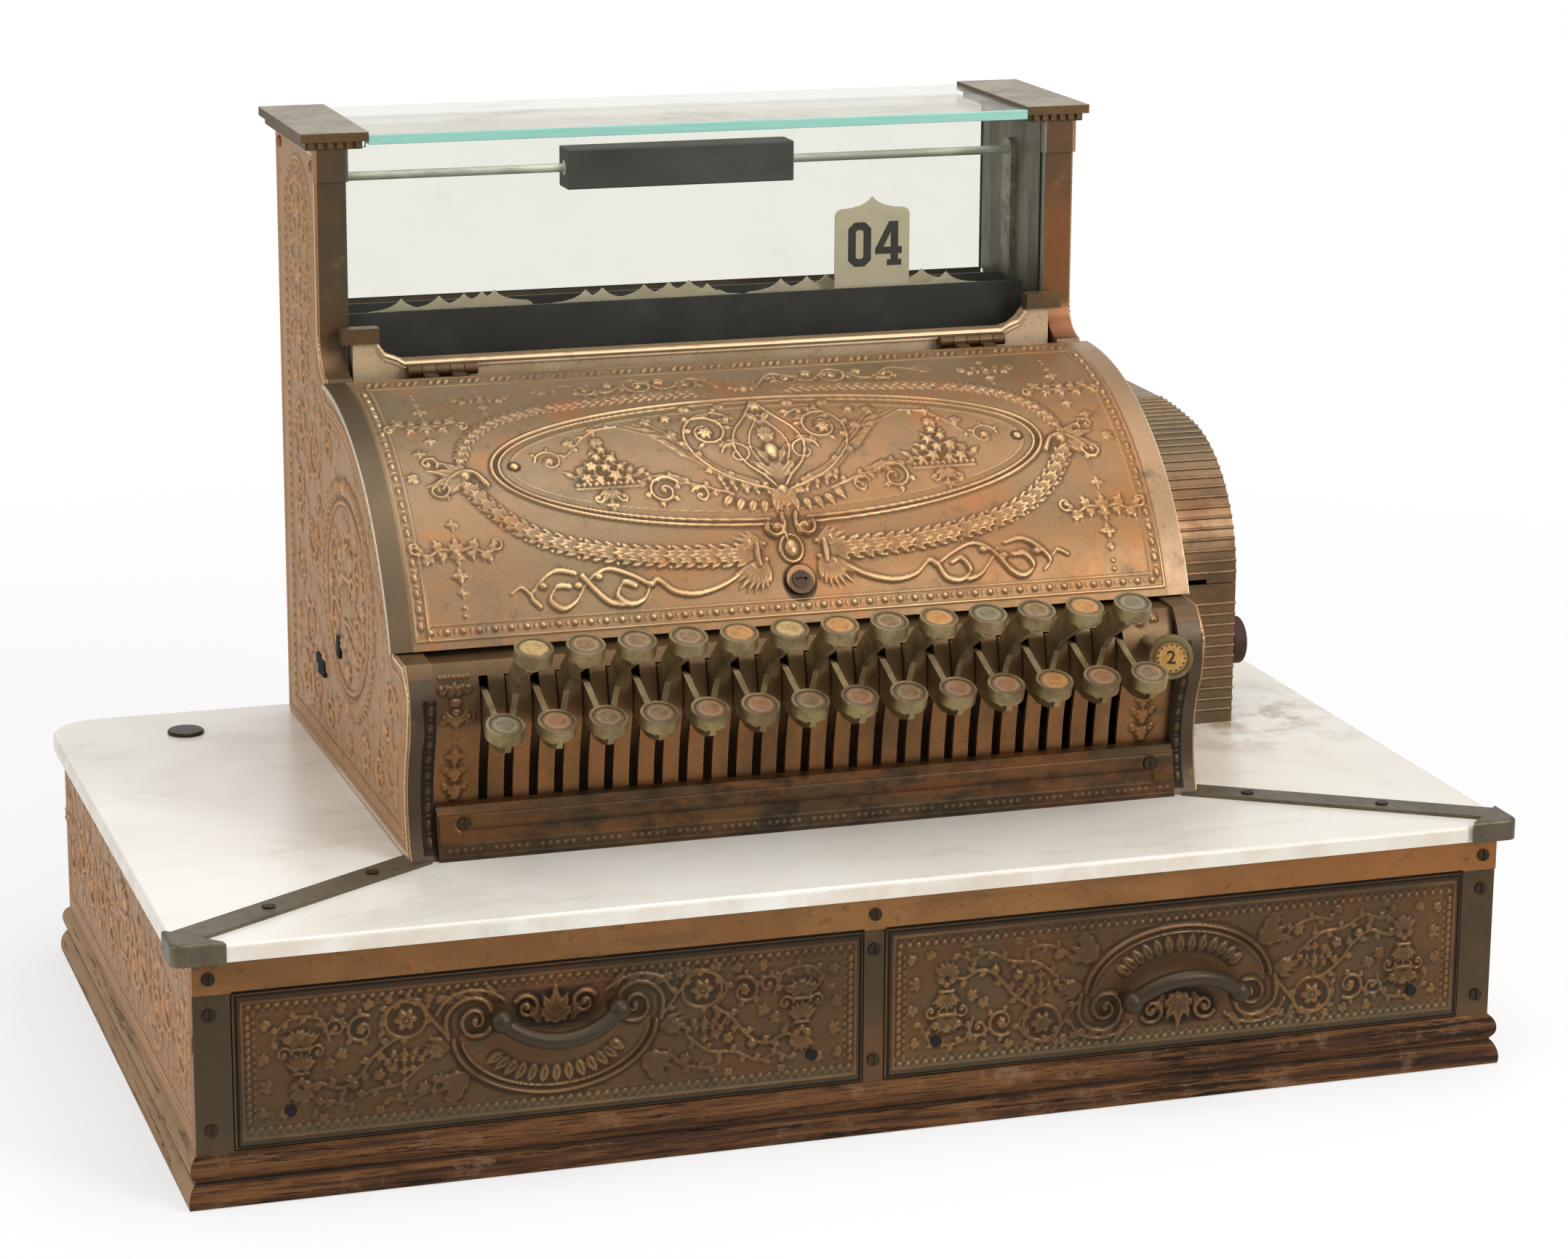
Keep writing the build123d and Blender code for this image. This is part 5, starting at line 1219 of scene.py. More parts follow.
def plate_line():
    """Profile of the key plate, (y, z): two arcs that meet smoothly."""
    bend, top = np.array((-102.5, 203.0)), np.array((-94.5, 241.5))
    lower = arc_line((-96.0, 150.0), (-97.0, 178.0), bend, 24)
    run = lower[-1] - lower[-2]
    across = np.array((run[1], -run[0])) / np.hypot(*run)
    ahead = top - bend
    radius = ahead @ ahead / (2 * (ahead @ across))
    centre = bend + radius * across
    turns = np.unwrap([math.atan2(*(point - centre)[::-1]) for point in (bend, top)])
    upper = oval_line(centre, abs(radius), abs(radius), *np.degrees(turns), 24)
    return np.array([*lower, *upper[1:]])


def casing_line():
    """Profile of the front of the side frames, (y, z)."""
    return np.array([*arc_line(*CASING_FOOT), *smooth_line(CASING_SHOULDER, 6)[1:]])


def on_drawer(side):
    """Placer for a drawer front; the right one is turned over."""
    def place(u, v, height):
        return side * (DRAWER_X - u), DRAWER_FACE_Y - height, DRAWER_Z - side * v
    return place


# ---- ornament of each panel ------------------------------------------------------------
# Functions that take half draw one side; the other is the same drawing turned round.

LID_MIDDLE = 2.0          # the wreath's oval stands this far right of the lid's own middle
LID_OVAL = (LID_MIDDLE, 103)


def lid_pattern(pitch):
    """Bead borders round a laurel wreath, a raised oval with scrolls and a vase, ribbons and corner drops."""
    art = Relief((-226.4, 226.4), (0.1, LID_ARC - 0.1), pitch)
    u, v = art.everywhere()
    lid_border(art)
    across, up = u - LID_OVAL[0], v - LID_OVAL[1]
    oval = (across / 153) ** 2 + (up / 43) ** 2
    art.base += 0.5 * np.clip((1.0 - oval) / 0.09, 0, 1)
    art.cord(oval_line(LID_OVAL, 157.5, 46.8, -86.2, 266.2, 220), 2.2, 1.2)
    art.cord(oval_line(LID_OVAL, 153.4, 43.4, -86.0, 266.0, 220), 1.3, 1.0)
    art.cord(oval_line(LID_OVAL, 147.0, 38.2, steps=220), 0.8, 0.4)
    rim = np.abs(np.sqrt((across / 155.3) ** 2 + (up / 44.9) ** 2) - 1) * 45
    art.soil(0.45 * np.clip(1 - rim / 0.8, 0, 1) * (v < 118))
    for x in (-143, 146):
        art.dome((x, 104), 2.6, height=1.2)
        art.cord([(x - 2.2, 105), (x + 2.2, 103)], 0.7, 1.5)
        ring = np.hypot(u - x, v - 104)
        art.soil(0.7 * (np.abs(ring - 3.0) < 0.9))
    for half in art.halves():
        lid_wreath(half)
        lid_corners(half)
    for half in art.halves((LID_MIDDLE, 0)):
        half.scroll((8.5, 53.5), 5.2, 35, -1, 1.4, 3.0, 2.2, 0)
        half.cord([(4.0, 62), (3.2, 56), (4.5, 50)], 2.6, 1.9)
        lid_oval_half(half)
    foot = np.hypot(across, v - 23.4)
    art.soil(0.75 * np.clip((10.8 - foot) / 1.6, 0, 1))
    art.dome((0, 41.5), 4.2, 5.6, 2.4)
    art.cord(oval_line((0, 41.5), 6.2, 7.8), 1.8, 1.4)
    art.cord([(-1.6, 51), (-1.6, 47)], 2.4, 1.5)
    lid_vase(art)
    art.spray((2, 160), 90, 19, 6.5, 120, 7, 1.0)
    art.dome((2, 161), 3.4, height=1.4)
    return art


def lid_border(art):
    """Bead-and-reel edges, round beads below and groups of three dashes above."""
    for x in (-208.5, 208.5):
        art.cord([(x - 3.4, 7), (x - 3.4, 186)], 0.9, 0.4)
        art.cord([(x + 3.4, 5), (x + 3.4, 188)], 1.1, 0.55)
        for k in range(20):
            low = 13 + k * 8.8
            art.dome((x, low), 1.6, 2.5, 1.0)
            art.dome((x, low + 4.4), 1.8, 0.7, 0.6)
    art.cord([(-211.9, 5.2), (211.9, 5.2)], 1.1, 0.55)
    art.cord([(-205.1, 13.2), (205.1, 13.2)], 0.9, 0.4)
    for k in range(48):
        x = -203.5 + k * 8.7
        art.dome((x, 9.3), 1.6, height=0.85)
        art.dome((x + 4.35, 9.3), 0.6, 1.3, 0.4)
    art.cord([(-213.6, 203.5), (213.6, 203.5)], 1.4, 0.7)
    art.cord([(-206.4, 188.0), (206.4, 188.0)], 1.4, 0.7)
    for k in range(94):
        if k % 4 < 3:
            art.dome((-203 + k * 4.38, 195.8), 5.0, 1.3, 0.95, 66)


# centre lines of one side's ribbons, with their widths
LID_RIBBONS = (
    ([(28, 31), (40, 24), (55, 20), (68, 22), (77, 29), (82, 26)], 3.8),
    ([(82, 26), (86, 19), (94, 17), (100, 22), (96, 29), (90, 27)], 4.2),
    ([(82, 27), (92, 33), (103, 37), (112, 34), (118, 28)], 3.3),
    ([(118, 34), (112, 26), (105, 19), (98, 17)], 4.0),
    ([(118, 28), (124, 20), (131, 17), (137, 22), (133, 29), (126, 29)], 4.2),
    ([(122, 36), (132, 38), (141, 33), (147, 25), (143, 19)], 3.5),
    ([(147, 25), (152, 30), (158, 27)], 2.6),
)


def lid_wreath(half):
    """Half of the laurel wreath with its palmettes, bow and ribbon."""
    lower = [(21, 39.5), (45, 40), (75, 42), (105, 47), (132, 55), (152, 68), (165, 83), (171, 94)]
    upper = [(20, 160), (38, 160), (75, 157.5), (113, 153), (140, 145), (157, 134), (168, 120), (172, 106)]
    half.garland(lower, 12.5, 1.5, 7.2)
    half.garland(upper, 9.5, 1.2, 5.6)
    half.cord([(19, 33), (19.5, 39), (19, 45)], 3.2, 1.7)
    for at, radius in (((15, 36), 1.6), ((15, 45), 1.6), ((23, 33), 1.3), ((23, 47), 1.3)):
        half.dome(at, radius, height=1.3)
    for k in range(8):
        half.leaf((16, 36), -22 - k * 11, 24 - 1.8 * abs(k - 2), 3.2, 1.2, 0, 0.4)
    for k in range(4):
        half.leaf((15, 43), 50 - k * 14, 19 - 2.5 * abs(k - 2), 3.2, 1.0, 0, 0.4)
    for points, width in LID_RIBBONS:
        half.ribbon(points, width * 0.92, 0.95)
    for at in ((81, 27), (109, 33), (121, 29), (140, 30)):
        half.dome(at, 2.6, 2.0, 1.3)
    knot = (171, 100)
    for turn, reach, width in (
        (14, 22, 6), (-16, 24, 6), (44, 17, 5.5), (-46, 19, 5.5), (76, 12, 5), (-78, 13, 5),
    ):
        half.leaf(knot, turn, reach, width, 1.3, 2, 0.3)
    half.cord(smooth_line([(160, 93), (165, 101), (172, 103), (180, 98), (184, 92)]), 3.4, 1.6, 0.5)
    half.dome(knot, 3.6, height=1.7)
    half.scroll((187, 91), 6, 150, 1, 1.2, 2.2, 1.2, 2)
    half.scroll((189, 110), 5, 210, -1, 1.2, 2.0, 1.1, 2)
    half.spray((164, 90), -70, 12, 4.2, 70, 4, 1.1)
    half.cross((192, 118), 0.8, 0.9)
    half.spray((196, 100), 0, 9, 3.2, 90, 4, 0.9)


# place from the basket's middle and radius of each flower
BASKET_FLOWERS = (
    (-12, 0, 3.4), (-5, 2, 4.6), (4, 0, 3.6), (11, 1, 4.2), (-9, 8, 3.2), (-1, 8, 3.8), (7, 9, 4.4),
    (-5, 14, 3.8), (3, 16, 3.2), (-1, 21, 3.4),
)


def lid_oval_half(half):
    """Half of the oval's ornament: lyre scrolls, long feathers, a flower basket and small scrolls."""
    stem = [(5, 77), (18, 82), (33, 91), (44, 105), (46, 121), (38, 133), (25, 137), (15, 131)]
    half.vine(stem, 2.2, 1.1, 7.5, 5)
    half.scroll((33, 121), 12, 70, 1, 1.5, 1.9, 1.1, 4)
    half.scroll((19, 103), 9, 10, 1, 1.3, 1.7, 1.0, 3)
    for k in range(4):
        feather = [
            (12, 80 + k), (32, 88 + 2 * k), (47, 103 + 3 * k),
            (66 - 2 * k, 121 + 2 * k), (82 - 5 * k, 130 + k),
        ]
        half.cord(smooth_line(feather), 1.2, 0.85, tip=0.5)
    for k in range(5):
        half.leaf((44 + k * 4, 100 + k * 6), 38 - k * 5, 17 - k, 3.6, 0.95, 2, 0.3)
    half.vine([(82, 130), (94, 128), (103, 122), (112, 112), (118, 106)], 1.4, 0.8, 5, 6)
    half.scroll((66, 81), 9.5, 150, -1, 1.5, 2.2, 1.2, 5)
    half.scroll((46, 77), 5.5, 30, 1, 1.3, 1.8, 1.0, 2)
    half.leaf((50, 87), 12, 25, 5, 1.0, 3)
    half.vine([(28, 76), (38, 80), (48, 84), (58, 86), (68, 91), (77, 89)], 1.6, 0.9, 6.5, 4)
    half.flower((34, 120), 5.0, 6, 1.3)
    half.flower((53, 134), 3.6, 5, 1.0)
    for u, v, turn in (
        (62, 131, 30), (20, 141, 90), (41, 140, 110), (52, 118, 60), (26, 128, 160), (24, 112, 200),
    ):
        half.spray((u, v), turn, 8, 3.0, 100, 4, 0.95)
    for k in range(5):
        half.leaf((5 + k * 6.0, 72 - 1.2 * k + k * k * 0.5), -82 + k * 9, 9.0, 4.6, 1.35, 0)
        half.dome((8 + k * 6.0, 75.5 + k * k * 0.45), 1.5, height=1.1)
        half.leaf((8 + k * 6.0, 76 + k * k * 0.45), 70, 7.0, 2.8, 1.0, 0)
    basket = 96
    half.bead_row((basket - 17, 88), (basket + 17, 88), 3.3, 1.6, 1.5, 1.3)
    half.cord([(basket - 18, 85.4), (basket + 18, 85.4)], 1.2, 0.8)
    half.fan((basket, 84), (-150, -120, -90, -60, -30), 8.5, 3.0, 1.0, 0)
    for dx in (-7, 7):
        half.scroll((basket + dx, 79), 3.0, 90 + dx * 12, 1 if dx > 0 else -1, 1.2, 1.4, 1.0, 0)
    half.cross((basket, 74), 0.8, 0.9)
    for dx, dz, size in BASKET_FLOWERS:
        half.flower((basket + dx, 91 + dz), size, 5, 0.75 + size * 0.13, dx * 9)
        half.dome((basket + dx + 2.9, 93.5 + dz), 1.0, height=1.0)
        half.leaf((basket + dx, 92 + dz), 90 - dx * 7, 6.4, 2.4, 0.9, 0)
    for dx, turn in ((-16, 50), (16, -50), (-12, 24), (12, -24)):
        half.leaf((basket + dx, 92), 90 + turn, 11, 3.6, 1.0, 2)
    half.spray((basket, 115), 90, 9, 3.2, 90, 5, 1.0)
    half.cross((basket, 128), 0.75, 0.9)
    half.scroll((125, 106), 8.0, 0, 1, 1.4, 1.4, 0.9, 3)
    half.flower((125, 106), 3.2, 5, 1.1)
    half.spray((113, 116), 120, 8, 3.0, 90, 4, 0.9)
    half.spray((110, 101), -110, 7, 2.8, 70, 3, 0.9)


def lid_vase(art):
    """The bulb-shaped vase in the middle of the oval, on a swag of leaves."""
    outline = [(0, 148), (3.5, 140), (9, 131), (17, 120), (20, 108), (16, 96), (8, 87), (3, 80)]
    inner = [(0, 134), (4, 126), (9, 117), (11, 107), (8, 97), (3, 90)]
    vase = art.seen_from((LID_MIDDLE, 0))
    for half in vase.halves():
        half.cord(smooth_line(outline), 1.7, 1.0)
        half.cord(smooth_line(inner), 1.1, 0.8)
        half.leaf((0, 84), 48, 20, 6, 1.1, 3)
        half.leaf((3, 95), 66, 15, 4.4, 1.0, 2)
        half.leaf((0, 126), 56, 15, 4.6, 1.0, 2)
    vase.dome((0, 104), 4.4, 6.0, 1.7)
    vase.spray((0, 110), 90, 17, 4.4, 56, 5, 1.1)
    vase.spray((0, 96), -90, 11, 4.0, 80, 5, 1.0)
    vase.flower((0, 141), 4.6, 6, 1.3)
    vase.spray((0, 76), -90, 13, 4.8, 150, 9, 1.3)
    vase.dome((0, 77), 3.6, height=1.6)


def lid_corners(half):
    """Drops of leaves in the field beside the wreath and sprays above it."""
    half.fleuron((184, 52), 1.15, 1, 1.1)
    half.fleuron((184, 143), 1.05, -1, 1.0)
    half.fleuron((148, 166), 0.75, 1, 0.9)
    half.scroll((56, 171), 8.5, 20, -1, 1.4, 2.2, 1.0, 3)
    half.scroll((88, 170), 6.5, 190, 1, 1.3, 1.9, 0.9, 3)
    half.scroll((30, 170), 7.5, 160, 1, 1.4, 2.2, 1.0, 3)
    half.vine(((12, 165), (24, 178), (42, 166), (58, 180), (76, 166), (94, 178), (112, 170)), 1.8, 0.9, 7, 8)
    half.flower((43, 176), 4.2, 5, 1.0)
    half.flower((73, 175), 3.6, 5, 0.9)
    half.spray((108, 172), 10, 13, 4, 70, 4, 0.8)


def drawer_pattern(pitch):
    """Urns at the ends, scroll vines with flowers and a plain scrolled cartouche in the middle."""
    art = Relief((-164.9, 164.9), (-40.4, 40.4), pitch)
    u, v = art.everywhere()
    drawer_border(art)
    # painted shadow round the drawer front's edge, where it sits in its opening
    edge_shadow = np.maximum(np.abs(u) - 163.2, np.abs(v) - 38.9)
    art.soil(0.95 * np.clip(edge_shadow / 0.5, 0, 1))
    margin = np.clip((np.abs(v) - 36.2) / 1.0, 0, 1) + np.clip((np.abs(u) - 161.0) / 1.0, 0, 1)
    art.soil(0.42 * np.clip(margin, 0, 1))
    inside = ((u / 50) ** 2 + ((v - 7) / 32) ** 2 < 1) & (v < 8)
    art.base += 0.5 * inside
    art.cord(oval_line((0, 7), 53.5, 34.5, 184, 356, 90), 2.6, 1.7)
    art.cord(oval_line((0, 7), 49.5, 31.0, 187, 353, 90), 1.1, 1.2)
    for k in range(13):
        turn = math.radians(207 + k * 10.5)
        point = (31 * math.cos(turn), 4 + 17 * math.sin(turn))
        art.leaf(point, math.degrees(turn), 10.5, 5.0, 1.4, 0)
    for x in (-78, 78):
        art.cord(oval_line((x, 19), 10.5, 9.6, steps=40), 1.5, 0.9)
    for half in art.halves():
        drawer_half(half)
    art.spray((0, 10), 90, 19, 6.0, 96, 5, 1.5)
    art.leaf((0, 9), 90, 22, 7.5, 1.8, 2, 0.4)
    art.dome((0, 12), 3.0, height=1.5)
    # painted shadow of the pull on the plate behind it
    pull_shadow = np.hypot(u / 27, (v - 17) / 13)
    dirt = 0.65 * np.clip((1.05 - pull_shadow) / 0.3, 0, 1) * np.clip((v - 2) / 4, 0, 1)
    art.soil(dirt * np.clip(1.25 - art.art, 0.25, 1))
    return art


def drawer_border(art):
    """Plain rim, thin lines and rows of small beads."""
    art.frame_lines((-161.5, -36.6), (161.5, 36.2), 1.2, 0.6)
    art.frame_lines((-153.5, -28.8), (153.5, 29.2), 0.9, 0.4)
    for v in (-32.6, 32.8):
        for k in range(66):
            x = -158 + k * 4.86
            art.dome((x, v + 1.1), 1.6, 1.2, 0.75)
            art.dome((x + 2.4, v - 1.4), 0.8, 0.9, 0.55)
    for side in (-1, 1):
        for k in range(14):
            z = -27 + k * 4.2
            art.dome((side * 158.6, z), 1.2, 1.7, 0.9)
            art.dome((side * 155.6, z + 2.1), 0.9, 1.2, 0.7)


# place, direction and reach of small sprays between the scrolls
DRAWER_LEAVES = (
    (147, -10, 10, 8), (112, 2, 110, 7), (140, -23, -60, 6), (121, -27, -90, 5), (96, 27, 60, 6),
    (68, 30, 200, 6), (150, 3, 60, 7), (92, -26, -90, 5), (148, 22, 40, 6), (109, 28, 20, 6),
    (86, -4, 250, 6), (120, 0, 190, 7), (56, -24, 250, 6), (150, -22, -30, 6), (88, 30, 160, 5),
    (60, 26, 100, 5),
)


def drawer_half(half):
    """One end of a drawer front: volute, acanthus, flowers in scrolls, drops and the urn."""
    half.scroll((42, 14.5), 9.5, 165, 1, 1.6, 2.6, 1.9, 0)
    half.cord(smooth_line([(33, 18), (36, 24), (44, 27), (52, 24), (57, 17), (56, 6)]), 2.2, 1.4)
    half.cord(smooth_line([(27, 24), (34, 29), (45, 31), (56, 28), (62, 20)]), 1.8, 1.2)
    for k in range(4):
        half.leaf((30 + k * 7, 24 + k * 0.6), 56 - k * 14, 12, 3.8, 1.2, 0, 0.5)
    half.scroll((15, 19), 6.8, 30, 1, 1.5, 2.6, 1.7, 0)
    half.leaf((8, 10), 60, 14, 5, 1.2, 2)
    half.fan((46, -13), (-10, -28, -46, -64), 19, 5.5, 1.25, 3, 0.3)
    half.fan((55, 2), (28, 10, -8, -26), 14, 4.2, 1.15, 2, 0.3)
    half.flower((63, 1), 4.4, 6, 1.3)
    half.flower((78, 19), 6.4, 6, 1.5)
    half.vine([(57, 8), (66, 20), (72, 29), (84, 28), (91, 18), (84, 8)], 1.6, 1.0, 6, 4)
    half.vine([(84, 9), (94, 2), (102, -8), (112, -14), (124, -10), (132, -16)], 1.8, 1.05, 7, 4)
    half.vine([(70, -6), (82, -15), (96, -17), (108, -23), (118, -20), (126, -24)], 1.4, 0.9, 6, 4)
    half.vine([(60, -12), (66, -20), (78, -24), (88, -22)], 1.3, 0.9, 5.5, 4)
    half.scroll((101, 16), 8.0, 120, -1, 1.5, 1.9, 1.15, 4)
    half.scroll((114, 18), 5.4, -10, 1, 1.3, 1.6, 1.0, 3)
    half.flower((101, 16), 3.0, 5, 1.2)
    half.dome((105, -13), 2.8, height=1.7)
    half.flower((92, -9), 3.4, 5, 1.1)
    half.flower((69, -18), 3.4, 5, 1.1)
    half.fleuron((79, -1), 0.62, 1, 1.1)
    half.vase((132, 4), 0.95, 1.5)
    half.fan((132, -12), (-140, -115, -90, -65, -40), 9, 3.6, 1.1, 0)
    half.vine([(117, 12), (121, 23), (131, 26), (141, 23), (147, 12)], 1.3, 0.9, 5.5, 4)
    for u, v, turn, reach in DRAWER_LEAVES:
        half.spray((u, v), turn, reach, 2.8, 100, 4, 0.95)


# left and right edge of the ornament at each end of the key plate
PLATE_ENDS = (("left", (-207.6, -185.4)), ("right", (180.6, 207.6)))
SIDE_KEY_HOLE = (192.0, 226.0)


def plate_end_pattern(span, pitch):
    """Drop ornament on one end of the key plate, under the side key's hole on the right."""
    art = Relief(span, (151.0, 240.0), pitch)
    grid_u, grid_v = art.everywhere()
    low, high = span
    u = -197.0 if low < 0 else 193.0
    if low < 0:
        art.bead_row((u - 7.5, 234.5), (u + 7.5, 234.5), 2.5, 1.0, height=0.6)
        art.spray((u, 226), 90, 7, 3.0, 150, 5, 0.7)
        for half in art.halves((u, 0)):
            half.scroll((7, 229), 2.6, 150, 1, 1.2, 1.2, 0.7, 0)
            half.scroll((7, 214), 3.0, 30, -1, 1.2, 1.3, 0.75, 0)
            half.leaf((0, 209), 56, 11, 3.2, 0.8, 2)
        art.dome((u, 222), 3.4, 2.2, 0.9)
        art.dome((u, 217), 2.6, 2.0, 0.8)
        art.leaf((u, 208), 90, 10, 3.6, 0.9, 2)
    else:
        art.leaf((low + 5, 236.5), -20, 8, 3.4, 0.8, 2)
        art.spray((u + 5, 236), 90, 4, 2.2, 160, 5, 0.7)
    art.cord([(u, 207), (u, 199)], 0.9, 0.5)
    art.dome((u, 203), 1.2, height=0.6)
    art.cross((u, 192), 1.1, 0.75)
    for z, size in ((182, 5.0), (172, 5.4)):
        for half in art.halves((u, z)):
            half.scroll((5.6, 2), 2.2, 50, 1, 1.1, 1.1, 0.7, 0)
        art.spray((u, z - 2), 90, 7, 2.8, 120, 5, 0.8)
        art.flower((u, z - 3), size * 0.55, 5, 0.9)
    for at in oval_line((u, 164), 4.2, 3.6, 200, 340, 5):
        art.dome(at, 1.4, height=0.7)
    art.art *= np.clip(np.minimum(grid_u - low, high - grid_u) - 1.2, 0, 1)
    if low > 0:
        art.art *= np.clip(np.hypot(grid_u - SIDE_KEY_HOLE[0], grid_v - SIDE_KEY_HOLE[1]) - 7.5, 0, 1)
    return art


def sill_pattern(pitch):
    """A stepped frame over a sunk band, and a row of fine dashes along the foot."""
    art = Relief((-207.6, 207.6), (138.3, 161.4), pitch)
    u, v = art.everywhere()
    upper = np.clip((v - 154.6) / 0.8, 0, 1)
    ends = np.clip((np.abs(u) - 195.5) / 0.8, 0, 1) * np.clip((v - 146.6) / 0.8, 0, 1)
    art.base += 0.75 * np.maximum(upper, ends)
    screws = np.hypot(np.abs(u) - 194.3, v - 156.6)
    art.base *= np.clip((screws - 3.6) / 0.8, 0, 1)
    for k in range(98):
        x = -204 + k * 4.2
        if k % 6 != 5:
            art.leaf((x - 0.8, 141.0), 62, 3.6, 1.5, 0.55, 0)
            art.dome((x + 1.2, 142.4), 0.8, 1.3, 0.5)
    art.cord([(-206, 139.6), (206, 139.6)], 0.8, 0.35)
    art.cord([(-206, 145.6), (206, 145.6)], 0.8, 0.35)
    art.cord([(-194.5, 154.0), (194.5, 154.0)], 0.7, 0.3)
    art.soil(0.6 * np.clip(1 - np.abs(v - 153.6) / 0.9, 0, 1) * (np.abs(u) < 196))
    return art


def window_sill_pattern(pitch):
    """Double moulding that follows the stepped top of the window sill."""
    art = Relief((-206.4, 206.4), (351.5, 377.0), pitch)
    top = [(0, 366.5), (177.4, 366.5), (181.4, 369.1), (188.4, 371.75), (192.4, 377.0)]
    edge = [(-u, v) for u, v in reversed(top)] + top[1:]
    for drop, width, height in ((2.2, 1.5, 0.9), (4.6, 0.9, 0.5)):
        art.cord([(u, v - drop) for u, v in edge], width, height)
    art.cord([(-206, 353.0), (206, 353.0)], 0.9, 0.4)
    u, v = art.everywhere()
    art.grime = 0.45 * np.clip(1 - np.abs(v - 352.2) / 1.2, 0, 1)
    return art, np.array(edge)


BEAD_STRIPS = (("left", (-215.4, -209.2)), ("right", (209.2, 215.4)))


def bead_strip_pattern(span, pitch):
    """Dark channel with oval beads and small spacers."""
    art = Relief(span, (141.0, 226.0), pitch)
    middle = (span[0] + span[1]) / 2
    for k in range(9):
        art.dome((middle, 147 + k * 9.2), 1.8, 2.9, 0.9)
        art.dome((middle, 151.6 + k * 9.2), 1.6, 0.8, 0.5)
    art.grime = 0.7 * (art.art < 0.3)
    art.base += 0.7
    return art


def side_outline():
    """Outline of a case side, (y, z), from its foot round over the lid's seat and the column."""
    foot = arc_line(*CASING_FOOT)
    shoulder = smooth_line([*CASING_SHOULDER, (-99.0, 243.0)], 6)
    seat = oval_line(LID_CENTRE, 169, 169, 160.0, 90.2, 30)
    flare = smooth_line([(83.5, 359.5), (94.0, 365.5), (99.5, 381.5)], 6)
    straight = [(99.5, 484.0), (206.0, 484.0), (206.0, 137.5)]
    return np.array([*foot, *shoulder[1:], *seat, *flare, *straight])


def edge_distance(outline, u, v):
    """Distance of points from a closed outline, less than 0 outside."""
    best = np.full(u.shape, 1e9)
    inside = np.zeros(u.shape, bool)
    for (x0, y0), (x1, y1) in zip(outline, np.roll(outline, -1, 0)):
        dx, dy = x1 - x0, y1 - y0
        t = np.clip(((u - x0) * dx + (v - y0) * dy) / max(dx * dx + dy * dy, 1e-9), 0, 1)
        best = np.minimum(best, np.hypot(u - x0 - t * dx, v - y0 - t * dy))
        inside ^= ((y0 > v) != (y1 > v)) & (u < x0 + (v - y0) / (dy if dy else 1e-9) * dx)
    return np.where(inside, best, -best)


MEDALLION = (36, 246)
COLUMN_Y = 149            # middle of the column's panel
COLUMN_FOOT_Z = 372       # where the panel of the column starts
ARCH_Z = 436              # middle of the arch that closes it


def case_side_pattern(pitch, outline):
    """Dense arabesque: a wreathed round medallion, scroll sprays and a candelabrum up the column."""
    art = Relief((-111.0, 206.0), (137.5, 484.0), pitch)
    u, v = art.everywhere()
    depth = edge_distance(outline, u, v)
    arch = 38 - np.where(v > ARCH_Z, np.hypot(u - COLUMN_Y, v - ARCH_Z), np.abs(u - COLUMN_Y))
    panel = np.where(v > COLUMN_FOOT_Z, np.minimum(arch, 60), np.minimum(depth - 9, 187 - u))
    line = np.clip(1 - ((panel - 0.6) / 1.1) ** 2, 0, 1) ** 0.5
    art.thicket(11, (-96, 152), (176, 340), 17.0, 13.0, 0.75)
    art.thicket(12, (126, 340), (172, 466), 16.0, 12.0, 0.7)
    wreath = np.abs(np.hypot(u - MEDALLION[0], v - MEDALLION[1]) - 58)
    art.art *= np.clip((wreath - 9) / 2, 0, 1)
    side_medallion(art.seen_from(MEDALLION))
    side_sprays(art)
    art.art *= np.clip((panel - 9) / 1.5, 0, 1)
    art.lift(0.8 * line)
    art.lift(0.5 * np.clip(1 - ((panel - 8.0) / 0.8) ** 2, 0, 1) ** 0.5)
    side_beads(art)
    art.art *= np.clip(panel + 1.8, 0, 1)
    bead = np.clip(1 - ((depth - 2.4) / 1.6) ** 2, 0, 1) ** 0.5
    front = np.clip((80 - u) / 20, 0, 1) + np.clip((v - 350) / 20, 0, 1) * (u < 120)
    art.lift(0.7 * bead)
    # outside the panel a pale plain ground; along the rounded edge at the front and up the column, a pale
    # painted highlight
    art.grime = np.where(panel < -1.0, -0.16, art.grime)
    art.grime = np.where(bead > 0.05, -0.8 * bead * np.clip(front, 0, 1), art.grime)
    return art


def side_beads(art):
    """Egg-and-leaf row up the back edge, round the arch and along the foot."""
    for k in range(48):
        z = 150 + k * 6.0
        art.dome((183.4, z), 2.0, 2.4, 0.9)
        if z > 378:
            art.dome((114.6, z), 1.6, 2.0, 0.9)
    for at in oval_line((COLUMN_Y, ARCH_Z), 34.4, 34.4, 0, 180, 17):
        art.dome(at, 1.9, height=0.9)
    for k in range(46):
        art.dome((-92 + k * 6.0, 149.8), 2.4, 1.9, 0.9)
    for k in range(34):
        turn = LID_START + 0.03 + k * 0.0355
        at = (LID_CENTRE[0] - 156.4 * math.cos(turn), LID_CENTRE[1] + 156.4 * math.sin(turn))
        art.dome(at, 1.9, height=0.9)


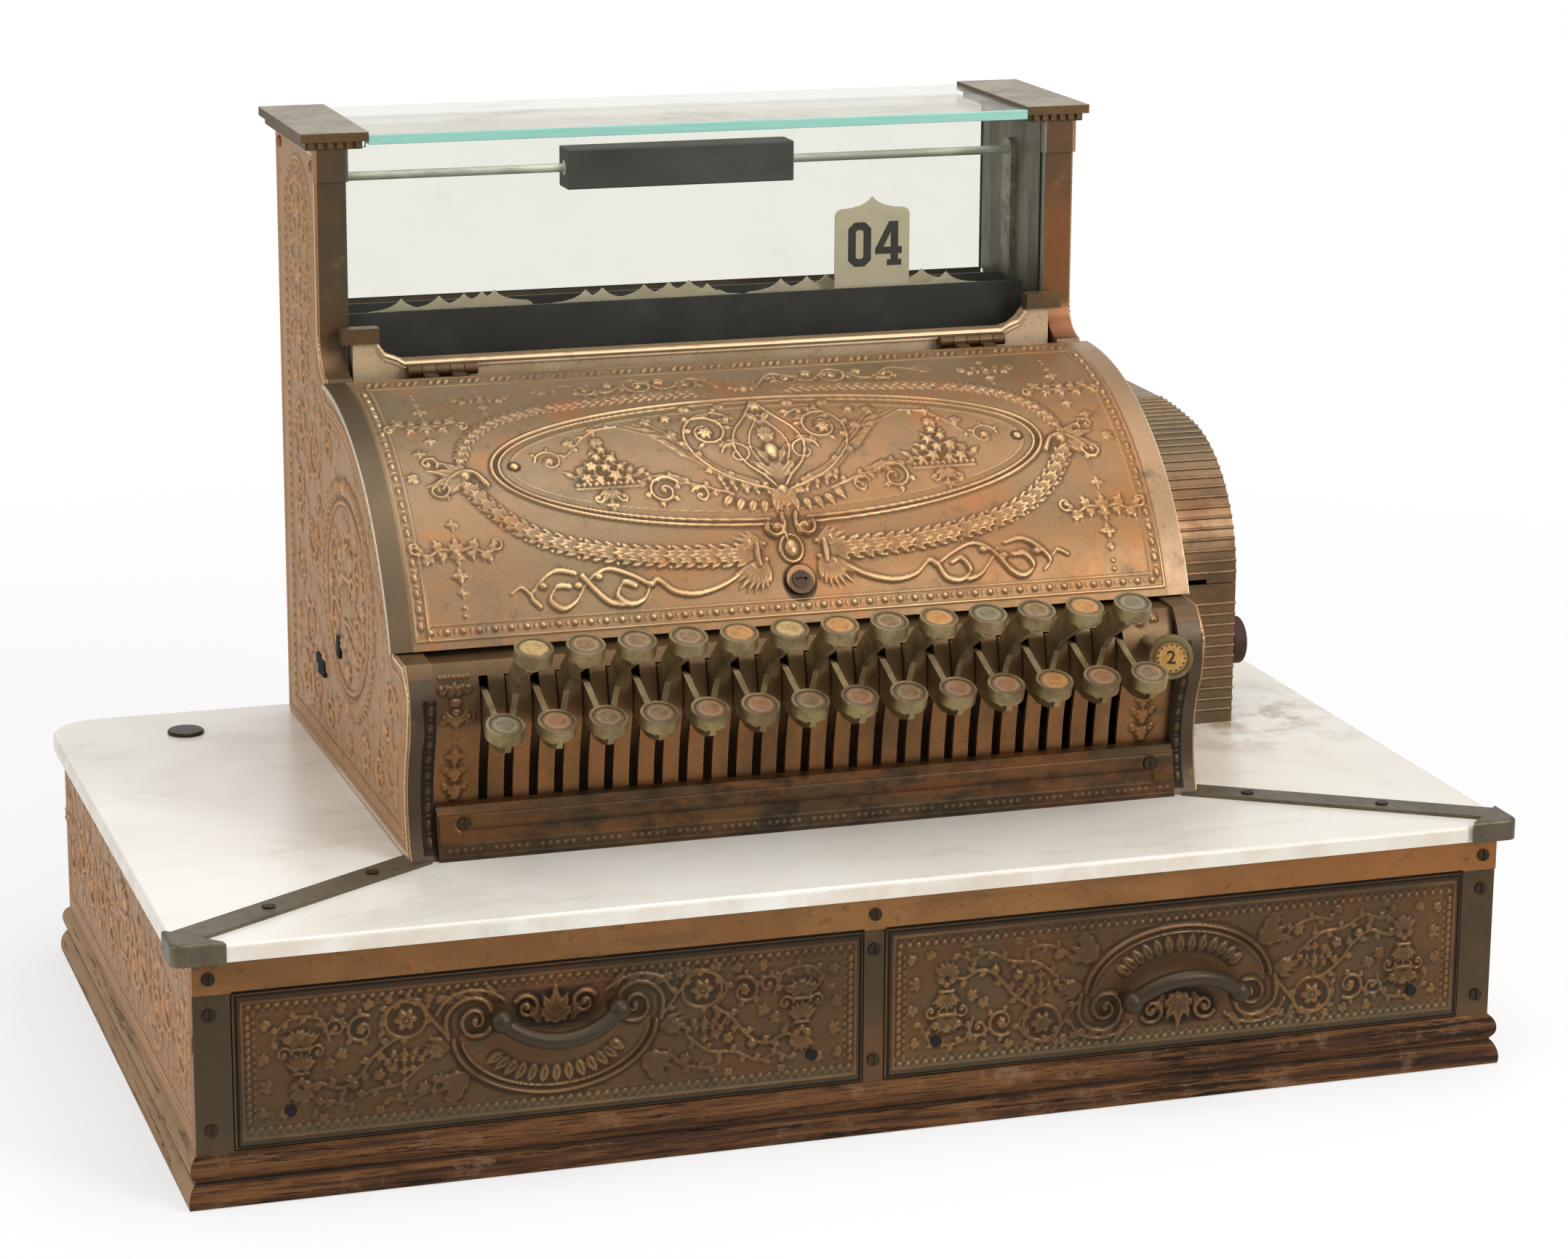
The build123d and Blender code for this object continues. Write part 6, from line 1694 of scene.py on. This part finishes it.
def side_medallion(medal):
    """Round wreath with a bead at its top and foot, and an urn between scrolls and flowers inside it."""
    for turns in ((-90, 90), (270, 90)):
        medal.garland(oval_line((0, 0), 62, 62, *turns, 10), 11, 1.4, 6.0)
    medal.cord(oval_line((0, 0), 53, 53), 2.0, 1.2)
    medal.vase((0, 2), 1.9, 1.5)
    for half in medal.halves():
        half.scroll((30, -18), 13, 150, -1, 1.5, 2.8, 1.3, 4)
        half.scroll((28, 20), 11, -30, 1, 1.5, 2.5, 1.2, 4)
        half.leaf((8, -28), -10, 22, 8, 1.2, 3)
        half.flower((40, 2), 5.5, 6, 1.2)
    medal.flower((0, -42), 6, 6, 1.3)
    medal.spray((0, 34), 90, 15, 6, 110, 5, 1.1)
    for v in (-62, 62):
        medal.dome((0, v), 5, height=1.9)


def side_sprays(art):
    """Scrolls, flowers and drops that fill the rest of the side."""
    for u, v, radius, start, hand in (
        (-66, 178, 16, 60, 1), (-70, 214, 12, 200, -1), (-40, 166, 10, 100, -1), (120, 176, 15, 120, -1),
        (152, 176, 12, 60, 1), (134, 208, 15, 250, 1), (158, 236, 12, 60, -1), (126, 262, 14, 150, 1),
        (158, 284, 12, 300, -1), (118, 312, 15, 200, 1), (152, 322, 12, 40, 1), (78, 324, 10, 120, -1),
        (-34, 300, 9, 60, 1), (-52, 262, 9, 220, -1), (140, 352, 11, 160, -1), (-4, 168, 9, 60, 1),
        (86, 166, 9, 120, -1),
    ):
        art.scroll((u, v), radius, start, hand, 1.5, 2.5, 1.2, 4)
    for u, v, size in (
        (-84, 190, 5), (-55, 196, 5), (-64, 240, 4.5), (36, 163, 6), (100, 196, 5), (166, 208, 4.5),
        (108, 284, 4.5), (160, 260, 4.5), (134, 296, 5), (100, 334, 4.5), (162, 348, 4.5), (-18, 314, 4),
        (20, 332, 4), (54, 340, 4),
    ):
        art.flower((u, v), size, 6, 1.2)
    for u, v, turn in (
        (-84, 162, 40), (-28, 186, 200), (-86, 226, 90), (64, 172, 30), (8, 170, 150), (104, 222, 60),
        (172, 196, 250), (170, 310, 270), (120, 340, 120), (-44, 284, 60), (-12, 326, 30),
        (88, 342, 160), (172, 228, 90), (150, 196, 90), (104, 244, 100), (96, 270, 60), (-58, 284, 70),
    ):
        art.spray((u, v), turn, 15, 5.5, 100, 5, 1.1)
    for z in (390, 428, 462):
        art.fleuron((COLUMN_Y, z), 1.25, 1, 1.2)
    for z in (372, 408, 444):
        art.flower((COLUMN_Y, z), 6.0, 6, 1.3)
        for half in art.halves((COLUMN_Y, z)):
            half.scroll((20, 0), 8.5, 180, -1, 1.4, 2.2, 1.1, 3)
            half.leaf((24, 14), 110, 14, 5.5, 1.0, 3)


def base_pattern(length, pitch):
    """Scroll vine between bead rows, mirrored about the middle of a cabinet side."""
    reach = length / 2 - 1.0
    art = Relief((-reach, reach), (-49.6, 49.6), pitch)
    art.frame_lines((-reach + 5, -44), (reach - 5, 44), 1.5, 0.8)
    art.frame_lines((-reach + 13, -36), (reach - 13, 36), 1.1, 0.5)
    for v in (-40, 40):
        art.bead_row((-reach + 9, v), (reach - 9, v), 5.4, 2.2, 1.8, 0.95)
    art.thicket(21, (-reach + 16, -33), (reach - 16, 33), 14.5, 12.0, 0.8)
    art.vase((0, 2), 1.7, 1.4)
    art.spray((0, -22), -90, 13, 6, 150, 7, 1.1)
    for half in art.halves():
        base_half(half, reach)
    return art


def base_half(half, reach):
    """Beads up one end, and the vine with its scrolls and flowers from the middle to that end."""
    half.bead_row((reach - 9, -34), (reach - 9, 34), 5.4, 1.8, 2.2, 0.95)
    count = int((reach - 60) // 34) + 1
    stem = [(16 + k * 17, 15 if k % 2 else -15) for k in range(2 * count + 1)]
    half.vine([point for point in stem if point[0] < reach - 26], 2.8, 1.1, 10, 9)
    for k in range(count):
        u = 38 + k * 34
        hand = 1 if k % 2 else -1
        if u > reach - 30:
            break
        half.scroll((u, hand * 6), 15, 105 + hand * 75, hand, 1.5, 2.8, 1.25, 5)
        half.flower((u, hand * 6), 5.5, 6, 1.4)
        half.spray((u + 17, -hand * 21.6), hand * 90, 12, 5, 120, 5, 1.0)
        half.flower((u + 10, -hand * 20.4), 4.2, 5, 1.1)
    half.fleuron((reach - 25, 4), 1.2, 1, 1.1)


# ---- add-on ------------------------------------------------------------------------------

class RegisterDetail(bpy.types.PropertyGroup):
    """How finely the embossed sheets are drawn."""

    lid_pitch: FloatProperty(
        name="Lid detail", description="Spacing of the lid's relief points",
        default=0.72 * MM, min=0.5 * MM, unit="LENGTH",
    )
    drawer_pitch: FloatProperty(
        name="Drawer detail", description="Spacing of the drawers' relief points",
        default=0.6 * MM, min=0.4 * MM, unit="LENGTH",
    )
    side_pitch: FloatProperty(
        name="Side detail", description="Spacing of the case sides' relief points",
        default=0.9 * MM, min=0.5 * MM, unit="LENGTH",
    )
    front_pitch: FloatProperty(
        name="Front detail", description="Spacing of the sill and key plate relief points",
        default=0.6 * MM, min=0.4 * MM, unit="LENGTH",
    )
    base_pitch: FloatProperty(
        name="Base detail", description="Spacing of the cabinet sides' relief points",
        default=1.0 * MM, min=0.5 * MM, unit="LENGTH",
    )


class RegisterStage(bpy.types.PropertyGroup):
    """Camera, lights and floor."""

    camera_place: FloatVectorProperty(
        name="Camera", description="Where the camera stands",
        default=(-0.6967, -2.1924, 0.8223), subtype="XYZ", unit="LENGTH",
    )
    camera_turn: FloatVectorProperty(
        name="Aim", description="Camera's turn to the right, tilt down and roll",
        default=(math.radians(18.02), math.radians(14.65), math.radians(0.35)), unit="ROTATION",
    )
    lens: FloatProperty(
        name="Lens", description="Focal length in millimetres on a 36 mm frame", default=97.855,
    )
    floor_size: FloatProperty(name="Floor", description="Side of the floor", default=40.0, unit="LENGTH")
    floor_colour: FloatVectorProperty(
        name="Floor colour", description="Colour of the pale floor",
        default=(0.93, 0.93, 0.93), subtype="COLOR", size=3,
    )


def settings():
    """The detail chosen for the embossed sheets."""
    return bpy.context.scene.register_detail


ROOM_LIGHT = 0.46
# name, place, aim, size and power of each light
LIGHTS = (
    ("overhead", (0.2, -0.3, 2.2), (0.0, 0.0, 0.2), (2.0, 1.6), 24.0),
    ("left_card", (-2.4, -0.2, 1.0), (0.0, 0.0, 0.2), (1.2, 1.6), 13.0),
    ("back_card", (0.4, 2.4, 1.3), (0.0, 0.0, 0.3), (2.6, 1.6), 8.0),
    ("front_right", (1.5, -2.3, 1.7), (0.0, 0.0, 0.2), (1.0, 1.0), 35.0),
)
WHITE = (1.0, 1.0, 1.0, 1.0)


class REGISTER_OT_stage(bpy.types.Operator):
    """Set the pale floor, the soft lights, the world and the camera"""

    bl_idname = "register.stage"
    bl_label = "Stage"

    def execute(self, context):
        stage = context.scene.register_stage
        context.scene.view_settings.view_transform = "Standard"
        self.make_world(context.scene)
        self.make_floor(stage)
        self.make_lights()
        self.make_camera(context.scene, stage)
        return {"FINISHED"}

    def make_world(self, scene):
        """White where the camera sees it, and a dimmer room to the rest of the light."""
        finish = Finish(bpy.data.worlds.new("studio"), "ShaderNodeOutputWorld")
        seen = finish.node("ShaderNodeLightPath", output="Is Camera Ray")
        strength = finish.node("ShaderNodeMapRange", (), {0: seen, 3: ROOM_LIGHT, 4: 1.0})
        glow = finish.node("ShaderNodeBackground", (), {"Color": WHITE, "Strength": strength})
        scene.world = finish.finished(glow)

    def make_floor(self, stage):
        """Pale paper that keeps the shadow near the object, fades to white and mirrors dark in front."""
        alone()
        bpy.ops.mesh.primitive_plane_add(size=stage.floor_size, location=(0, 0, -0.0005))
        floor = named("floor")
        finish = Finish("floor_paper")
        x, y, _ = finish.axes()
        seen = finish.node("ShaderNodeLightPath", output="Is Camera Ray")
        mirrored = finish.node("ShaderNodeLightPath", output="Is Glossy Ray")
        front = 1.0 - (y + 0.95).clamped(0.0, 0.9)
        dark = mirrored * front * 0.75
        sides = {0: dark, 6: (*stage.floor_colour, 1.0), 7: (0, 0, 0, 1)}
        shade = finish.node("ShaderNodeMix", {"data_type": "RGBA"}, sides, 2)
        paper = finish.surface(Base_Color=shade, Roughness=0.9, Specular_IOR_Level=0.1)
        glow = finish.node("ShaderNodeEmission", (), {"Color": WHITE, "Strength": 1.0})
        away = ((x * x + y * y) ** 0.5).clamped(0.45, 1.6)
        share = seen * (0.62 + away * 0.38)
        shown = finish.node("ShaderNodeMixShader", (), [share, paper, glow])
        floor.data.materials.append(finish.finished(shown))

    def make_lights(self):
        """Soft cards of light round the object."""
        for name, place, aim, size, power in LIGHTS:
            light = bpy.data.lights.new(name, "AREA")
            light.shape = "RECTANGLE"
            light.size, light.size_y = size
            light.energy = power
            lamp = bpy.data.objects.new(name, light)
            lamp.location = place
            lamp.rotation_euler = (Vector(aim) - Vector(place)).to_track_quat("-Z", "Y").to_euler()
            bpy.context.scene.collection.objects.link(lamp)

    def make_camera(self, scene, stage):
        """The camera, from its place, aim and lens."""
        turn, tilt, roll = stage.camera_turn
        ahead = Vector((math.sin(turn) * math.cos(tilt), math.cos(turn) * math.cos(tilt), -math.sin(tilt)))
        level = Vector((math.cos(turn), -math.sin(turn), 0.0))
        above = level.cross(ahead)
        right = level * math.cos(roll) + above * math.sin(roll)
        top = above * math.cos(roll) - level * math.sin(roll)
        data = bpy.data.cameras.new("camera")
        data.lens = stage.lens
        data.sensor_width = 36.0
        data.sensor_fit = "HORIZONTAL"
        data.clip_end = 100.0
        camera = bpy.data.objects.new("camera", data)
        axes = Matrix((right, top, -ahead)).transposed().to_4x4()
        camera.matrix_world = Matrix.Translation(stage.camera_place) @ axes
        scene.collection.objects.link(camera)
        scene.camera = camera


class REGISTER_OT_finishes(bpy.types.Operator):
    """Give every part of the frame its finish"""

    bl_idname = "register.finishes"
    bl_label = "Finishes"

    def execute(self, context):
        FINISHES.update(make_finishes())
        for name, node in NODES.items():
            dress(node, NODE_FINISH.get(name, "key"))
        return {"FINISHED"}


class REGISTER_OT_lid(bpy.types.Operator):
    """Emboss the curved lid"""

    bl_idname = "register.lid"
    bl_label = "Lid relief"

    def execute(self, context):
        art = lid_pattern(settings().lid_pitch / MM).settle(1.25)
        for name, low, high in (("left", 0.0, 0.5), ("right", 0.5, 1.0)):
            part = art.part(low, high)
            relief_sheet(f"lid_relief_{name}", "lid", part, on_lid, "lid", cuts=24)
        return {"FINISHED"}


HOLE_REACH = 137.5        # screw holes to the left and right of a drawer's middle
HOLE_Z = 46.5


def spot(name, body, place, radius, depth):
    """A small black disc facing forward, in place of a screw hole, painted shade for the hole's dark inside.
    """
    alone()
    bpy.ops.mesh.primitive_cylinder_add(vertices=20, radius=radius, depth=depth)
    piece = named(name)
    x, y, z = points_of(piece).T
    set_points(piece, (np.stack([x, -z, y], 1) + place) * MM)
    dress(piece, "hole")
    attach(piece, body)


class REGISTER_OT_drawers(bpy.types.Operator):
    """Emboss both drawer fronts"""

    bl_idname = "register.drawers"
    bl_label = "Drawer reliefs"

    def execute(self, context):
        art = drawer_pattern(settings().drawer_pitch / MM).settle(1.15)
        for side, name in SIDES:
            body = f"drawer_{name}"
            relief_sheet(f"{body}_relief", body, art, on_drawer(side), "drawer")
            for end, edge in SIDES:
                place = (side * DRAWER_X + end * HOLE_REACH, DRAWER_FACE_Y - 0.5, HOLE_Z)
                spot(f"{body}_hole_{edge}", body, place, 3.0, 1.8)
        return {"FINISHED"}


# dark slot in the left side with the tail of its catch, and a worn hole in front of it; slot and hole are
# black boxes, painted shade for their dark insides
LATCH = (
    ("side_slot", (-HALF_CASE - 0.9, 108.0, 190.0), (2.0, 22.0, 11.0), "hole", "black_paint"),
    ("side_catch", (-HALF_CASE - 1.6, 112.0, 188.0), (2.6, 8.0, 6.0), "strip", "strip_metal"),
    ("side_hole", (-HALF_CASE - 0.9, 58.0, 213.0), (2.0, 8.0, 12.0), "hole", "black_paint"),
)
# place, y and z of the screws on each side of the window
SIDE_SCREWS = (("front", 108.0, 474.0), ("back", 196.0, 476.0))


class REGISTER_OT_sides(bpy.types.Operator):
    """Emboss both sides of the case"""

    bl_idname = "register.sides"
    bl_label = "Case side reliefs"

    def execute(self, context):
        outline = side_outline()
        art = case_side_pattern(settings().side_pitch / MM, outline).settle(1.35)

        def keep_left(u, v):
            return edge_distance(outline, u, v) > 1.2

        def keep_right(u, v):
            return keep_left(u, v) & ~((u > PRINTER_FRONT) & (v < PRINTER_TOP))

        for side, name, keep in ((-1, "left", keep_left), (1, "right", keep_right)):
            def place(u, v, height):
                if side > 0:
                    swept = np.hypot(u - COVER_HINGE[0], v - COVER_HINGE[1]) - COVER_REACH
                    height = np.minimum(height, SKIN + (height - SKIN) * np.clip(swept / 6, 0.15, 1))
                return side * (HALF_CASE + height), u, v

            relief_sheet(f"case_side_{name}_relief", "frame", art, place, "side", keep=keep)
        for name, middle, sizes, finish, slot in LATCH:
            piece = cube(name)
            rounded(piece, 0.12)
            sized(piece, sizes, middle)
            dress(piece, finish)
            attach(piece, "frame")
        for side, name in SIDES:
            for place, y, z in SIDE_SCREWS:
                alone()
                bpy.ops.mesh.primitive_uv_sphere_add(segments=20, ring_count=8, radius=1)
                piece = named(f"case_{name}_{place}_screw")
                sized(piece, (1.7, 3.4, 3.4), (side * (HALF_CASE + 0.4), y, z))
                bpy.ops.object.shade_smooth()
                dress(piece, "copper")
                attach(piece, "frame")
        return {"FINISHED"}


class REGISTER_OT_base(bpy.types.Operator):
    """Emboss the sides and back of the cabinet"""

    bl_idname = "register.base"
    bl_label = "Cabinet reliefs"

    def execute(self, context):
        pitch = settings().base_pitch / MM
        side_art = base_pattern(CABINET_DEPTH - 2.0, pitch).settle(1.3)
        back_art = base_pattern(2 * HALF_CABINET - 4.0, pitch * 1.3).settle(1.5)
        for side, name in SIDES:
            def place(u, v, height):
                return side * (HALF_CABINET + height), u, BASE_MIDDLE_Z + v

            relief_sheet(f"base_{name}_relief", "frame", side_art, place, "side")

        def behind(u, v, height):
            return u, BACK_Y + height, BASE_MIDDLE_Z + v

        relief_sheet("base_back_relief", "frame", back_art, behind, "side")
        return {"FINISHED"}


class REGISTER_OT_front(bpy.types.Operator):
    """Emboss the sill and the ends of the key plate, and string beads beside the plate"""

    bl_idname = "register.front"
    bl_label = "Front reliefs"

    def execute(self, context):
        pitch = settings().front_pitch / MM
        plate = on_profile(plate_line())
        for name, span in PLATE_ENDS:
            art = plate_end_pattern(span, pitch).settle(1.7)
            piece = f"key_plate_{name}_relief"
            relief_sheet(piece, "frame", art, plate, "plate_relief", cuts=16)
        sill = on_profile(SILL_LINE)
        art = sill_pattern(pitch).settle()
        relief_sheet("key_sill_relief", "frame", art, sill, "sill_relief")
        art, edge = window_sill_pattern(pitch)
        art.settle(1.3)

        def on_sill(u, v, height):
            return u, WINDOW_SILL_Y - height, v

        def under_edge(u, v):
            return v < np.interp(u, edge[:, 0], edge[:, 1]) - 0.4

        relief_sheet("window_sill_relief", "frame", art, on_sill, "ledge", keep=under_edge)
        casing = on_profile(casing_line())
        for name, span in BEAD_STRIPS:
            art = bead_strip_pattern(span, pitch).settle()
            relief_sheet(f"casing_{name}_beads", "frame", art, casing, "beads", cuts=16)
        return {"FINISHED"}


TOP_REACH = 193.7         # half the length of the top glass, and of the tongues that reach up to it
# name, lowest and highest corner, edge width, and the axis that its clear faces are square to
PANES = (
    ("glass_front", (-206.3, 104.0, 351.5), (206.3, 108.0, 484.0), 0.3, 1),
    ("glass_back", (-206.3, 202.0, 381.5), (206.3, 206.0, 484.0), 0.3, 1),
    ("glass_top", (-TOP_REACH, 96.0, 486.25), (TOP_REACH, 215.0, 491.75), 0.5, 2),
)


class REGISTER_OT_glass(bpy.types.Operator):
    """Make the three window panes with their polished edges"""

    bl_idname = "register.glass"
    bl_label = "Window glass"

    def execute(self, context):
        for name, low, high, arris, axis in PANES:
            pane = cube(name)
            sized(pane, np.subtract(high, low), np.add(high, low) / 2)
            if name != "glass_top":
                self.raise_tongue(pane)
            rounded(pane, arris * MM, limit_method="ANGLE")
            self.finish_edges(pane, axis)
            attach(pane, "frame")
        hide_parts("glass_panes")
        return {"FINISHED"}

    def raise_tongue(self, pane):
        """Carries the pane up between the capitals to the top glass."""
        bpy.ops.object.mode_set(mode="EDIT")
        for x in (-TOP_REACH, TOP_REACH):
            bpy.ops.mesh.select_all(action="SELECT")
            bpy.ops.mesh.bisect(plane_co=(x * MM, 0, 0), plane_no=(1, 0, 0))
        bpy.ops.object.mode_set(mode="OBJECT")
        for face in pane.data.polygons:
            face.select = face.normal.z > 0.9 and abs(face.center.x) < 0.01
        bpy.ops.object.mode_set(mode="EDIT")
        bpy.ops.mesh.select_mode(type="FACE")
        bpy.ops.mesh.extrude_region_move(TRANSFORM_OT_translate={"value": (0, 0, 2.2 * MM)})
        bpy.ops.object.mode_set(mode="OBJECT")

    def finish_edges(self, pane, axis):
        """Clear glass on the faces square to one axis, green on the edges."""
        pane.data.materials.append(FINISHES["glass"])
        pane.data.materials.append(FINISHES["glass_edge"])
        for face in pane.data.polygons:
            face.material_index = 0 if abs(face.normal[axis]) > 0.95 else 1


UPPER_TINTS = (
    "cream", "brown", "brown", "brown", "orange", "cream", "orange", "brown", "orange", "grey", "brown",
    "orange", "grey",
)
LOWER_TINTS = (
    "grey", "pink", "brown", "brown", "pink", "pink", "brown", "pink", "brown", "pink", "pink", "orange",
    "pink", "brown",
)
KEYS_X = -2.5             # middle of both rows of keys
KEY_PITCH = 27.5
# row, middle of its discs, tilt in degrees, value of its first key and tints; values rise by ten
DISC_ROWS = (
    ("upper", (-153.0, 262.0), 18.0, 10, UPPER_TINTS),
    ("lower", (-146.5, 220.5), 21.0, 5, LOWER_TINTS),
)
DISC_RADIUS = 8.45
DISC_SUNK = 0.62
SIDE_KEY_CAP = (199.0, -122.0, 221.0)
SIDE_KEY_RISE = 1.95      # from the cap's middle to its disc


class REGISTER_OT_key_discs(bpy.types.Operator):
    """Set a numbered paper disc in the cap of every key"""

    bl_idname = "register.key_discs"
    bl_label = "Key discs"

    def execute(self, context):
        for row, (y, z), tilt, first, tints in DISC_ROWS:
            start = KEYS_X - (len(tints) - 1) / 2 * KEY_PITCH
            for index, tint in enumerate(tints):
                middle = Matrix.Translation((start + index * KEY_PITCH, y, z))
                place = middle @ Matrix.Rotation(math.radians(tilt), 4, "X")
                body = f"key_{row}_{index + 1:02d}"
                value = first + 10 * index
                disc(f"{body}_disc", body, place, f"{tint}_disc")
                number(f"{body}_number", body, str(value), place @ Matrix.Translation((0, 0, -0.15)), 5.4)
        turn = Matrix.Rotation(math.radians(-20.0), 4, "Z") @ Matrix.Rotation(math.radians(90.0), 4, "X")
        place = Matrix.Translation(SIDE_KEY_CAP) @ turn @ Matrix.Translation((0, 0, SIDE_KEY_RISE))
        disc("side_key_disc", "side_key", place, "gold_disc", 9.6 / DISC_RADIUS)
        number("side_key_number", "side_key", "2", place @ Matrix.Translation((0, 0, 0.08)), 10.5)
        self.dots(place)
        return {"FINISHED"}

    def dots(self, place):
        """Ring of beads round the side key's number."""
        beads = []
        for k in range(16):
            alone()
            bpy.ops.mesh.primitive_uv_sphere_add(segments=8, ring_count=5, radius=0.55)
            turn = 2 * math.pi * k / 16
            beads.append(named(f"side_key_dots_{k}"))
            set_points(beads[-1], points_of(beads[-1]) + (7.3 * math.cos(turn), 7.3 * math.sin(turn), 0))
        for bead in beads:
            bead.select_set(True)
        bpy.ops.object.join()
        piece = named("side_key_dots")
        set_points(piece, moved(points_of(piece), place))
        dress(piece, "ink")
        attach(piece, "side_key")


def moved(points, place):
    """Points in millimetres carried by a placement, in metres."""
    turn = np.array(place.to_3x3())
    return (points @ turn.T + np.array(place.translation)) * MM


def disc(name, body, place, finish, scale=1.0):
    """A thin domed disc whose rings carry how far out each point is."""
    alone()
    bpy.ops.mesh.primitive_circle_add(vertices=28, radius=DISC_RADIUS, fill_type="NGON")
    piece = named(name)
    bpy.ops.object.mode_set(mode="EDIT")
    bpy.ops.mesh.extrude_region_move(TRANSFORM_OT_translate={"value": (0, 0, 0.4)})
    for inset, lift in ((0.5, 0.10), (0.9, 0.08), (0.7, 0.04), (0.7, 0.03), (0.7, 0.02), (1.6, 0.02)):
        bpy.ops.mesh.inset(thickness=inset, depth=0)
        bpy.ops.transform.translate(value=(0, 0, lift))
    closed()
    points = points_of(piece)
    ring = np.hypot(points[:, 0], points[:, 1]) / DISC_RADIUS
    note(piece, "ring", ring)
    points[:, :2] *= scale
    points[:, 2] -= DISC_SUNK
    set_points(piece, moved(points, place))
    bpy.ops.object.shade_smooth()
    dress(piece, finish)
    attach(piece, body)


def number(name, body, value, place, size):
    """A flat printed number."""
    alone()
    bpy.ops.object.text_add()
    text = bpy.context.object
    text.data.body = value
    text.data.size = size
    text.data.offset = 0.02 * size
    text.data.resolution_u = 2
    text.data.extrude = 0.04
    text.data.align_x = "CENTER"
    text.data.align_y = "CENTER"
    bpy.ops.object.convert(target="MESH")
    piece = named(name)
    set_points(piece, moved(points_of(piece), place))
    dress(piece, "ink")
    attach(piece, body)


OCTAGON = ((-0.45, -1), (0.45, -1), (1, -0.72), (1, 0.72), (0.45, 1), (-0.45, 1), (-1, 0.72), (-1, -0.72))
FLAG_X = 114.8
FLAG_FACE_Y = 135.95
FLAG_NUMBER_Z = 411.0


class REGISTER_OT_number(bpy.types.Operator):
    """Paint the plain number on the raised flag in heavy block figures"""

    bl_idname = "register.number"
    bl_label = "Flag number"

    def execute(self, context):
        self.nought((-9.6, 0.0))
        self.four((9.2, 0.0))
        return {"FINISHED"}

    def nought(self, middle):
        """A tall ring with cut corners."""
        outline = [(x * 7.4, y * 14.0) for x, y in OCTAGON]
        piece = self.plate("flag_nought", outline, middle)
        bpy.ops.object.mode_set(mode="EDIT")
        bpy.ops.mesh.select_mode(type="FACE")
        bpy.ops.mesh.select_all(action="SELECT")
        bpy.ops.mesh.inset(thickness=4.9, depth=0)
        bpy.ops.mesh.delete(type="FACE")
        self.finish(piece, 0.12)

    def four(self, middle):
        """An upright on a serif, a bar and a slope."""
        shapes = (
            ("upright", [(1.4, -14), (6.2, -14), (6.2, 14), (1.4, 14)], 0.12),
            ("foot", [(-1.0, -14), (8.4, -14), (8.4, -10.2), (-1.0, -10.2)], 0.13),
            ("bar", [(-8.6, -6.6), (8.6, -6.6), (8.6, -2.2), (-8.6, -2.2)], 0.14),
            ("slope", [(-8.6, -3.4), (-3.9, -3.4), (4.6, 14), (0.2, 14)], 0.15),
        )
        for name, outline, height in shapes:
            self.finish(self.plate(f"flag_four_{name}", outline, middle), height)

    def plate(self, name, outline, middle):
        """A flat face with the outline given, in the flag's own plane."""
        alone()
        bpy.ops.mesh.primitive_circle_add(vertices=len(outline), radius=1, fill_type="NGON")
        piece = named(name)
        set_points(piece, [(x + middle[0], y + middle[1], 0) for x, y in outline])
        return piece

    def finish(self, piece, height):
        """Thickens a flat figure and stands it on the flag."""
        if bpy.context.mode == "OBJECT":
            bpy.ops.object.mode_set(mode="EDIT")
        bpy.ops.mesh.select_all(action="SELECT")
        bpy.ops.mesh.extrude_region_move(TRANSFORM_OT_translate={"value": (0, 0, height)})
        closed()
        x, y, z = points_of(piece).T
        placed = [x * 0.95 + FLAG_X, FLAG_FACE_Y - z, y * 0.93 + FLAG_NUMBER_Z]
        set_points(piece, np.stack(placed, 1) * MM)
        dress(piece, "black")
        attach(piece, "flag")


class REGISTER_PT_panel(bpy.types.Panel):
    """Sizes and pieces of the ticket register"""

    bl_idname = "REGISTER_PT_panel"
    bl_label = "Ticket Register"
    bl_space_type = "VIEW_3D"
    bl_region_type = "UI"
    bl_category = "Register"

    def draw(self, context):
        layout = self.layout
        for group in (context.scene.register_detail, context.scene.register_stage):
            for name in group.__annotations__:
                layout.prop(group, name)
        for operator in OPERATORS:
            layout.operator(operator.bl_idname)


OPERATORS = (
    REGISTER_OT_stage,
    REGISTER_OT_finishes,
    REGISTER_OT_lid,
    REGISTER_OT_drawers,
    REGISTER_OT_sides,
    REGISTER_OT_base,
    REGISTER_OT_front,
    REGISTER_OT_glass,
    REGISTER_OT_key_discs,
    REGISTER_OT_number,
)
CLASSES = (RegisterDetail, RegisterStage, *OPERATORS, REGISTER_PT_panel)


def register():
    """Adds the classes and the settings to Blender."""
    for kind in CLASSES:
        bpy.utils.register_class(kind)
    bpy.types.Scene.register_detail = PointerProperty(type=RegisterDetail)
    bpy.types.Scene.register_stage = PointerProperty(type=RegisterStage)


def unregister():
    """Takes the settings and the classes out again."""
    del bpy.types.Scene.register_detail
    del bpy.types.Scene.register_stage
    for kind in reversed(CLASSES):
        bpy.utils.unregister_class(kind)


def main():
    """Runs every operator in order."""
    register()
    bpy.ops.register.stage()
    bpy.ops.register.finishes()
    bpy.ops.register.lid()
    bpy.ops.register.drawers()
    bpy.ops.register.sides()
    bpy.ops.register.base()
    bpy.ops.register.front()
    bpy.ops.register.glass()
    bpy.ops.register.key_discs()
    bpy.ops.register.number()


if __name__ == "__main__":
    main()
